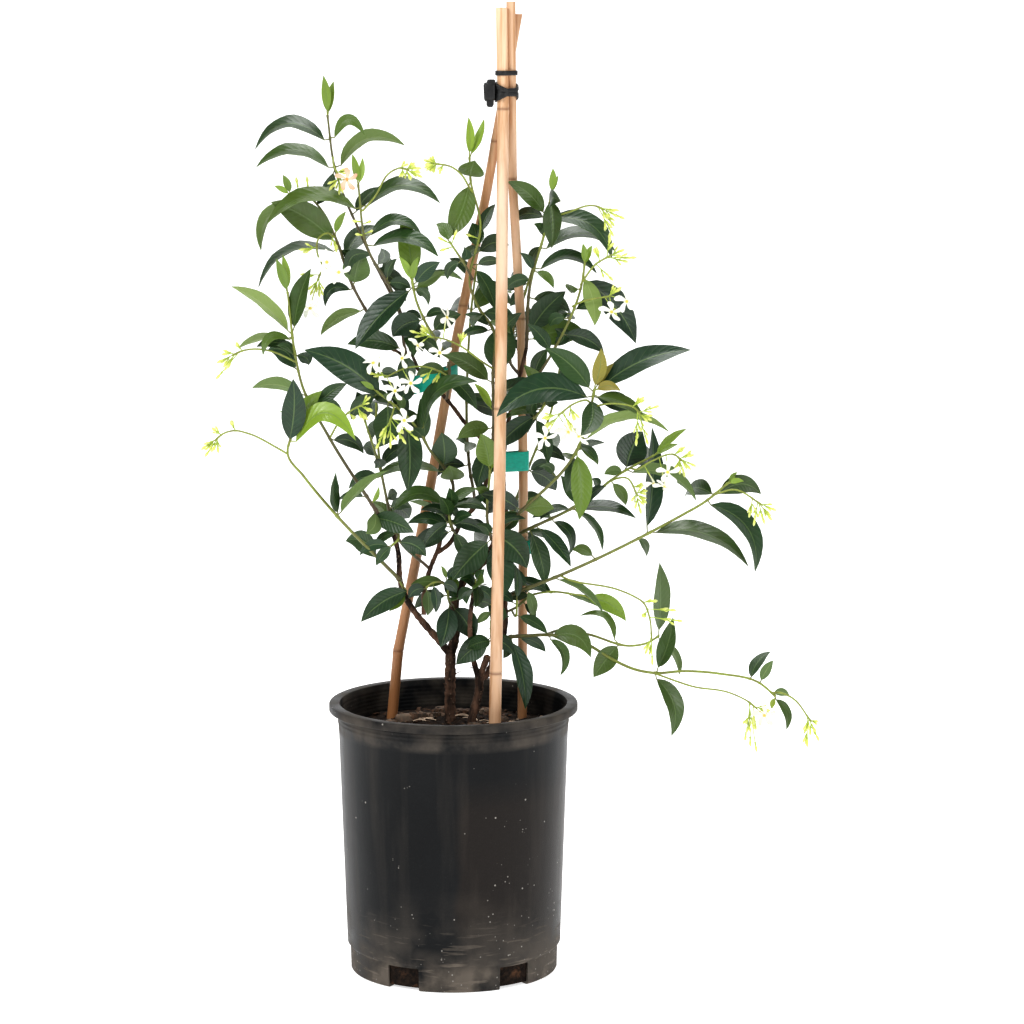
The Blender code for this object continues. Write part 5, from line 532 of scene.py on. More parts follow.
# Flower sprays. host: the stem they spring from. stalk: readings. buds and flowers: tips and centres.
SPRAYS = {
    "spray_crown": {
        "host": "shoot_crown_left_2", "stalk": ((-9.5, 82.6, -2.2), (-8.2, 84.2, -3.0),
                                                (-7.5, 85.6, -3.3), (-6.5, 86.8, -3.5),
                                                (-5.6, 87.2, -3.6), (-4.6, 87.0, -3.7)),
        "buds": ((-5.0, 88.0), (-4.0, 87.8), (-3.2, 87.2), (-5.3, 86.2), (-4.4, 85.9), (-3.1, 86.2)),
        "flowers": (),
    },
    "spray_crown_mid": {
        "host": "shoot_crown_mid", "stalk": ((2.3, 84.5, -0.6), (1.8, 85.2, -1.8), (1.0, 86.5, -2.4),
                                             (0, 87.3, -2.6), (-1.0, 87.7, -2.7), (-1.9, 87.7, -2.8)),
        "buds": ((-2.4, 88.4), (-3.1, 88.1), (-1.4, 86.7), (-2.4, 86.8), (-3.0, 87.2)),
        "flowers": (),
    },
    "spray_crown_tip": {
        "host": "shoot_crown_left", "stalk": ((-12.7, 88.4, -0.8), (-12.6, 87.6, -2.0),
                                              (-12.2, 86.6, -2.4), (-11.8, 85.9, -2.5)),
        "buds": ((-13.1, 84.8), (-12.0, 84.3), (-10.8, 87.0)),
        "flowers": ((-11.2, 86.0),),
    },
    "spray_upper": {
        "host": "shoot_left_upper", "stalk": ((-12.5, 79.8, -0.6), (-13.4, 80.3, -1.9),
                                              (-14.2, 79.8, -2.4), (-14.4, 78.2, -2.6),
                                              (-13.9, 76.8, -2.8), (-14.4, 75.2, -2.9)),
        "buds": ((-16.4, 78.5), (-12.3, 78.2), (-16.3, 75.9), (-15.2, 73.6), (-14.2, 73.4)),
        "flowers": ((-13.4, 77.2), (-12.2, 76.2), (-15.2, 72.3)),
    },
    "spray_left": {
        "host": "shoot_left_mid", "stalk": ((-16.8, 66.4, -4.5), (-18, 67.1, -5.3), (-19.2, 67.6, -5.6),
                                            (-21, 67.8, -5.8), (-22.5, 67.7, -5.9), (-23.6, 67.2, -6.0)),
        "buds": ((-24.6, 67.8), (-25.3, 66.4), (-24.6, 65.9), (-25.4, 64.6), (-23.2, 68.6)),
        "flowers": (),
    },
    "spray_left_low": {
        "host": "shoot_left_low", "stalk": ((-17.7, 56.6, -5.8), (-19, 57.3, -6.6), (-20.5, 58.1, -6.9),
                                            (-22, 58.8, -7.1), (-23.4, 59.1, -7.2), (-24.6, 58.8, -7.3),
                                            (-25.6, 58.0, -7.4)),
        "buds": ((-23.9, 60.1), (-25.9, 59.4), (-27.1, 57.0), (-26.7, 56.2), (-25.2, 56.6)),
        "flowers": (),
    },
    "spray_inner": {
        "host": "shoot_left_mid", "stalk": ((-13.2, 58.3, -3.6), (-12.2, 60.0, -4.7),
                                            (-10.7, 61.4, -5.2), (-9.6, 61.9, -5.4)),
        "buds": ((-8.6, 61.2), (-9.1, 60.2), (-10.4, 60.4), (-8.8, 62.8)),
        "flowers": (),
    },
    "spray_mid": {
        "host": "shoot_mid_low", "stalk": ((-6.4, 62.0, -3.6), (-6.3, 61.6, -5.2), (-6.7, 60.6, -5.7),
                                           (-6.9, 59.6, -5.9)),
        "buds": ((-7.9, 58.4), (-8.3, 57.0), (-6.7, 57.1), (-5.0, 57.6), (-3.6, 58.0)),
        "flowers": ((-5.2, 60.2),),
    },
    "spray_white": {
        "host": "shoot_mid_left", "stalk": ((-0.3, 64.9, -0.8), (-1.2, 65.4, -2.4), (-3, 66.0, -3.2),
                                            (-4.8, 65.9, -3.7), (-6, 65.3, -4.1), (-7.3, 64.8, -4.4)),
        "buds": ((-2.2, 64.2), (-3.2, 64.2), (-9.2, 65.2)),
        "flowers": ((-8.5, 66.4), (-6.2, 63.4), (-4.5, 64.2), (-7.4, 62.9), (-5.4, 66.9)),
    },
    "spray_centre": {
        "host": "shoot_crown_mid", "stalk": ((4.3, 65.8, -1.3), (3.2, 66.5, -2.6), (1.8, 67.4, -3.2),
                                             (0.5, 68.4, -3.5), (-1, 69.0, -3.6), (-2.6, 69.2, -3.7)),
        "buds": ((-3.4, 70.6), (1.2, 69.8), (-4.6, 69.9)),
        "flowers": ((-3.7, 68.3), (-0.6, 71.3), (-1.4, 67.5)),
    },
    "spray_right_top": {
        "host": "shoot_crown_right", "stalk": ((10.0, 81.5, 0.2), (11.1, 82.1, -1.0),
                                               (12.3, 82.5, -1.4), (13.6, 82.9, -1.6),
                                               (15.2, 83.2, -1.8), (16.2, 82.8, -1.9)),
        "buds": ((17.8, 82.7), (16.6, 81.7), (17.3, 81.0), (17.2, 79.9), (18.4, 81.8)),
        "flowers": (),
    },
    "spray_right_hang": {
        "host": "shoot_right_2", "stalk": ((13.6, 74.6, -1.9), (14.2, 75.6, -3.0), (15.2, 76.9, -3.5),
                                           (16.2, 77.7, -3.8), (17.0, 78.0, -3.9)),
        "buds": ((16.8, 80.4), (18.4, 78.6), (18.8, 77.2), (19.7, 77.7), (17.2, 75.2), (15.3, 78.9)),
        "flowers": (),
    },
    "spray_right_white": {
        "host": "shoot_right_2", "stalk": ((12.7, 72.4, -1.7), (13.9, 73.0, -3.0), (15.4, 73.4, -3.5),
                                           (17.0, 73.6, -3.7)),
        "buds": ((18.1, 74.6), (17.8, 70.9)),
        "flowers": ((18.6, 73.0), (17.0, 71.9)),
    },
    "spray_front": {
        "host": "shoot_right_front", "stalk": ((14.9, 62.0, -6.0), (14.2, 62.4, -7.4), (13, 62.0, -8.0),
                                               (12, 61.3, -8.3), (11.3, 60.7, -8.4)),
        "buds": ((9.3, 60.2), (9.8, 59.2), (13.2, 60.2), (12.8, 59.0)),
        "flowers": ((9.9, 58.3), (11.6, 58.5), (12.7, 58.1)),
    },
    "spray_side": {
        "host": "shoot_right_front", "stalk": ((14.8, 61.4, -5.9), (16.0, 61.9, -7.3),
                                               (17.8, 62.0, -7.9), (19.6, 61.5, -8.2),
                                               (20.3, 60.6, -8.3)),
        "buds": ((22.2, 61.8), (21.4, 60.2), (19.7, 57.4), (21.0, 57.5), (20.6, 62.8)),
        "flowers": (),
    },
    "spray_right_mid": {
        "host": "shoot_right_mid", "stalk": ((19.0, 55.1, -2.7), (19.8, 54.9, -4.0), (21.4, 55.8, -4.6),
                                             (22.8, 56.3, -4.9), (24.0, 56.4, -5.0), (24.6, 55.8, -5.1)),
        "buds": ((25.0, 57.4), (26.0, 56.5), (26.2, 55.2), (25.0, 54.0), (24.0, 54.8)),
        "flowers": ((23.1, 54.6), (22.9, 53.2), (21.6, 53.4)),
    },
    "spray_right_drop": {
        "host": "shoot_right_mid", "stalk": ((16.9, 53.5, -2.2), (17.6, 53.9, -3.5), (18.6, 54.0, -4.0),
                                             (19.4, 52.9, -4.2), (19.9, 52.0, -4.3)),
        "buds": ((20.4, 53.2), (21.0, 52.6), (19.2, 51.4), (20.3, 50.0), (20.9, 51.2)),
        "flowers": (),
    },
    "spray_long": {
        "host": "shoot_right_long", "stalk": ((28.0, 52.1, -3.5), (28.9, 52.4, -4.7), (30, 52.7, -5.0),
                                              (31.3, 52.2, -5.2), (32.4, 51.4, -5.3), (33.4, 51.0, -5.4)),
        "buds": ((32.4, 48.7), (33.6, 48.9), (34.4, 49.3), (34.9, 50.4), (31.9, 49.6)),
        "flowers": (),
    },
    "spray_long_low": {
        "host": "shoot_right_long", "stalk": ((11.4, 43.3, -0.8), (12.4, 42.9, -2.1), (14, 42.5, -2.4),
                                              (16, 42.1, -2.6), (18, 41.7, -2.7), (19.4, 41.1, -2.8),
                                              (20.6, 40.3, -2.9), (21.2, 38.9, -3.0),
                                              (21.5, 37.4, -3.0), (21.5, 36.2, -3.0)),
        "buds": ((21.6, 33.4), (20.8, 34.6), (22.1, 40.6), (20.4, 38.9), (24.9, 38.3), (24.2, 39.5)),
        "flowers": (),
    },
    "spray_low": {
        "host": "shoot_right_low", "stalk": ((21.6, 32.6, -0.9), (22.8, 32.2, -2.0), (24, 31.7, -2.3),
                                             (26, 31.1, -2.6), (28, 30.9, -2.8), (30, 30.4, -3.1),
                                             (31, 29.9, -3.3), (32.2, 29.3, -3.5), (33.0, 28.6, -3.6)),
        "buds": ((31.7, 25.0), (32.3, 24.4), (33.0, 23.8), (32.9, 26.2), (34.5, 28.4)),
        "flowers": ((33.8, 27.9),),
    },
    "spray_low_tip": {
        "host": "shoot_right_low", "stalk": ((34.6, 30.5, -2.9), (35.6, 30.4, -3.9), (36.7, 29.9, -4.1),
                                             (37.6, 29.1, -4.2), (38.4, 28.0, -4.3), (38.9, 27.2, -4.3)),
        "buds": ((38.0, 26.2), (38.5, 24.3), (39.8, 25.0), (39.6, 27.2)),
        "flowers": (),
    },
}

def mesh_from(points, faces):
    """A closed mesh whose faces are turned outwards."""
    shape = bmesh.new()
    corners = [shape.verts.new(point) for point in points]
    for face in faces:
        shape.faces.new([corners[index] for index in face])
    bmesh.ops.recalc_face_normals(shape, faces=shape.faces)
    mesh = bpy.data.meshes.new("shape")
    shape.to_mesh(mesh)
    shape.free()
    return mesh


def between(start, end, share):
    """A value between two others, at a share of the way."""
    return start + (end - start) * share


def cane_point(name, height):
    """The cane's centre at a height."""
    points = [Vector(point) * CM for point in CANES[name][0]]
    for low, high in zip(points, points[1:]):
        if height <= high.z or high is points[-1]:
            return low.lerp(high, (height - low.z) / (high.z - low.z))
    return points[-1]


def cane_radius(name, height):
    points, start, end, _ = CANES[name]
    share = (height / CM - points[0][2]) / (points[-1][2] - points[0][2])
    return between(start, end, share) * MM


def frames(route):
    """Two cross directions at each point of a route, carried along it without twist."""
    tangents = []
    for index in range(len(route)):
        before = route[max(index - 1, 0)]
        after = route[min(index + 1, len(route) - 1)]
        tangents.append((after - before).normalized())
    side = tangents[0].orthogonal().normalized()
    result = []
    for tangent in tangents:
        side = (side - tangent * side.dot(tangent)).normalized()
        result.append((side, tangent.cross(side)))
    return result


def ring_points(route, radii, sides):
    """A ring of corners round each point of a route."""
    points = []
    for (side, other), point, radius in zip(frames(route), route, radii):
        for index in range(sides):
            angle = 2 * math.pi * index / sides
            points.append(point + (side * math.cos(angle) + other * math.sin(angle)) * radius)
    return points


def ring_faces(count, sides):
    """The first end of a tube and the bands between its rings."""
    faces = []
    for low in range(0, (count - 1) * sides, sides):
        for index in range(sides):
            after = (index + 1) % sides
            faces.append((low + index, low + after, low + sides + after, low + sides + index))
    faces.append(tuple(reversed(range(sides))))
    return faces


def tube(route, radii, sides):
    """A closed tube with flat ends along a route."""
    last = (len(route) - 1) * sides
    faces = ring_faces(len(route), sides) + [tuple(range(last, last + sides))]
    return mesh_from(ring_points(route, radii, sides), faces)


def even_radii(route, start, end):
    count = len(route) - 1
    return [between(start, end, index / count) for index in range(count + 1)]


def cane_mesh(name):
    """A cane with a swollen ring at each node."""
    swell = {point[2]: 1.0 for point in CANES[name][0]}
    for node in CANES[name][3]:
        swell.update({node - 0.4: 1.0, node: NODE_SWELL, node + 0.4: 1.0})
    heights = [height * CM for height in sorted(swell)]
    route = [cane_point(name, height) for height in heights]
    radii = [cane_radius(name, height) * swell[key] for height, key in zip(heights, sorted(swell))]
    return tube(route, radii, CANE_SIDES)


def band_circles(name):
    """What a band goes round: (across, depth, radius) in metres, at its lower and its upper edge."""
    low, high, slope, _, canes, ends = BANDS[name]
    spare = abs(slope) * BAND_REACH
    circles = [(x * CM, y * CM, r * CM) for x, y, r in ends]
    for height in ((low - spare) * CM, (high + spare) * CM):
        for cane in canes:
            point = cane_point(cane, height)
            circles.append((point.x, point.y, cane_radius(cane, height)))
    return circles


def band_mesh(name):
    """A loop that follows the convex outline of the things it holds."""
    low, high, slope, thick, _, _ = BANDS[name]
    circles = band_circles(name)
    centre = sum(circle[0] for circle in circles) / len(circles)
    points, faces = [], []
    for level in (low * CM, high * CM):
        for wall in (BAND_CLEAR, BAND_CLEAR + thick * MM):
            for index in range(BAND_SIDES):
                angle = 2 * math.pi * index / BAND_SIDES
                c, s = math.cos(angle), math.sin(angle)
                x, y, radius = max(circles, key=lambda circle: circle[0] * c + circle[1] * s + circle[2])
                x += (radius + wall) * c
                y += (radius + wall) * s
                points.append((x, y, level + slope * (x - centre)))
    count = BAND_SIDES
    inner_low, outer_low, inner_high, outer_high = 0, count, 2 * count, 3 * count
    for index in range(count):
        after = (index + 1) % count
        for one, two in (
            (outer_low, outer_high), (outer_high, inner_high),
            (inner_high, inner_low), (inner_low, outer_low),
        ):
            faces.append((one + index, one + after, two + after, two + index))
    return mesh_from(points, faces)


class Ground:
    """Every piece set so far, to keep each new one clear of it."""

    def __init__(self):
        self.pieces = []

    def add(self, owner, mesh):
        self.pieces.append((owner, tree_of(mesh), *box_of(mesh)))

    def is_clear(self, mesh, skip=(), only=None):
        tree = tree_of(mesh)
        low, high = box_of(mesh)
        if inside_pot(mesh):
            return False
        for owner, other, other_low, other_high in self.pieces:
            if owner in skip or (only and owner not in only):
                continue
            if any(low[axis] > other_high[axis] or high[axis] < other_low[axis] for axis in range(3)):
                continue
            if tree.overlap(other):
                return False
        return True


def inside_pot(mesh):
    """Whether a piece comes too near to the pot's rim or to the soil."""
    for corner in mesh.vertices:
        radius = math.hypot(corner.co.x, corner.co.y)
        floor = POT_HEIGHT + RIM_ROOM if radius > WALL_ROOM_R else SOIL_TOP + SOIL_MOUND + SOIL_ROOM
        if radius < RIM_ROOM_R and corner.co.z < floor:
            return True
    return False


def tree_of(mesh):
    return BVHTree.FromPolygons(
        [corner.co.copy() for corner in mesh.vertices], [tuple(face.vertices) for face in mesh.polygons]
    )


def box_of(mesh):
    places = [corner.co for corner in mesh.vertices]
    low = [min(place[axis] for place in places) for axis in range(3)]
    high = [max(place[axis] for place in places) for axis in range(3)]
    return low, high


def thinned(route, bend=BEND):
    """A route without the points that lie near the straight line between those kept."""
    keep = [0, len(route) - 1]
    spans = [(0, len(route) - 1)]
    while spans:
        start, end = spans.pop()
        far, worst = bend, None
        for index in range(start + 1, end):
            along = route[end] - route[start]
            share = (route[index] - route[start]).dot(along) / along.length_squared
            distance = (route[index] - route[start] - along * share).length
            if distance > far:
                far, worst = distance, index
        if worst is not None:
            keep.append(worst)
            spans += [(start, worst), (worst, end)]
    return [route[index] for index in sorted(keep)]


class Stem:
    """A stem's centre line with its radii."""

    def __init__(self, route, start, end):
        self.route = route
        self.radii = even_radii(route, start, end)
        self.lengths = [0.0]
        for low, high in zip(route, route[1:]):
            self.lengths.append(self.lengths[-1] + (high - low).length)

    def at(self, length):
        """The point at a length from the start."""
        for index in range(len(self.route) - 1):
            if length <= self.lengths[index + 1] or index == len(self.route) - 2:
                span = self.lengths[index + 1] - self.lengths[index]
                share = max(0.0, min(1.0, (length - self.lengths[index]) / span))
                return self.route[index].lerp(self.route[index + 1], share)
        return self.route[-1]

    def nearest(self, point):
        """The length and the distance of the spot that is nearest to a point."""
        best = (1.0, 0.0)
        for index in range(len(self.route) - 1):
            start, along = self.route[index], self.route[index + 1] - self.route[index]
            share = max(0.0, min(1.0, (point - start).dot(along) / along.length_squared))
            distance = (point - start - along * share).length
            best = min(best, (distance, self.lengths[index] + along.length * share))
        return best

    def nearest_seen(self, across, up):
        """The same for the spot that looks nearest to a reading from the front."""
        best = (1.0, 0.0)
        steps = max(4, int(self.lengths[-1] / (1.5 * MM)))
        for step in range(steps + 1):
            length = self.lengths[-1] * step / steps
            seen = reading_of(self.at(length))
            best = min(best, (math.hypot(seen[0] - across, seen[1] - up) * CM, length))
        return best

    def mesh(self, sides, fat=0.0):
        return tube(self.route, [radius + fat for radius in self.radii], sides)


def reading_of(point):
    """The front view reading of a point, in cm."""
    reach = (point.y - EYE.y) / -EYE.y
    return (EYE.x + (point.x - EYE.x) / reach) / CM, (EYE.z + (point.z - EYE.z) / reach) / CM, point.y / CM


def grow_stem(readings, host, host_stems, start, end, sides, ground, seed):
    """A stem that starts just off its host's skin and stays clear of the rest."""
    draw = random.Random(seed)
    wanted = thinned([place(reading) for reading in readings])
    best = min(host_stems, key=lambda stem: stem.nearest(wanted[0])[0])
    spot = best.at(best.nearest(wanted[0])[1])
    for attempt in range(STEM_TRIES):
        size = attempt / STEM_TRIES
        sway, swing = (
            Vector([draw.uniform(-reach, reach) for reach in reaches]) * MM * size
            for reaches in (STEM_SWAY, STEM_SWING))
        route = []
        for index, point in enumerate(wanted):
            share = index / (len(wanted) - 1)
            route.append(point + sway * math.sin(math.pi * share) + swing * share)
        away = (route[1] - spot).normalized()
        for step in range(SEAT_STEPS):
            route[0] = spot + away * (GAP + 0.1 * MM + step * SEAT_STEP)
            first = tube(route[:2], [start + STEM_CLEAR] * 2, sides)
            if ground.is_clear(first, only=(host,)):
                break
        stem = Stem(route, start, end)
        if ground.is_clear(stem.mesh(sides, STEM_CLEAR)):
            return stem
    return None


def leaf_shape(share):
    """The half width of a blade along its length, as a part of the widest half width."""
    return 3.545 * share ** 0.8 * (1 - share) ** 1.05


class Leaf:
    """A blade whose midrib is a quadratic curve from its base to its tip, on a short stalk."""

    def __init__(self, root, base, tip, arch, width, face):
        axis = (tip - base).normalized()
        front = Vector((0, -1, 0))
        one = front - axis * front.dot(axis)
        if one.length < 0.1:
            one = Vector((0, 0, 1)) - axis * axis.z
        one.normalize()
        two = one.cross(axis)
        if two.z < -0.2 or (abs(two.z) <= 0.2 and two.x < 0):
            two = -two
        self.root, self.base, self.tip = root, base, tip
        self.middle = (base + tip) / 2 + two * arch * 2
        self.up = one * math.sin(face) + two * math.cos(face)
        self.half = width / 2

    def stations(self):
        length = (self.tip - self.base).length
        if length < TINY_LEAF:
            return TINY_STATIONS
        return LONG_STATIONS if length > LONG_LEAF else SHORT_STATIONS

    def row(self, share):
        """The midrib's point at a share of the blade, with the directions across and up there."""
        rest = 1 - share
        middle = self.base * rest * rest + self.middle * 2 * rest * share + self.tip * share * share
        along = ((self.middle - self.base) * rest + (self.tip - self.middle) * share).normalized()
        up = (self.up - along * self.up.dot(along)).normalized()
        return middle, along.cross(up), up

    def point(self, share, side, lift):
        """A point of the blade: side from -1 to 1 across it, lift above its middle surface."""
        middle, across, up = self.row(share)
        half = self.half * leaf_shape(share)
        return middle + across * side * half + up * (abs(side) * half * FOLD + lift)

    def collar(self, spot, towards, size):
        """Three corners round the stalk: left, right and under."""
        along = (towards - spot).normalized()
        up = (self.up - along * self.up.dot(along)).normalized()
        across = along.cross(up)
        above = spot + up * size * 0.5
        return [above - across * size, above + across * size, spot - up * size]

    def mesh(self, thick, blade_only=False):
        """The closed blade with its stalk, split alike on both faces."""
        lift = thick / 2
        size = STALK + (thick - BLADE) / 2
        first = self.point(self.stations()[0], 0, 0)
        start = self.base.lerp(self.root, 0.1) if blade_only else self.root
        points = self.collar(start, first, size) + self.collar(self.base, first, size)
        faces = [(0, 1, 2), (0, 1, 4, 3), (1, 2, 5, 4), (2, 0, 3, 5)]
        folded = (self.tip - self.base).length > FLAT_LEAF
        cross = (-1, 0, 1) if folded else (-1, 1)
        wide = len(cross)
        rings = []
        for share in self.stations():
            rings.append([len(points) + index for index in range(2 * wide)])
            points += [self.point(share, across, lift) for across in cross]
            points += [self.point(share, across, -lift) for across in reversed(cross)]
        left, right, under = 3, 4, 5
        ring = rings[0]
        faces += [(left, ring[0], ring[1]), (left, ring[1], right), (under, ring[-2], ring[-1])]
        faces += [(right, ring[-3], ring[-2]), (right, ring[-2], under), (under, ring[-1], left)]
        faces.append((left, ring[-1], ring[0]))
        if folded:
            faces += [(right, ring[1], ring[2]), (right, ring[2], ring[3])]
        for low, high in zip(rings, rings[1:]):
            for index in range(2 * wide):
                faces += split_band(low, high, index, index in ((1, 4) if folded else (2,)))
        last, upper = rings[-1], len(points)
        points += [self.point(0.999, 0, lift * 0.8), self.point(0.999, 0, -lift * 0.8)]
        lower = upper + 1
        faces += [(last[index], last[index + 1], upper) for index in range(wide - 1)]
        faces += [(last[wide + index], last[wide + index + 1], lower) for index in range(wide - 1)]
        faces += [(last[wide - 1], last[wide], lower), (last[wide - 1], lower, upper)]
        faces += [(last[-1], last[0], upper), (last[-1], upper, lower)]
        return mesh_from(points, faces)


def split_band(low, high, index, turned_over):
    """Two triangles between two rings of a blade. The two faces of the blade take the same diagonal."""
    after = (index + 1) % len(low)
    if turned_over:
        return [(low[index], low[after], high[index]), (low[after], high[after], high[index])]
    return [(low[index], low[after], high[after]), (low[index], high[after], high[index])]


def leaf_from(row, stems, ratio, nudge):
    """A leaf from its row in the table. nudge moves it: tip depth, face, root, arch, and tip pulled in."""
    across, up, tip_across, tip_up, arch, width, lean = row
    deeper, turn, along, more_arch, pull = nudge
    stem = min(stems, key=lambda one: one.nearest_seen(across, up)[0])
    _, length = stem.nearest_seen(across, up)
    length = max(FIRST_LEAF, min(stem.lengths[-1] - 0.4 * MM, length + along))
    root = stem.at(length)
    tip = place((tip_across, tip_up, root.y / CM + lean + deeper)).lerp(root, pull)
    wanted = place((across, up, root.y / CM))
    stalk = min(STALK_SHARE * (tip - root).length + 1.5 * MM, LONGEST_STALK)
    base = root + (tip - root).normalized() * stalk
    if (wanted - root).length > stalk:
        base = wanted
    length = (tip - base).length
    seen = abs(width) * CM
    true_width = min(max(ratio * length, seen), WIDEST)
    face = math.asin(min(seen / true_width, 1.0))
    if width < 0:
        face = -face
    return Leaf(root, base, tip, (arch + more_arch) * CM, true_width, face + turn)


def nudges(seed):
    """Small moves, from none to larger ones, in a fixed order."""
    draw = random.Random(seed)
    yield (0, 0, 0, 0, 0)
    for index in range(1, LEAF_TRIES):
        size = index / LEAF_TRIES
        yield (
            draw.uniform(-1, 1) * (0.4 + 4.2 * size),
            draw.uniform(-1, 1) * math.radians(8 + 50 * size),
            draw.uniform(-1, 1) * (1 + 7 * size) * MM,
            draw.uniform(-1, 1) * 0.7 * size,
            max(0.0, size - 0.4) * 0.6,
        )


def grow_leaf(name, row, stems, ratio, ground, seed):
    """The first clear variant of a leaf, or None. Leaves of one stem may only meet at their stalks."""
    for nudge in nudges(seed):
        leaf = leaf_from(row, stems, ratio, nudge)
        if not ground.is_clear(leaf.mesh(BLADE + 2 * CLEAR), skip=(name, name + "_leaf")):
            continue
        if ground.is_clear(leaf.mesh(BLADE, blade_only=True), only=(name + "_leaf",)):
            return leaf
    return None


def back_row(stem, draw):
    """A leaf that grows away from the viewer, to the side or upwards."""
    across, up, _ = reading_of(stem.at(stem.lengths[-1] * draw.uniform(0.15, 0.97)))
    length = draw.uniform(4.2, 7.2)
    heading = math.radians(draw.uniform(15, 165))
    rise = math.radians(draw.uniform(-35, 45))
    level = length * math.cos(rise)
    tip = (across + level * math.cos(heading), up + length * math.sin(rise))
    return (across, up, *tip, draw.uniform(0.3, 1.0), draw.uniform(0.8, 2.4), level * math.sin(heading))


def bud_mesh(root, base, tip, fat=0.0):
    """A pointed bud on a thin stalk, three sided."""
    points, faces = [], []
    route = [root, base.lerp(tip, 0.45)]
    radii = [BUD_STALK + fat, BUD_R + fat]
    for (side, other), point, radius in zip(frames(route), route, radii):
        for index in range(3):
            angle = 2 * math.pi / 3 * index
            points.append(point + (side * math.cos(angle) + other * math.sin(angle)) * radius)
    points.append(tip)
    for index in range(3):
        after = (index + 1) % 3
        faces.append((index, after, 3 + after, 3 + index))
        faces.append((3 + index, 3 + after, 6))
    faces.append((0, 1, 2))
    return mesh_from(points, faces)


def flower_mesh(root, centre, facing, radius, fat=0.0):
    """A five-petalled pinwheel on its tube."""
    side = facing.orthogonal().normalized()
    other = facing.cross(side)
    points, faces = [], []
    thick = BLADE / 2 + fat
    for lift in (thick, -thick):
        for index in range(10):
            petal = index % 2 == 0
            far = (radius if petal else radius * NOTCH) + fat
            angle = math.radians(36 * index + (PINWHEEL if petal else 0))
            tilt = radius * 0.12 if petal else 0
            points.append(
                centre + (side * math.cos(angle) + other * math.sin(angle)) * far + facing * (tilt + lift))
    top = len(points)
    points.append(centre + facing * thick)
    for index in range(10):
        after = (index + 1) % 10
        faces.append((index, after, top))
        faces.append((index, after, 10 + after, 10 + index))
    ring = len(points)
    sink, neck, foot = FLOWER_NECK
    for spot, size in ((centre - facing * sink, neck + fat), (root, foot + fat)):
        for index in range(5):
            angle = math.radians(72 * index + 36)
            points.append(spot + (side * math.cos(angle) + other * math.sin(angle)) * size)
    for index in range(5):
        after = (index + 1) % 5
        notch, petal, next_notch = 11 + 2 * index, 10 + (2 * index + 2) % 10, 10 + (2 * index + 3) % 10
        faces.append((notch, petal, ring + index))
        faces.append((petal, next_notch, ring + after))
        faces.append((petal, ring + after, ring + index))
        faces.append((ring + index, ring + after, ring + after + 5, ring + index + 5))
    faces.append(tuple(ring + 5 + index for index in range(5)))
    return mesh_from(points, faces)


def spread(seed):
    """Depth and side moves for a bud or a flower, in cm, from none to larger ones."""
    draw = random.Random(seed)
    for index in range(BLOOM_TRIES):
        size = index / BLOOM_TRIES
        yield tuple(draw.uniform(-1, 1) * reach for reach in (0.5 + 3 * size, 0.9 * size, 0.9 * size))


def grow_bud(name, reading, stems, ground, seed):
    """A bud whose stalk leaves its stem a little below the bud."""
    across, up = reading
    stem = min(stems, key=lambda one: one.nearest_seen(across, up)[0])
    _, length = stem.nearest_seen(across, up)
    near = stem.at(length)
    for deeper, aside, higher in spread(seed):
        tip = place((across + aside, up + higher, near.y / CM + deeper))
        root = stem.at(max(FIRST_LEAF, length - 0.25 * (tip - near).length))
        base = tip + (root - tip).normalized() * min(BUD_LENGTH, (tip - root).length * 0.7)
        if ground.is_clear(bud_mesh(root, base, tip, CLEAR), skip=(name, name + "_bud", name + "_leaf")):
            return root, base, tip
    return None


def grow_flower(name, reading, stems, ground, seed):
    across, up = reading
    draw = random.Random(seed)
    facing = Vector((draw.uniform(-0.5, 0.5), -1, draw.uniform(-0.4, 0.4))).normalized()
    stem = min(stems, key=lambda one: one.nearest_seen(across, up)[0])
    near = stem.at(stem.nearest_seen(across, up)[1])
    for deeper, aside, higher in spread(seed):
        centre = place((across + aside, up + higher, near.y / CM - 0.9 + deeper))
        root = stem.at(max(FIRST_LEAF, min(stem.nearest(centre)[1], stem.lengths[-1] - 0.3 * MM)))
        outward = ((centre - root).normalized() + facing * 1.6).normalized()
        if ground.is_clear(flower_mesh(root, centre, outward, FLOWER_R, CLEAR), skip=(name,)):
            return root, centre, outward
    return None


def stem_table():
    """Every leafy stem: name and entry, those behind included."""
    table = dict(SHOOTS)
    for name, (host, readings, count) in BACK_STEMS.items():
        table[name] = {
            "host": host, "radius": (1.6, 0.9), "stem": readings, "leaves": (), "young": (), "back": count}
    return table


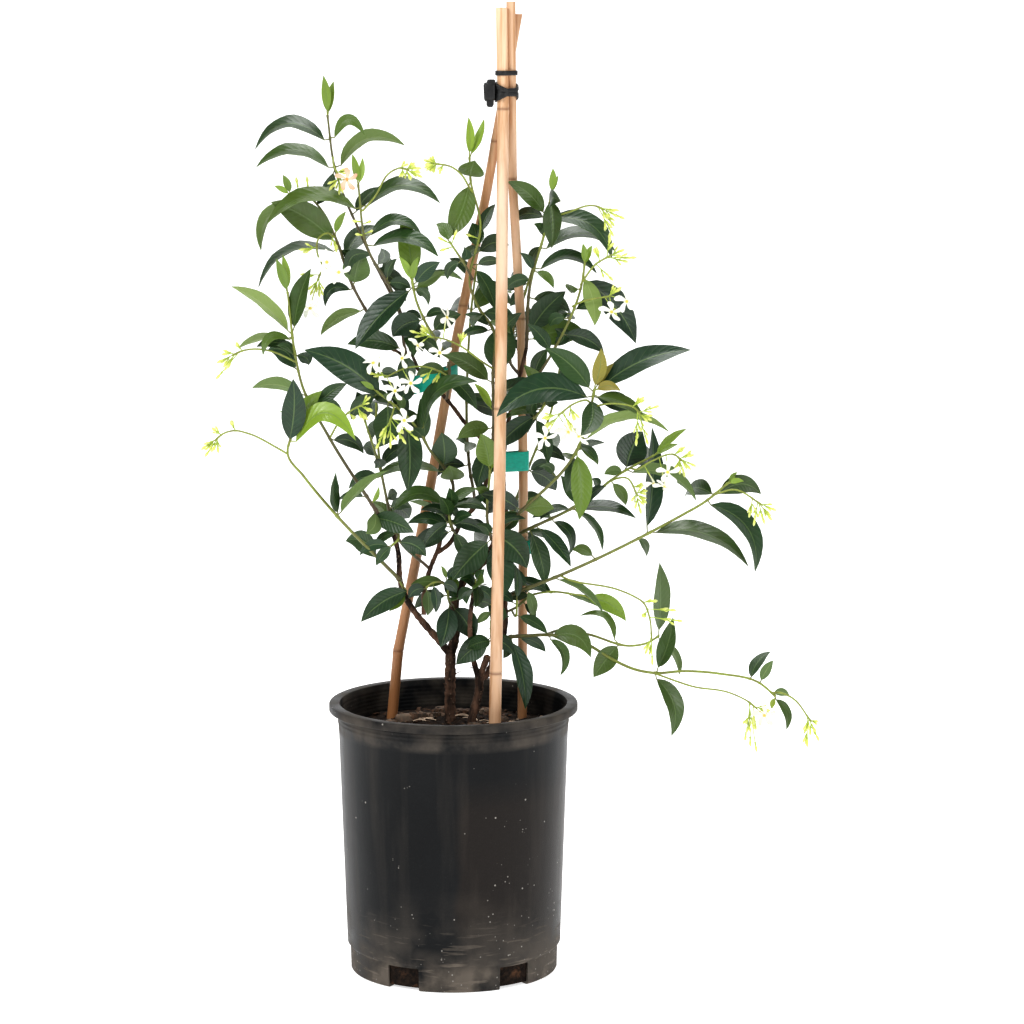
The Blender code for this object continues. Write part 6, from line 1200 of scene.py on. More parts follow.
class Plant:
    """Wood, leafy stems and sprays, grown in turn, each clear of what stands already."""

    def __init__(self):
        self.ground = Ground()
        self.stems, self.leaves, self.buds, self.flowers = {}, {}, {}, {}
        self.seed = SEED

    def next_seed(self):
        self.seed += 1
        return self.seed

    def set_wood(self):
        for name in CANES:
            self.ground.add(name, cane_mesh(name))
        for name in BANDS:
            self.ground.add(name, band_mesh(name))
        for name, branches in WOOD.items():
            self.stems[name] = []
            for start, end, readings in branches:
                route = thinned([place(reading) for reading in readings], WOOD_BEND)
                stem = Stem(route, start * MM, end * MM)
                self.stems[name].append(stem)
                self.ground.add(name, stem.mesh(WOOD_SIDES))

    def set_stem(self, name, host, readings, start, end, sides):
        seed = self.next_seed()
        stem = grow_stem(readings, host, self.stems[host], start, end, sides, self.ground, seed)
        if stem is None:
            raise ValueError(name + " finds no room")
        self.stems[name] = [stem]
        self.leaves[name], self.buds[name], self.flowers[name] = [], [], []

    def set_branches(self, name, entry):
        """Side stems, sunk into the main stem that they grow from."""
        start, end = (size * MM for size in entry["radius"])
        for readings in entry.get("branches", ()):
            route = thinned([place(reading) for reading in readings])
            trunk = self.stems[name][0]
            route[0] = trunk.at(trunk.nearest(route[0])[1])
            stem = Stem(route, between(start, end, 0.5), end)
            self.stems[name].append(stem)

    def grow(self):
        table = stem_table()
        self.set_wood()
        for name, entry in table.items():
            start, end = (size * MM for size in entry["radius"])
            self.set_stem(name, entry["host"], entry["stem"], start, end, STEM_SIDES)
            self.set_branches(name, entry)
            for stem in self.stems[name]:
                self.ground.add(name, stem.mesh(STEM_SIDES))
        for name, entry in SPRAYS.items():
            self.set_stem(name, entry["host"], entry["stalk"], *SPRAY_RADIUS, SPRAY_SIDES)
            self.ground.add(name, self.stems[name][0].mesh(SPRAY_SIDES))
        for name, entry in table.items():
            for row in entry["leaves"]:
                self.set_leaf(name, row, WIDTH_RATIO)
        for name, entry in SPRAYS.items():
            for reading in entry["flowers"]:
                flower = grow_flower(name, reading, self.stems[name], self.ground, self.next_seed())
                if flower:
                    self.ground.add(name + "_flower", flower_mesh(*flower, FLOWER_R))
                    self.flowers[name].append(flower)
            self.set_buds(name, entry)
        for name, entry in table.items():
            for row in entry["young"]:
                self.set_leaf(name, row, YOUNG_RATIO)
            self.set_buds(name, entry)
            draw = random.Random(self.next_seed())
            for _ in range(entry["back"]):
                stem = self.stems[name][0]
                self.set_leaf(name, back_row(stem, draw), WIDTH_RATIO)

    def set_buds(self, name, entry):
        for reading in entry.get("buds", ()):
            bud = grow_bud(name, reading, self.stems[name], self.ground, self.next_seed())
            if bud:
                self.ground.add(name + "_bud", bud_mesh(*bud))
                self.buds[name].append(bud)

    def set_leaf(self, name, row, ratio):
        leaf = grow_leaf(name, row, self.stems[name], ratio, self.ground, self.next_seed())
        if leaf:
            self.ground.add(name + "_leaf", leaf.mesh(BLADE))
            self.leaves[name].append((leaf, ratio == YOUNG_RATIO))


def inner_radius(height):
    """The pot's inner wall radius at a height."""
    share = (height - POT_FLOOR) / (POT_HEIGHT - POT_FLOOR)
    return between(POT_FOOT_R - POT_WALL - 0.0005, POT_TOP_R - POT_WALL, share)


@functools.lru_cache(maxsize=None)
def grown():
    """The whole plant, grown once."""
    plant = Plant()
    plant.grow()
    return plant


# Settings that a user would change


class PotSettings(bpy.types.PropertyGroup):
    sides: bpy.props.IntProperty(
        name="Sides", description="Flats round the pot", default=144, min=24, max=256)
    ridge: bpy.props.FloatProperty(
        name="Ridge", description="How far the rings inside the wall stand out",
        default=0.00035, unit="LENGTH")
    colour: bpy.props.FloatVectorProperty(
        name="Plastic", description="Colour of the clean plastic",
        subtype="COLOR", default=(0.0058, 0.0063, 0.0070))
    dust: bpy.props.FloatVectorProperty(
        name="Dust", description="Colour of the dried soil on it",
        subtype="COLOR", default=(0.135, 0.115, 0.095))
    soil: bpy.props.FloatVectorProperty(
        name="Soil", description="Colour of the moist soil", subtype="COLOR", default=(0.014, 0.008, 0.005))
    chips: bpy.props.IntProperty(
        name="Bark chips", description="Chips on the soil", default=260, min=0, max=900)


class CaneSettings(bpy.types.PropertyGroup):
    sides: bpy.props.IntProperty(name="Sides", description="Flats round a cane", default=28, min=8, max=64)
    colour: bpy.props.FloatVectorProperty(
        name="Cane", description="Colour of dry cane", subtype="COLOR", default=(0.80, 0.56, 0.37))
    tape: bpy.props.FloatVectorProperty(
        name="Tape", description="Colour of the plant tape", subtype="COLOR", default=(0.0, 0.40, 0.30))
    tie: bpy.props.FloatVectorProperty(
        name="Tie", description="Colour of the rubber ties", subtype="COLOR", default=(0.006, 0.006, 0.0065))


class LeafSettings(bpy.types.PropertyGroup):
    thickness: bpy.props.FloatProperty(
        name="Thickness", description="Thickness of a blade", default=0.0006, unit="LENGTH")
    wave: bpy.props.FloatProperty(
        name="Wave", description="How far a blade's margin waves", default=0.0006, unit="LENGTH")
    dark: bpy.props.FloatVectorProperty(
        name="Old leaf", description="Upper side of an old leaf",
        subtype="COLOR", default=(0.0072, 0.0280, 0.0098))
    fresh: bpy.props.FloatVectorProperty(
        name="Young leaf", description="Upper side of a young leaf",
        subtype="COLOR", default=(0.25, 0.38, 0.035))
    below: bpy.props.FloatVectorProperty(
        name="Underside", description="Underside of a leaf", subtype="COLOR", default=(0.115, 0.175, 0.055))
    bark: bpy.props.FloatVectorProperty(
        name="Bark", description="Colour of the old wood", subtype="COLOR", default=(0.085, 0.047, 0.030))


class FlowerSettings(bpy.types.PropertyGroup):
    petal: bpy.props.FloatVectorProperty(
        name="Petals", description="Colour of an open flower", subtype="COLOR", default=(0.92, 0.92, 0.86))
    bud: bpy.props.FloatVectorProperty(
        name="Buds", description="Colour of a bud", subtype="COLOR", default=(0.64, 0.70, 0.14))
    side_buds: bpy.props.IntProperty(
        name="Side buds", description="Small buds at each large one", default=3, max=5)


class StageSettings(bpy.types.PropertyGroup):
    floor: bpy.props.FloatVectorProperty(
        name="Floor", description="Colour of floor and backdrop", subtype="COLOR", default=(0.94, 0.94, 0.94))
    key: bpy.props.FloatProperty(
        name="Key light", description="Power of the main lamp", default=85.0, unit="POWER")
    lens: bpy.props.FloatProperty(name="Lens", description="Focal length of the camera in mm", default=125.4)


# Drawing by hand


def clear_selection():
    """Leaves edit mode and selects nothing."""
    if bpy.context.object and bpy.context.mode != "OBJECT":
        bpy.ops.object.mode_set(mode="OBJECT")
    bpy.ops.object.select_all(action="DESELECT")


def edit_all():
    bpy.ops.object.mode_set(mode="EDIT")
    bpy.ops.mesh.select_mode(type="VERT")
    bpy.ops.mesh.select_all(action="SELECT")


def pick(thing, test):
    """In edit mode, selects only the corners whose place passes a test."""
    bpy.ops.mesh.select_all(action="DESELECT")
    shape = bmesh.from_edit_mesh(thing.data)
    for corner in shape.verts:
        corner.select_set(test(corner.co))
    shape.select_flush(True)
    bmesh.update_edit_mesh(thing.data)


def close_up(merge=0.00001):
    """Merges what meets, turns every face outwards and leaves edit mode."""
    bpy.ops.mesh.select_all(action="SELECT")
    bpy.ops.mesh.remove_doubles(threshold=merge)
    bpy.ops.mesh.normals_make_consistent(inside=False)
    bpy.ops.object.mode_set(mode="OBJECT")


def draw_up(name, route, radii, sides):
    """A filled circle, pulled up step by step along a route and scaled at each step."""
    clear_selection()
    bpy.ops.mesh.primitive_circle_add(vertices=sides, radius=radii[0], fill_type="NGON", location=route[0])
    thing = bpy.context.object
    thing.name = name
    bpy.ops.object.transform_apply(location=True, rotation=False, scale=False)
    edit_all()
    for low, high, before, after in zip(route, route[1:], radii, radii[1:]):
        bpy.ops.mesh.extrude_region_move(TRANSFORM_OT_translate={"value": tuple(Vector(high) - Vector(low))})
        grow = after / before
        bpy.ops.transform.resize(value=(grow, grow, 1), center_override=tuple(high))
    close_up()
    return thing


def apply_all(thing):
    bpy.context.view_layer.objects.active = thing
    for modifier in list(thing.modifiers):
        bpy.ops.object.modifier_apply(modifier=modifier.name)


def taken(thing):
    """The corners and faces of a finished shape, whose object goes."""
    points = [corner.co.copy() for corner in thing.data.vertices]
    faces = [tuple(face.vertices) for face in thing.data.polygons]
    bpy.data.objects.remove(thing)
    return points, faces


def finish_shape(thing, nodes, degrees=50):
    """Shades a piece, sets it on the root body and lets it stand for its solids."""
    clear_selection()
    thing.select_set(True)
    bpy.context.view_layer.objects.active = thing
    thing.data.shade_smooth()
    thing.data.set_sharp_from_angle(angle=math.radians(degrees))
    thing.select_set(False)
    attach(thing, "root")
    if nodes:
        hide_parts(*nodes)
    return thing


def dye(thing, tint):
    """Gives each corner its tint, which the materials read."""
    layer = thing.data.color_attributes.new(name="tint", type="FLOAT_COLOR", domain="POINT")
    for corner, entry in zip(thing.data.vertices, layer.data):
        entry.color = (*tint(corner.co), 1.0)


class Mass:
    """Gathers the parts of one piece: corners, faces, finishes, tints and pattern coordinates."""

    def __init__(self, finishes):
        self.finishes = finishes
        self.points, self.faces, self.slots, self.tints, self.pattern = [], [], [], [], []

    def add(self, points, faces, finish, tints, pattern=None):
        first = len(self.points)
        self.points += points
        self.faces += [tuple(first + index for index in face) for face in faces]
        self.slots += [self.finishes.index(finish)] * len(faces)
        self.tints += tints
        self.pattern += pattern or [(0.5, 0.5)] * len(points)

    def sweep(self, route, radii, sides, finish, tints, round_end=True):
        """A tube along a route, with closed ends."""
        points, faces = ring_points(route, radii, sides), ring_faces(len(route), sides)
        colours = [tint for tint in tints for _ in range(sides)]
        last = (len(route) - 1) * sides
        if round_end:
            points.append(route[-1] + (route[-1] - route[-2]).normalized() * radii[-1] * 0.7)
            colours.append(tints[-1])
            faces += [(last + index, last + (index + 1) % sides, last + sides) for index in range(sides)]
        else:
            faces.append(tuple(range(last, last + sides)))
        self.add(points, faces, finish, colours)

    def piece(self, name, nodes, degrees=65):
        mesh = bpy.data.meshes.new(name)
        mesh.from_pydata([tuple(point) for point in self.points], [], self.faces)
        for finish in self.finishes:
            mesh.materials.append(bpy.data.materials[finish])
        mesh.polygons.foreach_set("material_index", self.slots)
        layer = mesh.color_attributes.new(name="tint", type="FLOAT_COLOR", domain="POINT")
        layer.data.foreach_set("color", [part for tint in self.tints for part in (*tint, 1.0)])
        pattern = mesh.uv_layers.new(name="pattern")
        for loop, entry in zip(mesh.loops, pattern.data):
            entry.uv = self.pattern[loop.vertex_index]
        mesh.validate()
        thing = bpy.data.objects.new(name, mesh)
        bpy.context.scene.collection.objects.link(thing)
        return finish_shape(thing, nodes, degrees)


# Finishes


class Finish:
    """A procedural material, put together node by node on its Principled shader."""

    def __init__(self, name, roughness=0.5, specular=0.5, **sockets):
        self.material = bpy.data.materials.new(name)
        self.material.use_nodes = True
        self.tree = self.material.node_tree
        self.shader = self.tree.nodes["Principled BSDF"]
        self.shader.inputs["Roughness"].default_value = roughness
        self.shader.inputs["Specular IOR Level"].default_value = specular
        for socket, value in sockets.items():
            self.shader.inputs[socket.replace("_", " ").title()].default_value = value

    def node(self, kind, **settings):
        made = self.tree.nodes.new(kind)
        for key, value in settings.items():
            setattr(made, key, value)
        return made

    def feed(self, socket, value):
        """Links a socket to an output, or sets its number or colour."""
        if isinstance(value, bpy.types.NodeSocket):
            self.tree.links.new(value, socket)
        elif isinstance(value, (tuple, list)) and len(value) == 3 and socket.type == "RGBA":
            socket.default_value = (*value, 1.0)
        else:
            socket.default_value = value

    def spot(self, stretch=(1, 1, 1)):
        """Object coordinates, stretched."""
        mapping = self.node("ShaderNodeMapping")
        mapping.inputs["Scale"].default_value = stretch
        self.feed(mapping.inputs["Vector"], self.node("ShaderNodeTexCoord").outputs["Object"])
        return mapping.outputs["Vector"]

    def noise(self, scale, detail=3.0, stretch=(1, 1, 1)):
        made = self.node("ShaderNodeTexNoise")
        made.inputs["Scale"].default_value = scale
        made.inputs["Detail"].default_value = detail
        self.feed(made.inputs["Vector"], self.spot(stretch))
        return made.outputs["Fac"]

    def cells(self, scale, stretch=(1, 1, 1)):
        made = self.node("ShaderNodeTexVoronoi")
        made.inputs["Scale"].default_value = scale
        self.feed(made.inputs["Vector"], self.spot(stretch))
        return made.outputs["Distance"]

    def sum(self, operation, *values):
        made = self.node("ShaderNodeMath", operation=operation)
        for socket, value in zip(made.inputs, values):
            self.feed(socket, value)
        return made.outputs["Value"]

    def span(self, value, low, high, start=0.0, end=1.0):
        """Maps a value from one range to another, and keeps it there."""
        made = self.node("ShaderNodeMapRange")
        for socket, number in zip(made.inputs, (value, low, high, start, end)):
            self.feed(socket, number)
        return made.outputs["Result"]

    def mix(self, share, one, two):
        made = self.node("ShaderNodeMix", data_type="RGBA")
        self.feed(made.inputs[0], share)
        self.feed(made.inputs[6], one)
        self.feed(made.inputs[7], two)
        return made.outputs[2]

    def tint(self):
        """The three tints that each corner carries."""
        made = self.node("ShaderNodeSeparateColor")
        self.feed(made.inputs[0], self.node("ShaderNodeAttribute", attribute_name="tint").outputs["Color"])
        return made.outputs[0], made.outputs[1], made.outputs[2]

    def pattern(self):
        """The two coordinates of the piece's own map."""
        made = self.node("ShaderNodeSeparateXYZ")
        self.feed(made.inputs[0], self.node("ShaderNodeUVMap", uv_map="pattern").outputs["UV"])
        return made.outputs[0], made.outputs[1]

    def place(self, axis):
        """The object coordinate along one axis."""
        made = self.node("ShaderNodeSeparateXYZ")
        self.feed(made.inputs[0], self.spot())
        return made.outputs[axis]

    def bump(self, height, strength, distance):
        made = self.node("ShaderNodeBump")
        made.inputs["Strength"].default_value = strength
        made.inputs["Distance"].default_value = distance
        self.feed(made.inputs["Height"], height)
        self.feed(self.shader.inputs["Normal"], made.outputs["Normal"])

    def colour(self, value):
        self.feed(self.shader.inputs["Base Color"], value)

    def roughness(self, value):
        self.feed(self.shader.inputs["Roughness"], value)


def shade(colour, factor):
    return tuple(part * factor for part in colour)


def pot_finish(settings):
    """Black plastic: a painted reflection on one half, scuffs, pale specks and dried soil on foot and rim."""
    made = Finish("pot_plastic", specular=0.14)
    plastic, dust = tuple(settings.colour), tuple(settings.dust)
    height, across = made.place("Z"), made.place("X")
    # Painted reflection: a lighter brownish patch on the right half of the pot, with a ragged edge, from
    # above the foot to below the rim.
    reflection_edge = made.sum("ADD", across, made.sum("MULTIPLY", made.noise(9, 5), 0.05))
    painted_reflection = made.sum("MULTIPLY", made.span(reflection_edge, 0.028, 0.038), made.span(height, 0.03, 0.09))
    painted_reflection = made.sum("MULTIPLY", painted_reflection, made.span(height, 0.235, 0.20))
    cloudy = made.mix(made.span(made.noise(7, 5), 0.35, 0.7), plastic, shade(plastic, 1.8))
    # The painted reflection is mixed into the plastic here.
    cloudy = made.mix(painted_reflection, cloudy, (0.0155, 0.0125, 0.0110))

    def patches(scale, detail, thin, full, start, end, most, stretch=(1, 1, 1)):
        """Cloudy patches that grow from none at one height to most at another."""
        cloud = made.span(made.noise(scale, detail, stretch), thin, full)
        return made.sum("MULTIPLY", made.span(height, start, end, 0.0, most), cloud)

    foot = patches(34, 6, 0.33, 0.62, 0.050, 0.020, 0.85)
    low = patches(13, 7, 0.45, 0.66, 0.115, 0.02, 0.6)
    rim = patches(26, 6, 0.38, 0.66, 0.262, 0.268, 0.5)
    scuffs = made.span(made.noise(40, 6, (1, 1, 0.10)), 0.50, 0.72, 0.0, 0.12)
    scratch = patches(30, 4, 0.58, 0.66, 0.09, 0.03, 0.5, (1, 1, 9))
    coat = made.sum("MAXIMUM", made.sum("MAXIMUM", foot, low), rim)
    coat = made.sum("MINIMUM", made.sum("ADD", coat, made.sum("ADD", scuffs, scratch)), 1.0)
    right = made.span(across, -0.05, 0.10, 0.0, 0.05)
    crowd = made.sum("ADD", made.span(height, 0.16, 0.0, 0.0, 0.12), right)
    chosen = made.span(made.sum("ADD", made.noise(60, 3), crowd), 0.66, 0.72)
    specks = made.sum("MULTIPLY", made.span(made.cells(190), 0.20, 0.10), chosen)
    few = made.sum("MULTIPLY", made.span(made.cells(45), 0.052, 0.034), 0.8)
    specks = made.sum("MAXIMUM", made.sum("MULTIPLY", specks, 0.75), few)
    made.colour(made.mix(specks, made.mix(coat, cloudy, dust), (0.36, 0.34, 0.31)))
    made.roughness(made.span(coat, 0, 0.6, 0.36, 0.75))
    fine = made.sum("ADD", made.noise(900, 2), made.sum("MULTIPLY", made.noise(60, 4, (1, 1, 0.25)), 1.5))
    made.bump(fine, 0.35, 0.0004)
    return made.material


def soil_finish(settings):
    made = Finish("soil_crumbs", roughness=0.95, specular=0.25)
    soil = tuple(settings.soil)
    dark = made.mix(made.span(made.noise(240, 5), 0.35, 0.65), shade(soil, 0.35), shade(soil, 1.6))
    made.colour(made.mix(made.span(made.noise(75, 4), 0.58, 0.72), dark, (0.085, 0.042, 0.022)))
    made.bump(made.noise(420, 6), 0.9, 0.0015)
    return made.material


def chip_finish():
    """Bark and fibres: the first tint runs from dark to pale."""
    made = Finish("bark_chip", roughness=0.85, specular=0.3)
    pale, _, _ = made.tint()
    fibre = made.span(made.noise(300, 6, (1, 1, 0.5)), 0.4, 0.6)
    old = made.mix(fibre, (0.010, 0.006, 0.004), (0.085, 0.042, 0.023))
    made.colour(made.mix(pale, old, (0.58, 0.45, 0.34)))
    made.bump(made.noise(700, 4), 0.6, 0.0006)
    return made.material


def cane_finish(settings):
    """Dry cane: long streaks, a dark line at each node, and a pithy cut end."""
    made = Finish("dry_cane")
    node, tone, cut_end = made.tint()
    cane = tuple(settings.colour)
    streak = made.noise(150, 4, (1, 1, 0.035))
    brown = (cane[0] * 0.70, cane[1] * 0.55, cane[2] * 0.42)
    body = made.mix(made.span(streak, 0.42, 0.60), shade(cane, 1.10), brown)
    worn = made.span(made.noise(24, 6, (1, 1, 0.3)), 0.48, 0.66, 0.0, 0.8)
    body = made.mix(worn, body, (0.86, 0.66, 0.50))
    stain = made.span(made.noise(13, 6, (1, 1, 0.35)), 0.56, 0.74, 0.0, 0.55)
    body = made.mix(stain, body, (0.42, 0.20, 0.095))
    body = made.mix(tone, body, (0.36, 0.165, 0.068))
    marks = made.span(made.cells(75, (1, 1, 0.55)), 0.14, 0.05)
    marks = made.sum("MULTIPLY", marks, made.span(made.noise(34, 2), 0.56, 0.64))
    body = made.mix(made.sum("MULTIPLY", marks, 0.65), body, (0.20, 0.090, 0.040))
    body = made.mix(made.sum("MULTIPLY", node, 0.8), body, (0.19, 0.085, 0.040))
    made.colour(made.mix(cut_end, body, (0.22, 0.12, 0.06)))
    made.roughness(made.span(streak, 0.3, 0.7, 0.36, 0.55))
    fibre = made.sum("MULTIPLY", made.noise(500, 3, (1, 1, 0.15)), 0.4)
    made.bump(made.sum("ADD", streak, fibre), 0.35, 0.0004)
    return made.material


def bark_finish(settings):
    """Brown bark with pale pores. The second tint marks a fresh cut."""
    made = Finish("bark", roughness=0.85, specular=0.3)
    _, cut_end, _ = made.tint()
    bark = tuple(settings.bark)
    cracks = made.span(made.noise(90, 6, (1, 1, 0.35)), 0.40, 0.62)
    body = made.mix(cracks, shade(bark, 0.22), shade(bark, 1.7))
    pores = made.sum("MULTIPLY", made.span(made.cells(210, (1, 1, 0.7)), 0.26, 0.10), 0.8)
    body = made.mix(pores, body, (0.24, 0.17, 0.12))
    made.colour(made.mix(cut_end, body, (0.46, 0.20, 0.08)))
    made.bump(made.sum("ADD", made.noise(210, 6, (1, 1, 0.4)), pores), 1.0, 0.0028)
    return made.material


def stem_finish(settings):
    """Green stem that turns brown with age, which the first tint gives."""
    made = Finish("green_stem", roughness=0.45)
    age, tone, _ = made.tint()
    bark = tuple(settings.bark)
    young = made.mix(tone, (0.30, 0.36, 0.05), (0.17, 0.22, 0.04))
    body = made.mix(made.span(age, 0.15, 0.55), young, (0.085, 0.080, 0.028))
    body = made.mix(made.span(age, 0.55, 1.0), body, shade(bark, 0.8))
    body = made.mix(made.span(made.noise(160, 4, (1, 1, 0.4)), 0.4, 0.7, 0.0, 0.45), body, shade(bark, 1.2))
    made.colour(body)
    made.bump(made.noise(420, 4), 0.3, 0.0005)
    return made.material


def leaf_finish(settings):
    """Glossy leaf with midrib, side veins and small pale specks painted as glints. Tints: tone, youth,
    underside.
    """
    made = Finish("glossy_leaf")
    tone, youth, under = made.tint()
    share, across = made.pattern()
    side = made.sum("ABSOLUTE", made.sum("SUBTRACT", made.sum("MULTIPLY", across, 2.0), 1.0))
    phase = made.sum("SUBTRACT", made.sum("MULTIPLY", share, 11.0), made.sum("MULTIPLY", side, 2.1))
    swing = made.sum("ABSOLUTE", made.sum("SUBTRACT", made.sum("FRACT", phase), 0.5))
    vein = made.sum("MULTIPLY", made.span(swing, 0.44, 0.5), made.span(side, 1.0, 0.5))
    midrib = made.span(side, 0.075, 0.03)
    old = tuple(settings.dark)
    top = made.mix(tone, shade(old, 0.55), (old[0] * 1.8, old[1] * 1.6, old[2] * 1.5))
    top = made.mix(made.span(made.noise(85, 5), 0.35, 0.7, 0.0, 0.7), top, shade(old, 1.7))
    top = made.mix(made.sum("MINIMUM", youth, 1.0), top, tuple(settings.fresh))
    top = made.mix(made.span(youth, 1.0, 1.6, 0.0, 0.85), top, (0.22, 0.085, 0.018))
    below = made.mix(made.span(youth, 0, 1, 0.0, 0.8), tuple(settings.below), (0.34, 0.44, 0.09))
    below = made.mix(made.span(tone, 0, 1, 0.35, 0.0), below, shade(old, 3.2))
    lines = made.sum("MAXIMUM", made.sum("MULTIPLY", midrib, 0.55), made.sum("MULTIPLY", vein, 0.22))
    top = made.mix(lines, top, (0.13, 0.20, 0.065))
    below = made.mix(lines, below, (0.26, 0.33, 0.12))
    body = made.mix(under, top, below)
    # Painted highlights: small pale glints in patches, painted into the colour of both faces of the leaf.
    chosen = made.span(made.noise(48, 2), 0.60, 0.68)
    specks = made.sum("MULTIPLY", made.span(made.cells(210), 0.09, 0.03), chosen)
    made.colour(made.mix(made.sum("MULTIPLY", specks, 0.5), body, (0.42, 0.46, 0.38)))
    dull = made.span(made.noise(120, 4), 0.3, 0.7, 0.0, 0.12)
    made.roughness(made.sum("ADD", made.span(under, 0, 1, 0.30, 0.58), dull))
    quilt = made.sum("MULTIPLY", made.sum("MULTIPLY", swing, swing), -2.4)
    relief = made.sum("SUBTRACT", quilt, made.sum("MULTIPLY", midrib, 0.8))
    made.bump(made.sum("ADD", relief, made.sum("MULTIPLY", made.noise(330, 3), 0.35)), 0.32, 0.0007)
    return made.material


def bloom_finish(settings):
    """Buds and flowers. Tints: from green through the buds' yellow to white, the eye, fading."""
    made = Finish("bloom", roughness=0.55, specular=0.35)
    opened, eye, fading = made.tint()
    body = made.mix(made.span(opened, 0.0, 0.5), (0.33, 0.45, 0.06), tuple(settings.bud))
    body = made.mix(made.span(opened, 0.5, 1.0), body, tuple(settings.petal))
    body = made.mix(eye, body, (0.72, 0.56, 0.05))
    body = made.mix(fading, body, (0.72, 0.27, 0.07))
    made.colour(made.mix(made.span(made.noise(500, 3), 0.4, 0.75, 0.0, 0.18), body, (0.55, 0.58, 0.28)))
    made.bump(made.noise(900, 3), 0.2, 0.0003)
    return made.material


def band_finish(name, colour, roughness):
    """Rubber or film, with fine creases."""
    made = Finish(name, roughness=roughness)
    crease = made.noise(260, 4, (1, 1, 2.2))
    made.colour(made.mix(made.span(crease, 0.4, 0.7, 0.0, 0.5), tuple(colour), shade(colour, 0.55)))
    made.bump(crease, 0.5, 0.0006)
    return made.material


def stage_finish(settings):
    made = Finish("pale_floor", roughness=0.9, specular=0.1)
    floor = tuple(settings.floor)
    made.colour(made.mix(made.span(made.noise(3, 2), 0.3, 0.7), floor, shade(floor, 0.985)))
    made.shader.inputs["Emission Color"].default_value = (1, 1, 1, 1)
    made.shader.inputs["Emission Strength"].default_value = FLOOR_GLOW
    return made.material


# Pot and soil


def pot_profile(settings):
    """The pot's outline from the foot up the outside, over the rim and down the inside."""
    top = POT_HEIGHT
    foot, band, base = POT_FOOT_R, FOOT_BAND, POT_BASE_R + 0.001
    steps = [
        (foot - 0.0025, 0.0), (foot - 0.0008, 0.0005), (foot, 0.002), (foot + 0.0007, band - 0.001),
        (foot + 0.0008, band), (base - 0.0006, band + 0.0022), (base, band + 0.0032),
    ]
    for share in (0.15, 0.3, 0.45, 0.6, 0.75, 0.88):
        height = between(band + 0.0032, top - RIM_PLATE, share)
        steps.append((between(base, POT_TOP_R, share), height))
    for ring in range(4):
        height = top - RIM_PLATE - 0.019 + 0.0042 * ring
        steps += [(POT_TOP_R - 0.0002, height), (POT_TOP_R + 0.0002, height + 0.001)]
        steps.append((POT_TOP_R - 0.0001, height + 0.002))
    inside = RIM_R - RIM_LIP
    steps += [
        (POT_TOP_R, top - RIM_PLATE - 0.001), (POT_TOP_R + 0.001, top - RIM_PLATE),
        (inside - 0.0008, top - RIM_PLATE), (inside, top - RIM_PLATE - 0.0008),
        (inside, top - RIM_SKIRT + 0.0006), (inside + 0.0006, top - RIM_SKIRT),
        (RIM_R - 0.0007, top - RIM_SKIRT), (RIM_R, top - RIM_SKIRT + 0.0007), (RIM_R, top - 0.0016),
        (RIM_R - 0.0005, top - 0.0006), (RIM_R - 0.0016, top), (inner_radius(top) + 0.0012, top - 0.0001),
        (inner_radius(top) + 0.0003, top - 0.0005), (inner_radius(top), top - 0.0014),
    ]
    for ring in range(9):
        height = top - 0.006 - 0.0042 * ring
        wall = inner_radius(height)
        steps += [(wall, height), (wall - settings.ridge, height - 0.0012), (wall, height - 0.0024)]
    steps += [(inner_radius(0.2), 0.2), (inner_radius(0.1), 0.1), (inner_radius(POT_FLOOR), POT_FLOOR)]
    return steps


def slot_cutter(angle):
    """A block with rounded edges, for one drain slot at the foot."""
    turn = math.radians(angle - 90)
    clear_selection()
    place_at = (POT_FOOT_R * math.cos(turn), POT_FOOT_R * math.sin(turn), 0)
    bpy.ops.mesh.primitive_cube_add(size=1, location=place_at, rotation=(0, 0, turn))
    cutter = bpy.context.object
    cutter.scale = (2 * SLOT_DEPTH, SLOT_WIDTH, 2 * SLOT_HEIGHT)
    bpy.ops.object.transform_apply(location=True, rotation=True, scale=True)
    edge = cutter.modifiers.new("edge", "BEVEL")
    edge.width = 0.0012
    edge.segments = 2
    apply_all(cutter)
    return cutter


def draw_pot(settings):
    steps = pot_profile(settings)
    route = [(0, 0, height) for _, height in steps]
    pot = draw_up("nursery_pot", route, [radius for radius, _ in steps], settings.sides)
    for angle in SLOT_ANGLES:
        cutter = slot_cutter(angle)
        slot = pot.modifiers.new("slot", "BOOLEAN")
        slot.operation = "DIFFERENCE"
        slot.object = cutter
        apply_all(pot)
        bpy.data.objects.remove(cutter)
    pot.data.materials.append(pot_finish(settings))
    finish_shape(pot, ["pot"], 40)


SOIL_RINGS = 34
SOIL_SIDES = 168
SOIL_EDGE = 0.004


def soil_height(x, y):
    """The lumpy soil surface."""
    radius = math.hypot(x, y)
    share = min(radius / inner_radius(SOIL_TOP), 1.0)
    mound = SOIL_MOUND * (1 - share ** 1.6)
    wave = SOIL_WAVE * math.sin(x * SOIL_WAVES[0] + 1) * math.cos(y * SOIL_WAVES[1]) * (1 - share)
    lumps = noise.fractal(Vector((x, y, 0)) * 55, 1.0, 2.0, 3) * 0.0040
    crumbs = noise.noise(Vector((x, y, 0.3)) * 240) * 0.0014
    return SOIL_TOP + mound + wave + lumps + crumbs


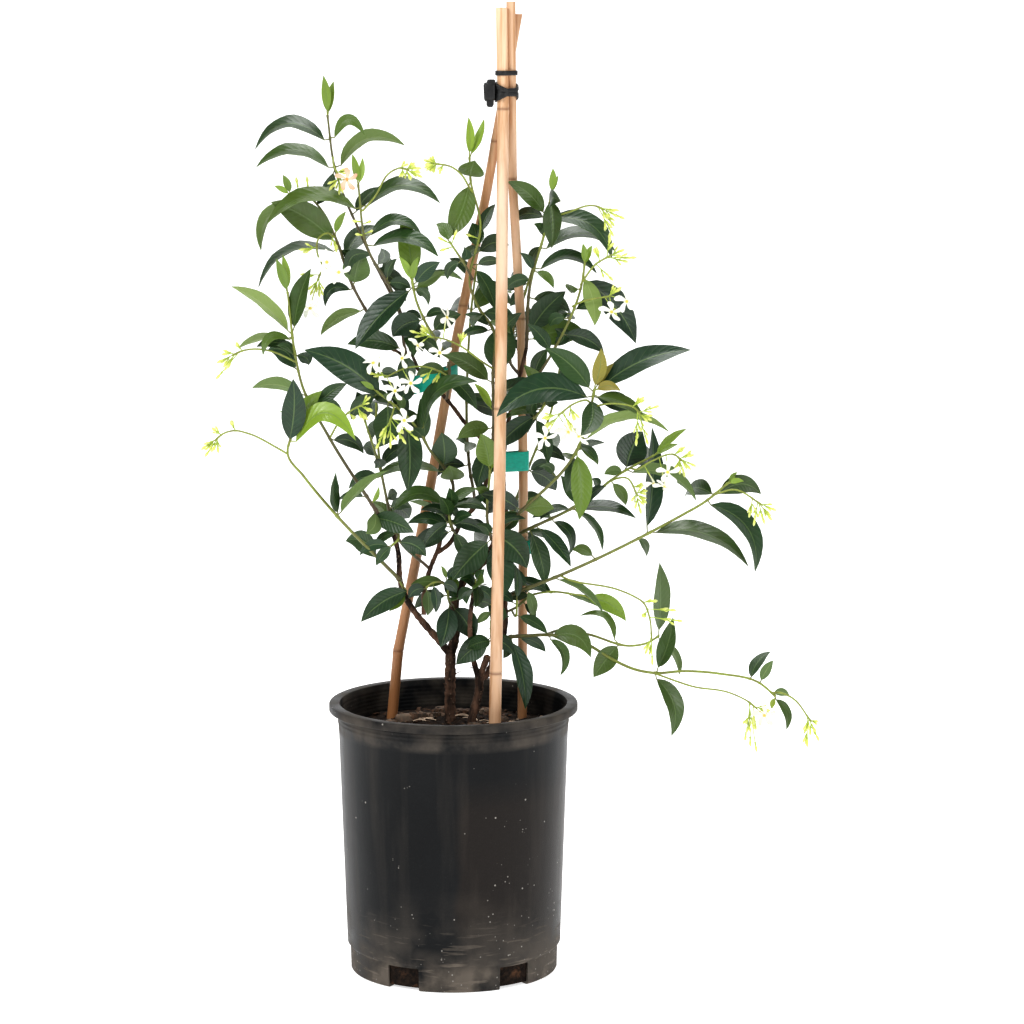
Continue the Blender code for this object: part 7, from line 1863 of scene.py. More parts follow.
def draw_soil(settings):
    """The root ball: drawn up inside the pot, then its top inset ring by ring and made lumpy."""
    foot = POT_FLOOR + GAP
    heights = (foot, 0.1, 0.2, SOIL_TOP)
    soil = draw_up("potting_soil", [(0, 0, height) for height in heights],
                   [inner_radius(height) - GAP for height in heights], SOIL_SIDES)
    edit_all()
    pick(soil, lambda spot: spot.z > SOIL_TOP - MM)
    for _ in range(SOIL_RINGS):
        bpy.ops.mesh.inset(thickness=inner_radius(SOIL_TOP) / (SOIL_RINGS + 1))
    close_up()
    for corner in soil.data.vertices:
        if corner.co.z > SOIL_TOP - MM:
            outward = math.hypot(corner.co.x, corner.co.y) - inner_radius(SOIL_TOP)
            edge = max(0.0, (outward + SOIL_EDGE) / SOIL_EDGE)
            corner.co.z = between(soil_height(corner.co.x, corner.co.y), SOIL_TOP, min(edge, 1.0))
    soil.data.materials.append(soil_finish(settings))
    finish_shape(soil, ["soil"], 80)


CHIP_SEED = 7
CHIP_FIELD_R = 0.117
CLOD_LUMPS = 5
HAIR_STEPS = 8
HAIR_R = 0.6 * MM
SOIL_LEVEL = 27 * CM
BARE_ROUND_STEM = 0.012

# Clods on the soil: where (front view reading), and how wide, tall and deep, all in cm
CLODS = (
    ((-4.7, 28.3, 1.5), (3.2, 1.5, 1.8)), ((0.9, 28.9, 3.2), (2.8, 1.3, 1.6)),
    ((-2.2, 28.2, 2.6), (2.0, 1.1, 1.5)), ((5.2, 28.0, 2.2), (1.8, 0.9, 1.3)),
    ((-6.8, 28.1, 0.2), (1.6, 0.9, 1.4)), ((2.6, 28.4, -2.5), (1.7, 0.8, 1.2)),
    ((-0.6, 28.2, 5.6), (2.4, 1.1, 1.7)), ((4.0, 28.2, 6.0), (2.0, 0.9, 1.5)),
)
ROOT_HAIRS = (
    ((-4.0, 28.6, 1.0), (-1.9, 29.4, 0.6)), ((-3.4, 28.5, 0.6), (-2.6, 29.3, 1.6)),
    ((0.2, 29.2, 2.4), (2.2, 29.6, 1.8)), ((1.2, 29.4, 2.4), (2.6, 28.7, 1.5)),
    ((-0.2, 29.6, 3.0), (0.9, 30.2, 2.4)), ((-3.2, 28.2, 1.5), (-2.2, 29.0, 1.2)),
    ((0.3, 28.7, 2.5), (1.8, 28.4, 2.0)), ((0.7, 30.2, 3.5), (1.7, 29.3, 2.5)),
    ((2.7, 28.5, 1.0), (3.9, 28.9, 0.4)), ((-4.4, 27.9, 0.5), (-3.0, 28.3, 0.0)),
    ((-6.2, 28.0, 2.0), (-5.0, 28.9, 2.2)), ((1.0, 27.9, 1.0), (2.6, 28.8, 1.4)),
    ((3.1, 27.8, -1.0), (4.4, 28.0, -1.6)), ((6.0, 27.7, 1.5), (7.2, 28.1, 1.0)),
    ((-1.6, 28.6, 3.0), (-0.5, 29.2, 3.4)),
)


def draw_chips(settings):
    """Bark chips and pale root hairs strewn over the soil."""
    clear_selection()
    bpy.ops.mesh.primitive_cube_add(size=1)
    chip = bpy.context.object
    edit_all()
    bpy.ops.mesh.subdivide(number_cuts=1)
    close_up(0.0001)
    soften = chip.modifiers.new("soften", "SUBSURF")
    soften.levels = soften.render_levels = 1
    apply_all(chip)
    corners, faces = taken(chip)
    mass = Mass(["bark_chip"])
    draw = random.Random(CHIP_SEED)
    for _ in range(settings.chips):
        radius, turn = CHIP_FIELD_R * math.sqrt(draw.random()), draw.uniform(0, 2 * math.pi)
        x, y = radius * math.cos(turn), radius * math.sin(turn)
        if blocked(x, y):
            continue
        size = (draw.uniform(4, 13) * MM, draw.uniform(2, 6) * MM, draw.uniform(1.0, 2.6) * MM)
        tilt = Vector((draw.uniform(-0.5, 0.5), draw.uniform(-0.5, 0.5), 1)).normalized()
        side = tilt.orthogonal().normalized()
        yaw = draw.uniform(0, 2 * math.pi)
        along = side * math.cos(yaw) + tilt.cross(side) * math.sin(yaw)
        spot = Vector((x, y, soil_height(x, y) + 0.3 * MM))
        points = []
        for corner in corners:
            rough = 1 + 0.35 * noise.noise(corner * 2.3 + spot * 900)
            points.append(spot + (along * corner.x * size[0] + along.cross(tilt) * corner.y * size[1]
                                  + tilt * corner.z * size[2]) * rough)
        pale = draw.random() ** 9 * 0.6
        mass.add(points, faces, "bark_chip", [(pale, 0, 0)] * len(points))
    for reading, size in CLODS:
        centre = place(reading)
        centre.z = soil_height(centre.x, centre.y) + size[1] * 0.15 * CM
        for _ in range(CLOD_LUMPS):
            across, back = draw.uniform(-0.3, 0.3) * size[0], draw.uniform(-0.3, 0.3) * size[2]
            away = Vector((across, back, draw.uniform(0, 0.2))) * CM
            half = Vector((size[0] * 0.62, size[2] * 0.62, size[1] * 0.75)) * CM
            points = []
            for corner in corners:
                rough = 1 + 0.5 * noise.noise(corner * 4 + away * 900)
                bulge = Vector([part * reach * rough for part, reach in zip(corner, half)])
                points.append(centre + away + bulge)
            mass.add(points, faces, "bark_chip", [(draw.uniform(0.0, 0.22), 0, 0)] * len(points))
    for start, end in ROOT_HAIRS:
        low, high = place(start), place(end)
        for end_point in (low, high):
            end_point.z = soil_height(end_point.x, end_point.y) + 1.2 * MM
        bow = Vector((draw.uniform(-2, 2), draw.uniform(-2, 2), draw.uniform(2, 5))) * MM
        middle = low.lerp(high, 0.5) + bow
        shares = [step / HAIR_STEPS for step in range(HAIR_STEPS + 1)]
        route = [low.lerp(middle, share).lerp(middle.lerp(high, share), share) for share in shares]
        mass.sweep(route, [HAIR_R] * len(route), 5, "bark_chip", [(1.0, 0, 0)] * len(route))
    mass.piece("soil_chips", [], 60)


def blocked(x, y):
    """Whether a cane or a trunk stands at a place on the soil."""
    for name in CANES:
        point = cane_point(name, SOIL_LEVEL)
        if math.hypot(point.x - x, point.y - y) < BARE_ROUND_STEM:
            return True
    for name in WOOD:
        point = place(WOOD[name][0][2][1])
        if math.hypot(point.x - x, point.y - y) < BARE_ROUND_STEM:
            return True
    return False


# Canes and what holds them

CANE_TONES = {"cane_front": (0.04, 0.55), "cane_right": (0.30, 0.55), "cane_left": (0.55, 0.50)}


def cane_steps(name):
    """Heights along a cane with the swelling there: a groove and a lip at each node."""
    steps = {point[2]: 1.0 for point in CANES[name][0]}
    low, high = CANES[name][0][0][2], CANES[name][0][-1][2]
    for step in range(1, 24):
        steps[low + (high - low) * step / 24] = 1.0
    for node in CANES[name][3]:
        for height in list(steps):
            if abs(height - node) < 1.3:
                del steps[height]
        for away, swell in ((-1.2, 1.0), (-0.7, 1.015), (-0.35, 1.06), (-0.2, 1.075), (-0.1, 1.02),
                            (0.0, 1.03), (0.1, 1.075), (0.3, 1.05), (0.7, 1.01), (1.2, 1.0)):
            steps[node + away] = swell
    return sorted(steps.items())


def draw_cane(name, settings):
    steps = cane_steps(name)
    route = [cane_point(name, height * CM) for height, _ in steps]
    radii = [cane_radius(name, height * CM) * swell for height, swell in steps]
    end, last = route[-1], radii[-1]
    route += [end, end, end - Vector((0, 0, 0.012))]
    radii += [last * 0.93, last * 0.5, last * 0.42]
    cane = draw_up("bamboo_" + name, route, radii, settings.sides)
    top, low = CANE_TONES[name]
    height = end.z

    def tint(spot):
        near = min(abs(spot.z / CM - node) for node in CANES[name][3])
        hollow = (spot - cane_point(name, spot.z)).length < last * 0.7
        share = min(max((spot.z - 0.26) / (height - 0.26), 0.0), 1.0)
        return max(0.0, 1 - near / 0.22), between(low + top, top, share ** 0.7), 1.0 if hollow else 0.0

    dye(cane, tint)
    cane.data.materials.append(bpy.data.materials["dry_cane"])
    finish_shape(cane, [name], 40)


LOOP_STEPS = 96
LOOP_EDGE = (
    (0, -1), (0.6, -1), (0.95, -0.8), (1, -0.35), (1, 0.35), (0.95, 0.8), (0.6, 1), (0, 1), (-0.2, 0.7),
    (-0.2, -0.7),
)


def loop_round(mass, name, finish, low, high, wrinkle, thick):
    """A band round the things that a loop holds, whose height may change on its way round."""
    circles = band_circles(name)
    slope = BANDS[name][2]
    centre = sum(circle[0] for circle in circles) / len(circles)
    points, faces = [], []
    count = len(LOOP_EDGE)
    for step in range(LOOP_STEPS):
        angle = 2 * math.pi * step / LOOP_STEPS
        c, s = math.cos(angle), math.sin(angle)
        x, y, radius = max(circles, key=lambda circle: circle[0] * c + circle[1] * s + circle[2])
        middle = between(low(angle), high(angle), 0.5)
        half = (high(angle) - low(angle)) / 2
        crease = noise.noise(Vector((c * 3, s * 3, middle * 300))) * wrinkle
        for out, up in LOOP_EDGE:
            reach = radius + BAND_CLEAR + crease + thick * (0.2 + 0.8 * out)
            points.append(Vector((x + reach * c, y + reach * s,
                                  middle + up * half + slope * (x + reach * c - centre))))
    for step in range(LOOP_STEPS):
        after = (step + 1) % LOOP_STEPS
        for index in range(count):
            beside = (index + 1) % count
            faces.append((
                step * count + index, after * count + index, after * count + beside, step * count + beside))
    mass.add(points, faces, finish, [(0, 0, 0)] * len(points))


def level(height):
    return lambda angle: height * CM


def draw_bands(settings):
    band_finish("rubber_tie", settings.tie, 0.5)
    band_finish("plant_tape", settings.tape, 0.36)
    for name, (low, high, _, thick, _, _) in BANDS.items():
        tape = name.startswith("tape")
        mass = Mass(["plant_tape" if tape else "rubber_tie"])
        finish = mass.finishes[0]
        if name == "tie_band":
            draw_rubber_band(mass, finish)
        else:
            wrinkle = 0.5 * MM if tape else 0.1 * MM
            loop_round(mass, name, finish, level(low), level(high), wrinkle, thick * MM)
        mass.piece("band_" + name, [name], 50)


def pinch(angle):
    """How far apart the strands of the rubber band are: together at the front right, wide at the knot."""
    return abs(math.sin((angle + math.radians(50)) / 2))


def strand_edge(height, spread):
    """The height of a strand's edge on its way round, in metres."""
    return lambda angle: (height + spread * pinch(angle)) * CM


# Strands of the rubber band: the height of the lower and the upper edge in cm, each with how far it
# spreads at the knot, and the thickness in mm
STRANDS = (
    ((95.15, 0.55), (95.62, 0.70), 2.0), ((94.85, -0.75), (95.35, -0.30), 2.0),
    ((94.95, -0.10), (95.50, 0.30), 1.3),
)


def draw_rubber_band(mass, finish):
    """Strands that cross at the front, and the flat ends where the band is looped through itself."""
    for low, high, thick in STRANDS:
        loop_round(mass, "tie_band", finish, strand_edge(*low), strand_edge(*high), 0.25 * MM, thick * MM)
    for spot, size in KNOT_LUMPS:
        clear_selection()
        bpy.ops.mesh.primitive_cube_add(size=1)
        lump = bpy.context.object
        edit_all()
        bpy.ops.mesh.subdivide(number_cuts=2)
        close_up()
        soften = lump.modifiers.new("soften", "SUBSURF")
        soften.levels = soften.render_levels = 1
        apply_all(lump)
        corners, faces = taken(lump)
        centre = Vector(spot) * CM
        points = []
        for corner in corners:
            place_in = Vector([part * across * CM for part, across in zip(corner, size)])
            points.append(centre + place_in * (1 + 0.14 * noise.noise(corner * 3 + centre * 100)))
        mass.add(points, faces, finish, [(0, 0, 0)] * len(points))


KNOT_LUMPS = (
    ((4.0, -1.0, 95.3), (1.2, 1.1, 1.9)), ((4.15, -1.15, 96.15), (0.85, 0.55, 0.85)),
    ((4.05, -1.15, 94.25), (0.75, 0.45, 1.1)), ((3.85, -1.25, 95.1), (0.75, 0.7, 1.2)),
)


# Wood, stems and what they bear


def tangent(stem, index):
    """The way a stem runs through one of its points."""
    route = stem.route
    before = (route[index] - route[index - 1]) if index else (route[1] - route[0])
    after = (route[index + 1] - route[index]) if index < len(route) - 1 else before
    return (before / before.length_squared + after / after.length_squared).normalized()


def rounded(stem, length):
    """The point of the rounded stem that stands for a length along its straight parts."""
    index = 0
    while index < len(stem.route) - 2 and length > stem.lengths[index + 1]:
        index += 1
    start, end = stem.route[index], stem.route[index + 1]
    span = (end - start).length
    t = min(max((length - stem.lengths[index]) / span, 0.0), 1.0)
    first, second = tangent(stem, index) * span, tangent(stem, index + 1) * span
    return (start * (2 * t ** 3 - 3 * t ** 2 + 1) + first * (t ** 3 - 2 * t ** 2 + t)
            + end * (3 * t ** 2 - 2 * t ** 3) + second * (t ** 3 - t ** 2))


def on_stem(stems, point):
    """The rounded stem's point that is nearest to a root, with its stem and length."""
    stem = min(stems, key=lambda one: one.nearest(point)[0])
    length = stem.nearest(point)[1]
    return rounded(stem, length), stem, length


def stem_radius(stem, length):
    return between(stem.radii[0], stem.radii[-1], length / stem.lengths[-1])


# How much stouter a stem is drawn than its faceted solid, and how far it swells at a joint
ROUND_SHARE = 1.15
JOINT_SWELL = 0.30
JOINT_REACH = 1.7 * MM


def sweep_stem(mass, stem, joints, finish, tint, sides, step, host=None, rough=0.0):
    """Draws one stem with a small swelling at each joint, from inside the stem that it springs from."""
    total = stem.lengths[-1]
    count = max(2, round(total / step))
    lengths = {total * index / count for index in range(count + 1)}
    for joint in joints:
        near = (joint - 2 * MM, joint, joint + 2 * MM)
        lengths.update(length for length in near if 0 < length < total)
    route, radii, tints = [], [], []
    for length in sorted(lengths):
        if route and length - last < 0.4 * MM:
            continue
        last = length
        swell = sum(JOINT_SWELL * math.exp(-((length - joint) / JOINT_REACH) ** 2) for joint in joints)
        spot = rounded(stem, length)
        knobs = rough * noise.noise(spot * 260)
        route.append(spot)
        radii.append(stem_radius(stem, length) * (ROUND_SHARE + min(swell, 0.4) + knobs))
        tints.append(tint(length / total))
    if host:
        start = host[0]
        foot = start.lerp(route[0], 0.35) if (route[0] - start).length > MM else start
        route.insert(0, foot)
        radii.insert(0, radii[0] * 1.25)
        tints.insert(0, tints[0])
    mass.sweep(route, radii, sides, finish, tints)


# The trunk whose branch, by its index, ends in a fresh cut
CUT_STUB = ("wood_right", 3)


def draw_wood(name):
    """The trunk and its branches, sunk into one another."""
    mass = Mass(["bark"])
    for index, stem in enumerate(grown().stems[name]):
        sweep_stem(mass, stem, [], "bark", lambda share: (0, 0, 0), 14, 2 * MM, rough=0.24)
        if (name, index) == CUT_STUB:
            end, before = rounded(stem, stem.lengths[-1]), rounded(stem, stem.lengths[-1] - MM)
            way = (end - before).normalized()
            mass.sweep([end, end + way * 0.9 * MM], [2.95 * MM, 2.8 * MM], 12, "bark", [(0, 1, 0)] * 2, False)
    for start, end, radius in DEAD_TWIGS[name]:
        low, high = place(start), place(end)
        route = [low.lerp(high, share) for share in (0, 0.5, 1)]
        mass.sweep(route, [radius * MM, radius * 0.8 * MM, radius * 0.45 * MM], 6, "bark", [(0, 0, 0)] * 3)
    mass.piece("stem_" + name, [name], 70)


DEAD_TWIGS = {
    "wood_left": (((-0.75, 34.9, -0.2), (-1.3, 35.9, -0.4), 0.8),
                  ((-1.5, 36.3, -0.4), (-2.4, 36.6, -0.7), 0.7),
                  ((-0.3, 32.2, 0.0), (0.8, 32.8, -0.3), 0.8),
                  ((-0.35, 31.0, 0.1), (-1.2, 31.5, -0.2), 0.8)),
    "wood_right": (((2.6, 30.4, -0.7), (3.3, 31.0, -1.1), 0.9), ((2.4, 33.0, -0.7), (1.7, 33.3, -1.0), 0.7)),
}

BLADE_ROWS = 12
BLADE_COLUMNS = 6


@functools.lru_cache(maxsize=None)
def blade_form(thickness):
    """One blade a unit long and a unit to each margin: a grid, narrowed row by row, then thickened."""
    clear_selection()
    bpy.ops.mesh.primitive_grid_add(
        x_subdivisions=BLADE_ROWS, y_subdivisions=BLADE_COLUMNS, size=1, location=(0.5, 0, 0))
    blade = bpy.context.object
    bpy.ops.object.transform_apply(location=True, rotation=False, scale=False)
    edit_all()
    for row in range(BLADE_ROWS + 1):
        share = row / BLADE_ROWS
        wide = max(leaf_shape(share), 0.035 if row == 0 else 0.0)
        pick(blade, lambda spot: abs(spot.x - share) < 0.001)
        bpy.ops.transform.resize(value=(1, 2 * wide, 1), center_override=(share, 0, 0))
    close_up()
    wall = blade.modifiers.new("wall", "SOLIDIFY")
    wall.thickness = thickness
    wall.offset = 0
    apply_all(blade)
    return taken(blade)


def lay_blade(mass, leaf, tone, youth, settings, draw):
    """A copy of the blade, bent along its leaf's midrib, with waving margins."""
    corners, faces = blade_form(settings.thickness)
    phase, turns = draw.uniform(0, 6.3), draw.uniform(1.6, 3.2)
    twist = draw.uniform(-0.10, 0.10)
    rows, points, tints, pattern = {}, [], [], []
    length = (leaf.tip - leaf.base).length
    for corner in corners:
        share = min(max(corner.x, 0.0), 1.0)
        key = round(share, 3)
        if key not in rows:
            rows[key] = leaf.row(share)
        middle, across, up = rows[key]
        out = corner.y * leaf.half
        fold = abs(out) * FOLD * (1.25 - 0.25 * abs(corner.y))
        wave = settings.wave * (length / 0.07) * corner.y ** 2 * math.sin(turns * 6.28 * share + phase)
        wave += twist * out * share * 0.5
        points.append(middle + across * out + up * (fold + wave + corner.z))
        tints.append((tone, youth, 1.0 if corner.z < 0 else 0.0))
        wide = max(leaf_shape(share), 0.05)
        pattern.append((share, 0.5 + 0.5 * max(-1.0, min(1.0, corner.y / wide))))
    mass.add(points, faces, "glossy_leaf", tints, pattern)


def lay_stalk(mass, leaf, spot, youth):
    """The leaf's stalk, from inside the stem into the blade."""
    inner = leaf.row(0.05)[0]
    bend = leaf.base.lerp(spot, 0.35)
    route = [spot, spot.lerp(bend, 0.6), bend, leaf.base, inner]
    if (leaf.base - spot).length < 1.5 * MM:
        route = [spot, leaf.base, inner]
    radii = [0.9 * MM] + [0.7 * MM] * (len(route) - 2) + [0.4 * MM]
    mass.sweep(route, radii, 6, "green_stem", [(0.35 - 0.35 * youth, 1 - youth, 0)] * len(route))


def ageing(name):
    """How brown a stem is from its start to its tip."""
    start, end = STEM_AGES.get(name, (0.85, 0.05))
    return lambda share: (between(start, end, share ** 0.8), 0.5, 0)


STEM_AGES = {
    "shoot_left_low": (0.55, 0.05), "shoot_right_low": (0.55, 0.05), "shoot_right_long": (0.6, 0.1),
    "shoot_right_thin": (0.5, 0.0), "shoot_crown_left": (1.0, 0.45), "shoot_crown_left_2": (0.95, 0.3),
    "shoot_left_upper": (0.9, 0.25), "shoot_right_mid": (0.6, 0.1), "shoot_right_front": (0.65, 0.15),
}

# How light the leaves look, from 0 for a dark old leaf to 1 for a fresh one, by shoot and row
LEAF_YOUTH = {
    "shoot_left_low": {0: 0.0, 1: 0.65, 2: 0.85, 3: 0.2, 4: 0.02, 5: 0.35},
    "shoot_left_mid": {0: 0.42, 1: 0.12, 2: 0.3, 3: 0.32, 5: 0.25, 6: 0.05},
    "shoot_mid_low": {0: 0.0, 1: 0.05, 2: 0.03, 3: 0.08, 6: 0.3, 7: 0.2, 11: 0.1},
    "shoot_crown_mid": {0: 0.25, 1: 0.28, 8: 0.16, 12: 0.05, 17: 0.05},
    "shoot_mid_left": {0: 0.0, 1: 0.5, 4: 0.1, 8: 0.05},
    "shoot_crown_left_2": {0: 0.28, 1: 0.08, 2: 0.06, 3: 0.05},
    "shoot_crown_left": {0: 0.05, 1: 0.3, 2: 0.18, 3: 0.22, 4: 0.03},
    "shoot_left_upper": {0: 0.24, 1: 0.36, 2: 0.04, 4: 0.3, 5: 0.22},
    "shoot_crown_right": {0: 0.2, 2: 0.1, 3: 0.04, 4: 0.06},
    "shoot_right_2": {0: 0.6, 1: 0.0, 2: 0.05, 5: 0.02},
    "shoot_right_inner": {0: 0.0, 1: 0.04},
    "shoot_right_front": {0: 0.0, 1: 0.07, 2: 0.06, 3: 0.0, 5: 0.34, 7: 0.45, 9: 0.0, 10: 0.34},
    "shoot_stalk": {0: 0.03, 1: 0.0, 2: 0.42, 3: 0.02},
    "shoot_centre": {0: 0.02, 1: 0.02, 5: 0.14},
    "shoot_right_long": {0: 0.0, 1: 0.14, 2: 0.03, 3: 0.1, 4: 0.1},
    "shoot_right_low": {0: 0.24, 2: 0.15, 3: 0.12, 7: 0.0, 10: 0.2, 11: 0.2, 13: 0.3},
    "shoot_base_mid": {0: 0.02},
    "shoot_base_front": {0: 0.0, 1: 0.02},
}
# Young leaves that are flushed with bronze
BRONZE = {"shoot_right_front": 1.5, "shoot_right_low": 1.2}

# Small leaves that fill the middle of the plant, by shoot
LITTLE_LEAVES = {
    "shoot_stalk": 7, "shoot_centre": 9, "shoot_base_front": 5, "shoot_base_mid": 5, "shoot_base_top": 5,
    "shoot_mid_low": 7, "shoot_crown_mid": 8, "shoot_mid_left": 6, "shoot_right_mid": 6,
    "shoot_right_front": 5,
    "shoot_left_inner": 5, "shoot_left_mid": 3, "shoot_crown_right": 5, "shoot_right_2": 4,
    "shoot_crown_left_2": 4, "shoot_right_inner": 5, "shoot_right_thin": 3, "shoot_right_long": 3,
    "shoot_back_left": 7, "shoot_back_mid": 8, "shoot_back_right": 7, "shoot_back_crown": 6,
}


def little_row(stem, draw):
    """A small leaf that grows any way from a place on a stem."""
    across, up, _ = reading_of(stem.at(stem.lengths[-1] * draw.uniform(0.1, 0.95)))
    length = draw.uniform(2.2, 4.4)
    heading, rise = draw.uniform(0, 2 * math.pi), math.radians(draw.uniform(-50, 40))
    level = length * math.cos(rise)
    tip = (across + level * math.cos(heading), up + length * math.sin(rise))
    return (across, up, *tip, draw.uniform(0.2, 0.6), draw.uniform(0.6, 1.5), level * math.sin(heading))


@functools.lru_cache(maxsize=None)
def little_leaves(name):
    """The small leaves of a shoot, each clear of all that stands already."""
    plant = grown()
    draw = random.Random("little " + name)
    leaves = []
    for count in range(LITTLE_LEAVES.get(name, 0)):
        stems = plant.stems[name]
        row = little_row(stems[count % len(stems)], draw)
        leaf = grow_leaf(name, row, stems, WIDTH_RATIO, plant.ground, name + str(count))
        if leaf:
            plant.ground.add(name + "_leaf", leaf.mesh(BLADE))
            leaves.append(leaf)
    return leaves


def lay_leaves(mass, name, settings):
    plant = grown()
    draw = random.Random(name)
    joints = {}
    table = LEAF_YOUTH.get(name, {})
    little = [(leaf, False) for leaf in little_leaves(name)]
    for index, (leaf, young) in enumerate(plant.leaves[name] + little):
        spot, stem, length = on_stem(plant.stems[name], leaf.root)
        joints.setdefault(id(stem), []).append(length)
        if young:
            youth = BRONZE.get(name, draw.uniform(0.6, 1.0)) + draw.uniform(-0.15, 0.0)
        else:
            youth = draw.uniform(0.1, 0.3) if draw.random() < 0.15 else draw.uniform(0.0, 0.07)
        youth = table.get(index, youth)
        tone = draw.random()
        lay_blade(mass, leaf, tone, youth, settings, draw)
        lay_stalk(mass, leaf, spot, min(youth, 1.0))
    return joints


def draw_shoot(name, settings):
    """A leafy stem: its stems, leaves and, at its tips, small buds."""
    plant = grown()
    mass = Mass(["glossy_leaf", "green_stem", "bloom"])
    joints = lay_leaves(mass, name, settings)
    host_stems = plant.stems[stem_table()[name]["host"]]
    tint = ageing(name)
    for index, stem in enumerate(plant.stems[name]):
        hosts = host_stems if index == 0 else plant.stems[name][:1]
        host = on_stem(hosts, stem.route[0])
        sweep_stem(mass, stem, joints.get(id(stem), []), "green_stem", tint, 8, 5 * MM, host)
    lay_buds(mass, name, 0)
    mass.piece("leafy_" + name, [name])


BUD_PROFILE = ((-1.0, 0.42), (-0.8, 0.78), (-0.6, 0.55), (-0.2, 0.62), (0.2, 1.0), (0.6, 0.8), (0.85, 0.4))


@functools.lru_cache(maxsize=None)
def bud_form():
    """One bud along Z: a ball whose rings are drawn in to a cup, a neck and a pointed tip."""
    clear_selection()
    bpy.ops.mesh.primitive_uv_sphere_add(segments=6, ring_count=8, radius=1)
    bud = bpy.context.object
    edit_all()
    for ring in range(1, 8):
        height = -math.cos(math.pi * ring / 8)
        wanted, wide = BUD_PROFILE[ring - 1]
        now = math.sin(math.pi * ring / 8)
        pick(bud, lambda spot: abs(spot.z - height) < 0.001)
        bpy.ops.transform.resize(value=(wide / now, wide / now, 1), center_override=(0, 0, height))
        bpy.ops.transform.translate(value=(0, 0, wanted - height + 0.0001 * ring))
    close_up()
    return taken(bud)


def lay_bud(mass, root, base, tip, size=1.0):
    """A bud on its thin stalk."""
    corners, faces = bud_form()
    axis = (tip - base).normalized()
    side = axis.orthogonal().normalized()
    other = axis.cross(side)
    points, tints = [], []
    for corner in corners:
        share = (corner.z + 1) / 2
        turn = share * 1.4
        x = corner.x * math.cos(turn) - corner.y * math.sin(turn)
        y = corner.x * math.sin(turn) + corner.y * math.cos(turn)
        points.append(base.lerp(tip, share) + (side * x + other * y) * BUD_R * 1.15 * size)
        tints.append((0.12 if share < 0.22 else between(0.38, 0.62, share), 0, 0))
    mass.add(points, faces, "bloom", tints)
    middle = root.lerp(base, 0.5)
    route = [root, middle, base.lerp(tip, 0.04)]
    mass.sweep(route, [0.62 * MM, 0.5 * MM, 0.6 * MM], 5, "bloom", [(0.05, 0, 0)] * 3)


def lay_buds(mass, name, side_buds):
    plant = grown()
    draw = random.Random(name + "buds")
    for root, base, tip in plant.buds[name]:
        spot, _, _ = on_stem(plant.stems[name], root)
        lay_bud(mass, spot, base, tip)
        axis = tip - base
        for _ in range(side_buds):
            fork = spot.lerp(base, draw.uniform(0.35, 0.8))
            away = Vector([draw.uniform(-1, 1) for _ in range(3)]) * 0.55
            way = (axis.normalized() + away).normalized()
            stalk = draw.uniform(1.5, 3.5) * MM
            size = draw.uniform(0.6, 1.0)
            low = fork + way * stalk
            lay_bud(mass, fork, low, low + way * axis.length * size, size)


# How wide a petal is and how far it leans to one side, row by row
PETAL_ROWS = ((0.16, 0.0), (0.20, 0.01), (0.30, 0.04), (0.42, 0.10), (0.46, 0.17), (0.20, 0.26))
PETAL_COLUMNS = 4


@functools.lru_cache(maxsize=None)
def petal_form():
    """One petal a unit long, wider on one side: a grid shaped row by row, curled and thickened."""
    clear_selection()
    bpy.ops.mesh.primitive_grid_add(
        x_subdivisions=len(PETAL_ROWS) - 1, y_subdivisions=PETAL_COLUMNS, size=1, location=(0.5, 0, 0))
    petal = bpy.context.object
    bpy.ops.object.transform_apply(location=True, rotation=False, scale=False)
    edit_all()
    for row, (wide, aside) in enumerate(PETAL_ROWS):
        share = row / (len(PETAL_ROWS) - 1)
        pick(petal, lambda spot: abs(spot.x - share) < 0.001)
        bpy.ops.transform.resize(value=(1, wide, 1), center_override=(share, 0, 0))
        bpy.ops.transform.translate(value=(0, aside, 0.0))
    close_up()
    for corner in petal.data.vertices:
        share = corner.co.x
        corner.co.z = 0.10 * share + 0.22 * corner.co.y * share - 0.10 * share ** 3
        corner.co.x = 0.04 + 0.94 * share
    wall = petal.modifiers.new("wall", "SOLIDIFY")
    wall.thickness = 0.035
    wall.offset = 0
    apply_all(petal)
    return taken(petal)


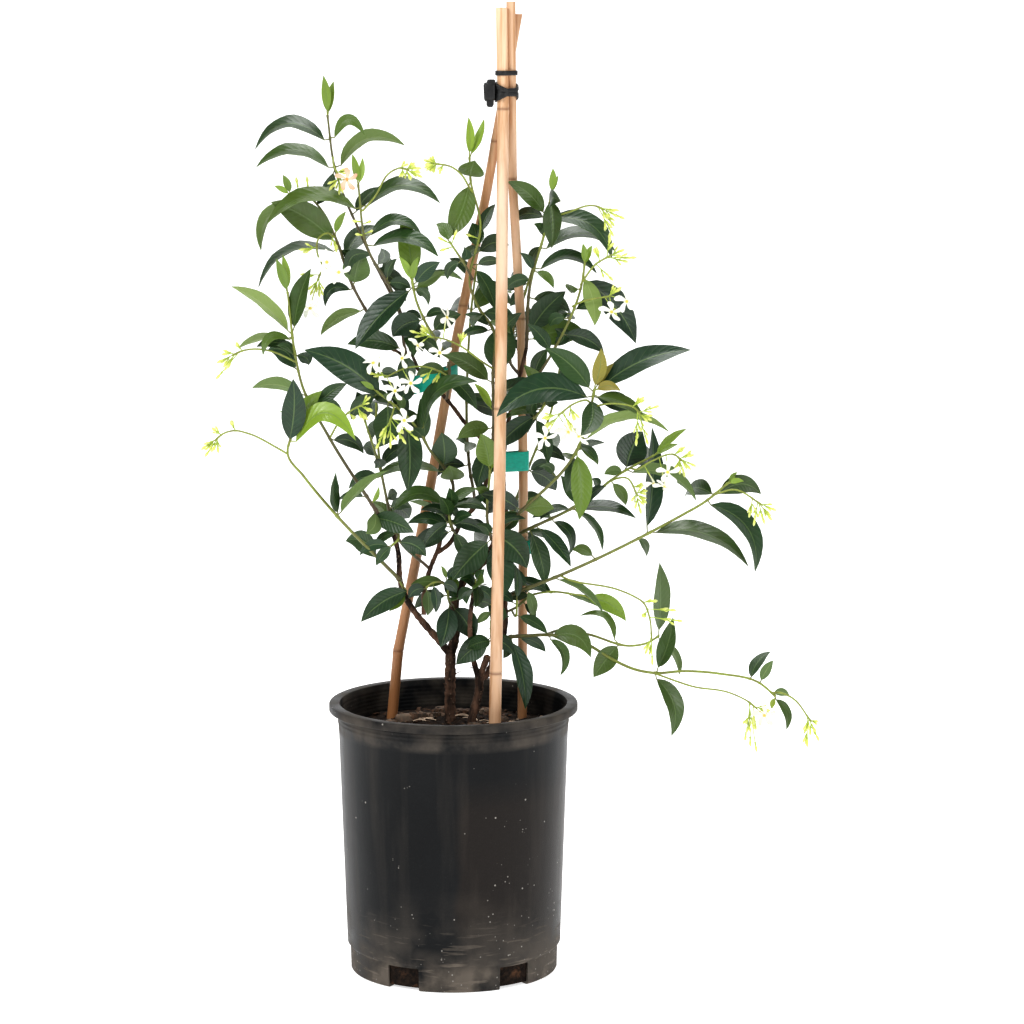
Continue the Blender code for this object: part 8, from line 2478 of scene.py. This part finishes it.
def lay_flower(mass, spot, centre, facing, draw, fading):
    """Five petals round a yellow eye, on a narrow tube. No two flowers sit or open alike."""
    facing = (facing + Vector([draw.uniform(-0.55, 0.55) for _ in range(3)])).normalized()
    side = facing.orthogonal().normalized()
    other = facing.cross(side)
    corners, faces = petal_form()
    opening = draw.choice((-0.15, -0.05, 0.0, 0.0, 0.1, 0.45))
    for petal in range(5):
        turn = math.radians(72 * petal - 4 + draw.uniform(-7, 7))
        droop = opening + draw.uniform(-0.16, 0.12)
        long, wide, roll = draw.uniform(0.86, 1.04), draw.uniform(0.8, 1.15), draw.uniform(-0.5, 0.5)
        points, tints = [], []
        for corner in corners:
            out, aside = corner.x * long, corner.y * wide
            x = out * math.cos(turn) - aside * math.sin(turn)
            y = out * math.sin(turn) + aside * math.cos(turn)
            z = corner.z + droop * corner.x ** 1.5 + roll * aside * corner.x
            points.append(centre + (side * x + other * y + facing * z) * FLOWER_R)
            eye, faded = max(0.0, 0.7 - corner.x * 4), fading * (0.4 + 0.6 * corner.x)
            tints.append((0.93 + 0.07 * corner.x, eye, faded))
        mass.add(points, faces, "bloom", tints)
    neck = centre - facing * 1.2 * MM
    route = [spot, *(spot.lerp(neck, share) for share in (0.35, 0.42, 0.5, 0.8)), neck]
    route.append(centre + facing * 0.5 * MM)
    radii = [size * MM for size in (0.45, 0.5, 0.95, 0.6, 0.8, 1.3, 1.7)]
    shares = (0.05, 0.08, 0.12, 0.55, 0.8, 0.9)
    tints = [(share, 0, fading * share) for share in shares] + [(0.6, 0.8, fading)]
    mass.sweep(route, radii, 8, "bloom", tints)


FADED = {"spray_crown_tip": 0.75, "spray_low": 0.4}


def draw_spray(name, settings):
    """A flower spray: its stalk, buds and open flowers."""
    plant = grown()
    mass = Mass(["bloom", "green_stem"])
    draw = random.Random(name)
    stem = plant.stems[name][0]
    joints = [on_stem([stem], root)[2] for root, _, _ in plant.buds[name]]
    host = on_stem(plant.stems[SPRAYS[name]["host"]], stem.route[0])
    sweep_stem(mass, stem, joints, "green_stem", lambda share: (0.12 - 0.1 * share, 0.4, 0), 7, 4 * MM, host)
    for root, centre, facing in plant.flowers[name]:
        spot, _, _ = on_stem(plant.stems[name], root)
        lay_flower(mass, spot, centre, facing, draw, FADED.get(name, 0.0))
    lay_buds(mass, name, settings.side_buds)
    mass.piece("bloom_" + name, [name], 55)


# Stage


FLOOR_GLOW = 0.55
WORLD_LIGHT = 0.32
FILL_SHARE = 0.5
TOP_SHARE = 0.7
LAMP_AIM = Vector((0, 0, 0.55))
CAMERA_TILT = 81.36


def draw_stage(settings):
    """A pale floor that rises into a backdrop, soft lamps and the camera."""
    clear_selection()
    bpy.ops.mesh.primitive_plane_add(size=1, location=(0, 0, 0))
    floor = bpy.context.object
    floor.name = "floor"
    edit_all()
    bpy.ops.transform.resize(value=(16, 12, 1), center_override=(0, 0, 0))
    pick(floor, lambda spot: spot.y > 1)
    bpy.ops.mesh.select_mode(type="EDGE")
    for forward, upward in ((0.5, 0.08), (0.45, 0.35), (0.25, 0.6), (0.05, 1.2), (0.0, 8.0)):
        bpy.ops.mesh.extrude_region_move(TRANSFORM_OT_translate={"value": (0, forward, upward)})
    bpy.ops.mesh.select_mode(type="VERT")
    bpy.ops.object.mode_set(mode="OBJECT")
    floor.data.shade_smooth()
    floor.data.materials.append(stage_finish(settings))
    floor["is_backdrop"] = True
    add_lamp("key_lamp", (-2.4, -2.6, 2.9), 1.6, settings.key)
    add_lamp("fill_lamp", (2.8, -2.4, 1.9), 1.8, settings.key * FILL_SHARE)
    add_lamp("top_lamp", (0.2, 0.6, 3.4), 1.8, settings.key * TOP_SHARE)
    world = bpy.data.worlds.new("studio")
    bpy.context.scene.world = world
    world.use_nodes = True
    background = world.node_tree.nodes["Background"]
    background.inputs["Color"].default_value = (1, 1, 1, 1)
    background.inputs["Strength"].default_value = WORLD_LIGHT
    camera = bpy.data.objects.new("camera", bpy.data.cameras.new("camera"))
    bpy.context.scene.collection.objects.link(camera)
    camera.location = EYE
    camera.rotation_euler = (math.radians(CAMERA_TILT), 0, 0)
    camera.data.lens = settings.lens
    camera.data.sensor_width = 36
    bpy.context.scene.camera = camera
    bpy.context.scene.view_settings.view_transform = "Standard"
    bpy.context.scene.view_settings.look = "Medium High Contrast"


def add_lamp(name, spot, size, power):
    lamp = bpy.data.objects.new(name, bpy.data.lights.new(name, "AREA"))
    bpy.context.scene.collection.objects.link(lamp)
    lamp.data.energy = power
    lamp.data.size = size
    lamp.location = spot
    lamp.rotation_euler = (LAMP_AIM - Vector(spot)).to_track_quat("-Z", "Y").to_euler()


# The add-on's operators, panel and run


class JASMINE_OT_pot(bpy.types.Operator):
    """Draws the nursery pot with its rim, ridges and drain slots"""

    bl_idname = "jasmine.make_pot"
    bl_label = "Pot"

    def execute(self, context):
        draw_pot(context.scene.jasmine_pot)
        return {"FINISHED"}


class JASMINE_OT_soil(bpy.types.Operator):
    """Draws the soil with its bark chips and root hairs"""

    bl_idname = "jasmine.make_soil"
    bl_label = "Soil"

    def execute(self, context):
        chip_finish()
        draw_soil(context.scene.jasmine_pot)
        draw_chips(context.scene.jasmine_pot)
        return {"FINISHED"}


class JASMINE_OT_canes(bpy.types.Operator):
    """Draws the three canes"""

    bl_idname = "jasmine.make_canes"
    bl_label = "Canes"

    def execute(self, context):
        cane_finish(context.scene.jasmine_canes)
        for name in CANES:
            draw_cane(name, context.scene.jasmine_canes)
        return {"FINISHED"}


class JASMINE_OT_bands(bpy.types.Operator):
    """Draws the rubber ties and the tapes round the canes"""

    bl_idname = "jasmine.make_bands"
    bl_label = "Ties and tapes"

    def execute(self, context):
        draw_bands(context.scene.jasmine_canes)
        return {"FINISHED"}


class JASMINE_OT_wood(bpy.types.Operator):
    """Draws the two trunks with their branches"""

    bl_idname = "jasmine.make_wood"
    bl_label = "Wood"

    def execute(self, context):
        bark_finish(context.scene.jasmine_leaves)
        for name in WOOD:
            draw_wood(name)
        return {"FINISHED"}


class JASMINE_OT_shoots(bpy.types.Operator):
    """Draws every leafy stem"""

    bl_idname = "jasmine.make_shoots"
    bl_label = "Leafy stems"

    def execute(self, context):
        leaf_finish(context.scene.jasmine_leaves)
        stem_finish(context.scene.jasmine_leaves)
        bloom_finish(context.scene.jasmine_flowers)
        for name in stem_table():
            draw_shoot(name, context.scene.jasmine_leaves)
        return {"FINISHED"}


class JASMINE_OT_sprays(bpy.types.Operator):
    """Draws every flower spray"""

    bl_idname = "jasmine.make_sprays"
    bl_label = "Flower sprays"

    def execute(self, context):
        for name in SPRAYS:
            draw_spray(name, context.scene.jasmine_flowers)
        return {"FINISHED"}


class JASMINE_OT_stage(bpy.types.Operator):
    """Sets the floor, the lamps and the camera"""

    bl_idname = "jasmine.make_stage"
    bl_label = "Stage"

    def execute(self, context):
        draw_stage(context.scene.jasmine_stage)
        return {"FINISHED"}


SETTINGS = {
    "jasmine_pot": PotSettings, "jasmine_canes": CaneSettings, "jasmine_leaves": LeafSettings,
    "jasmine_flowers": FlowerSettings, "jasmine_stage": StageSettings,
}
OPERATORS = (
    JASMINE_OT_pot, JASMINE_OT_soil, JASMINE_OT_canes, JASMINE_OT_bands,
    JASMINE_OT_wood, JASMINE_OT_shoots, JASMINE_OT_sprays, JASMINE_OT_stage,
)


class JASMINE_PT_panel(bpy.types.Panel):
    bl_label = "Potted star jasmine"
    bl_idname = "JASMINE_PT_panel"
    bl_space_type = "VIEW_3D"
    bl_region_type = "UI"
    bl_category = "Jasmine"

    def draw(self, context):
        for name, group in SETTINGS.items():
            box = self.layout.box()
            for key in group.__annotations__:
                box.prop(getattr(context.scene, name), key)
        for operator in OPERATORS:
            self.layout.operator(operator.bl_idname)


def register():
    for name, group in SETTINGS.items():
        bpy.utils.register_class(group)
        setattr(bpy.types.Scene, name, bpy.props.PointerProperty(type=group))
    for kind in (*OPERATORS, JASMINE_PT_panel):
        bpy.utils.register_class(kind)


def unregister():
    for kind in (JASMINE_PT_panel, *reversed(OPERATORS)):
        bpy.utils.unregister_class(kind)
    for name, group in SETTINGS.items():
        delattr(bpy.types.Scene, name)
        bpy.utils.unregister_class(group)


def main():
    register()
    bpy.ops.jasmine.make_pot()
    bpy.ops.jasmine.make_soil()
    bpy.ops.jasmine.make_canes()
    bpy.ops.jasmine.make_bands()
    bpy.ops.jasmine.make_wood()
    bpy.ops.jasmine.make_shoots()
    bpy.ops.jasmine.make_sprays()
    bpy.ops.jasmine.make_stage()
    [[list(corner) for corner in box] for box in (CAD_BOX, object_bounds())]


if __name__ == "__main__":
    main()
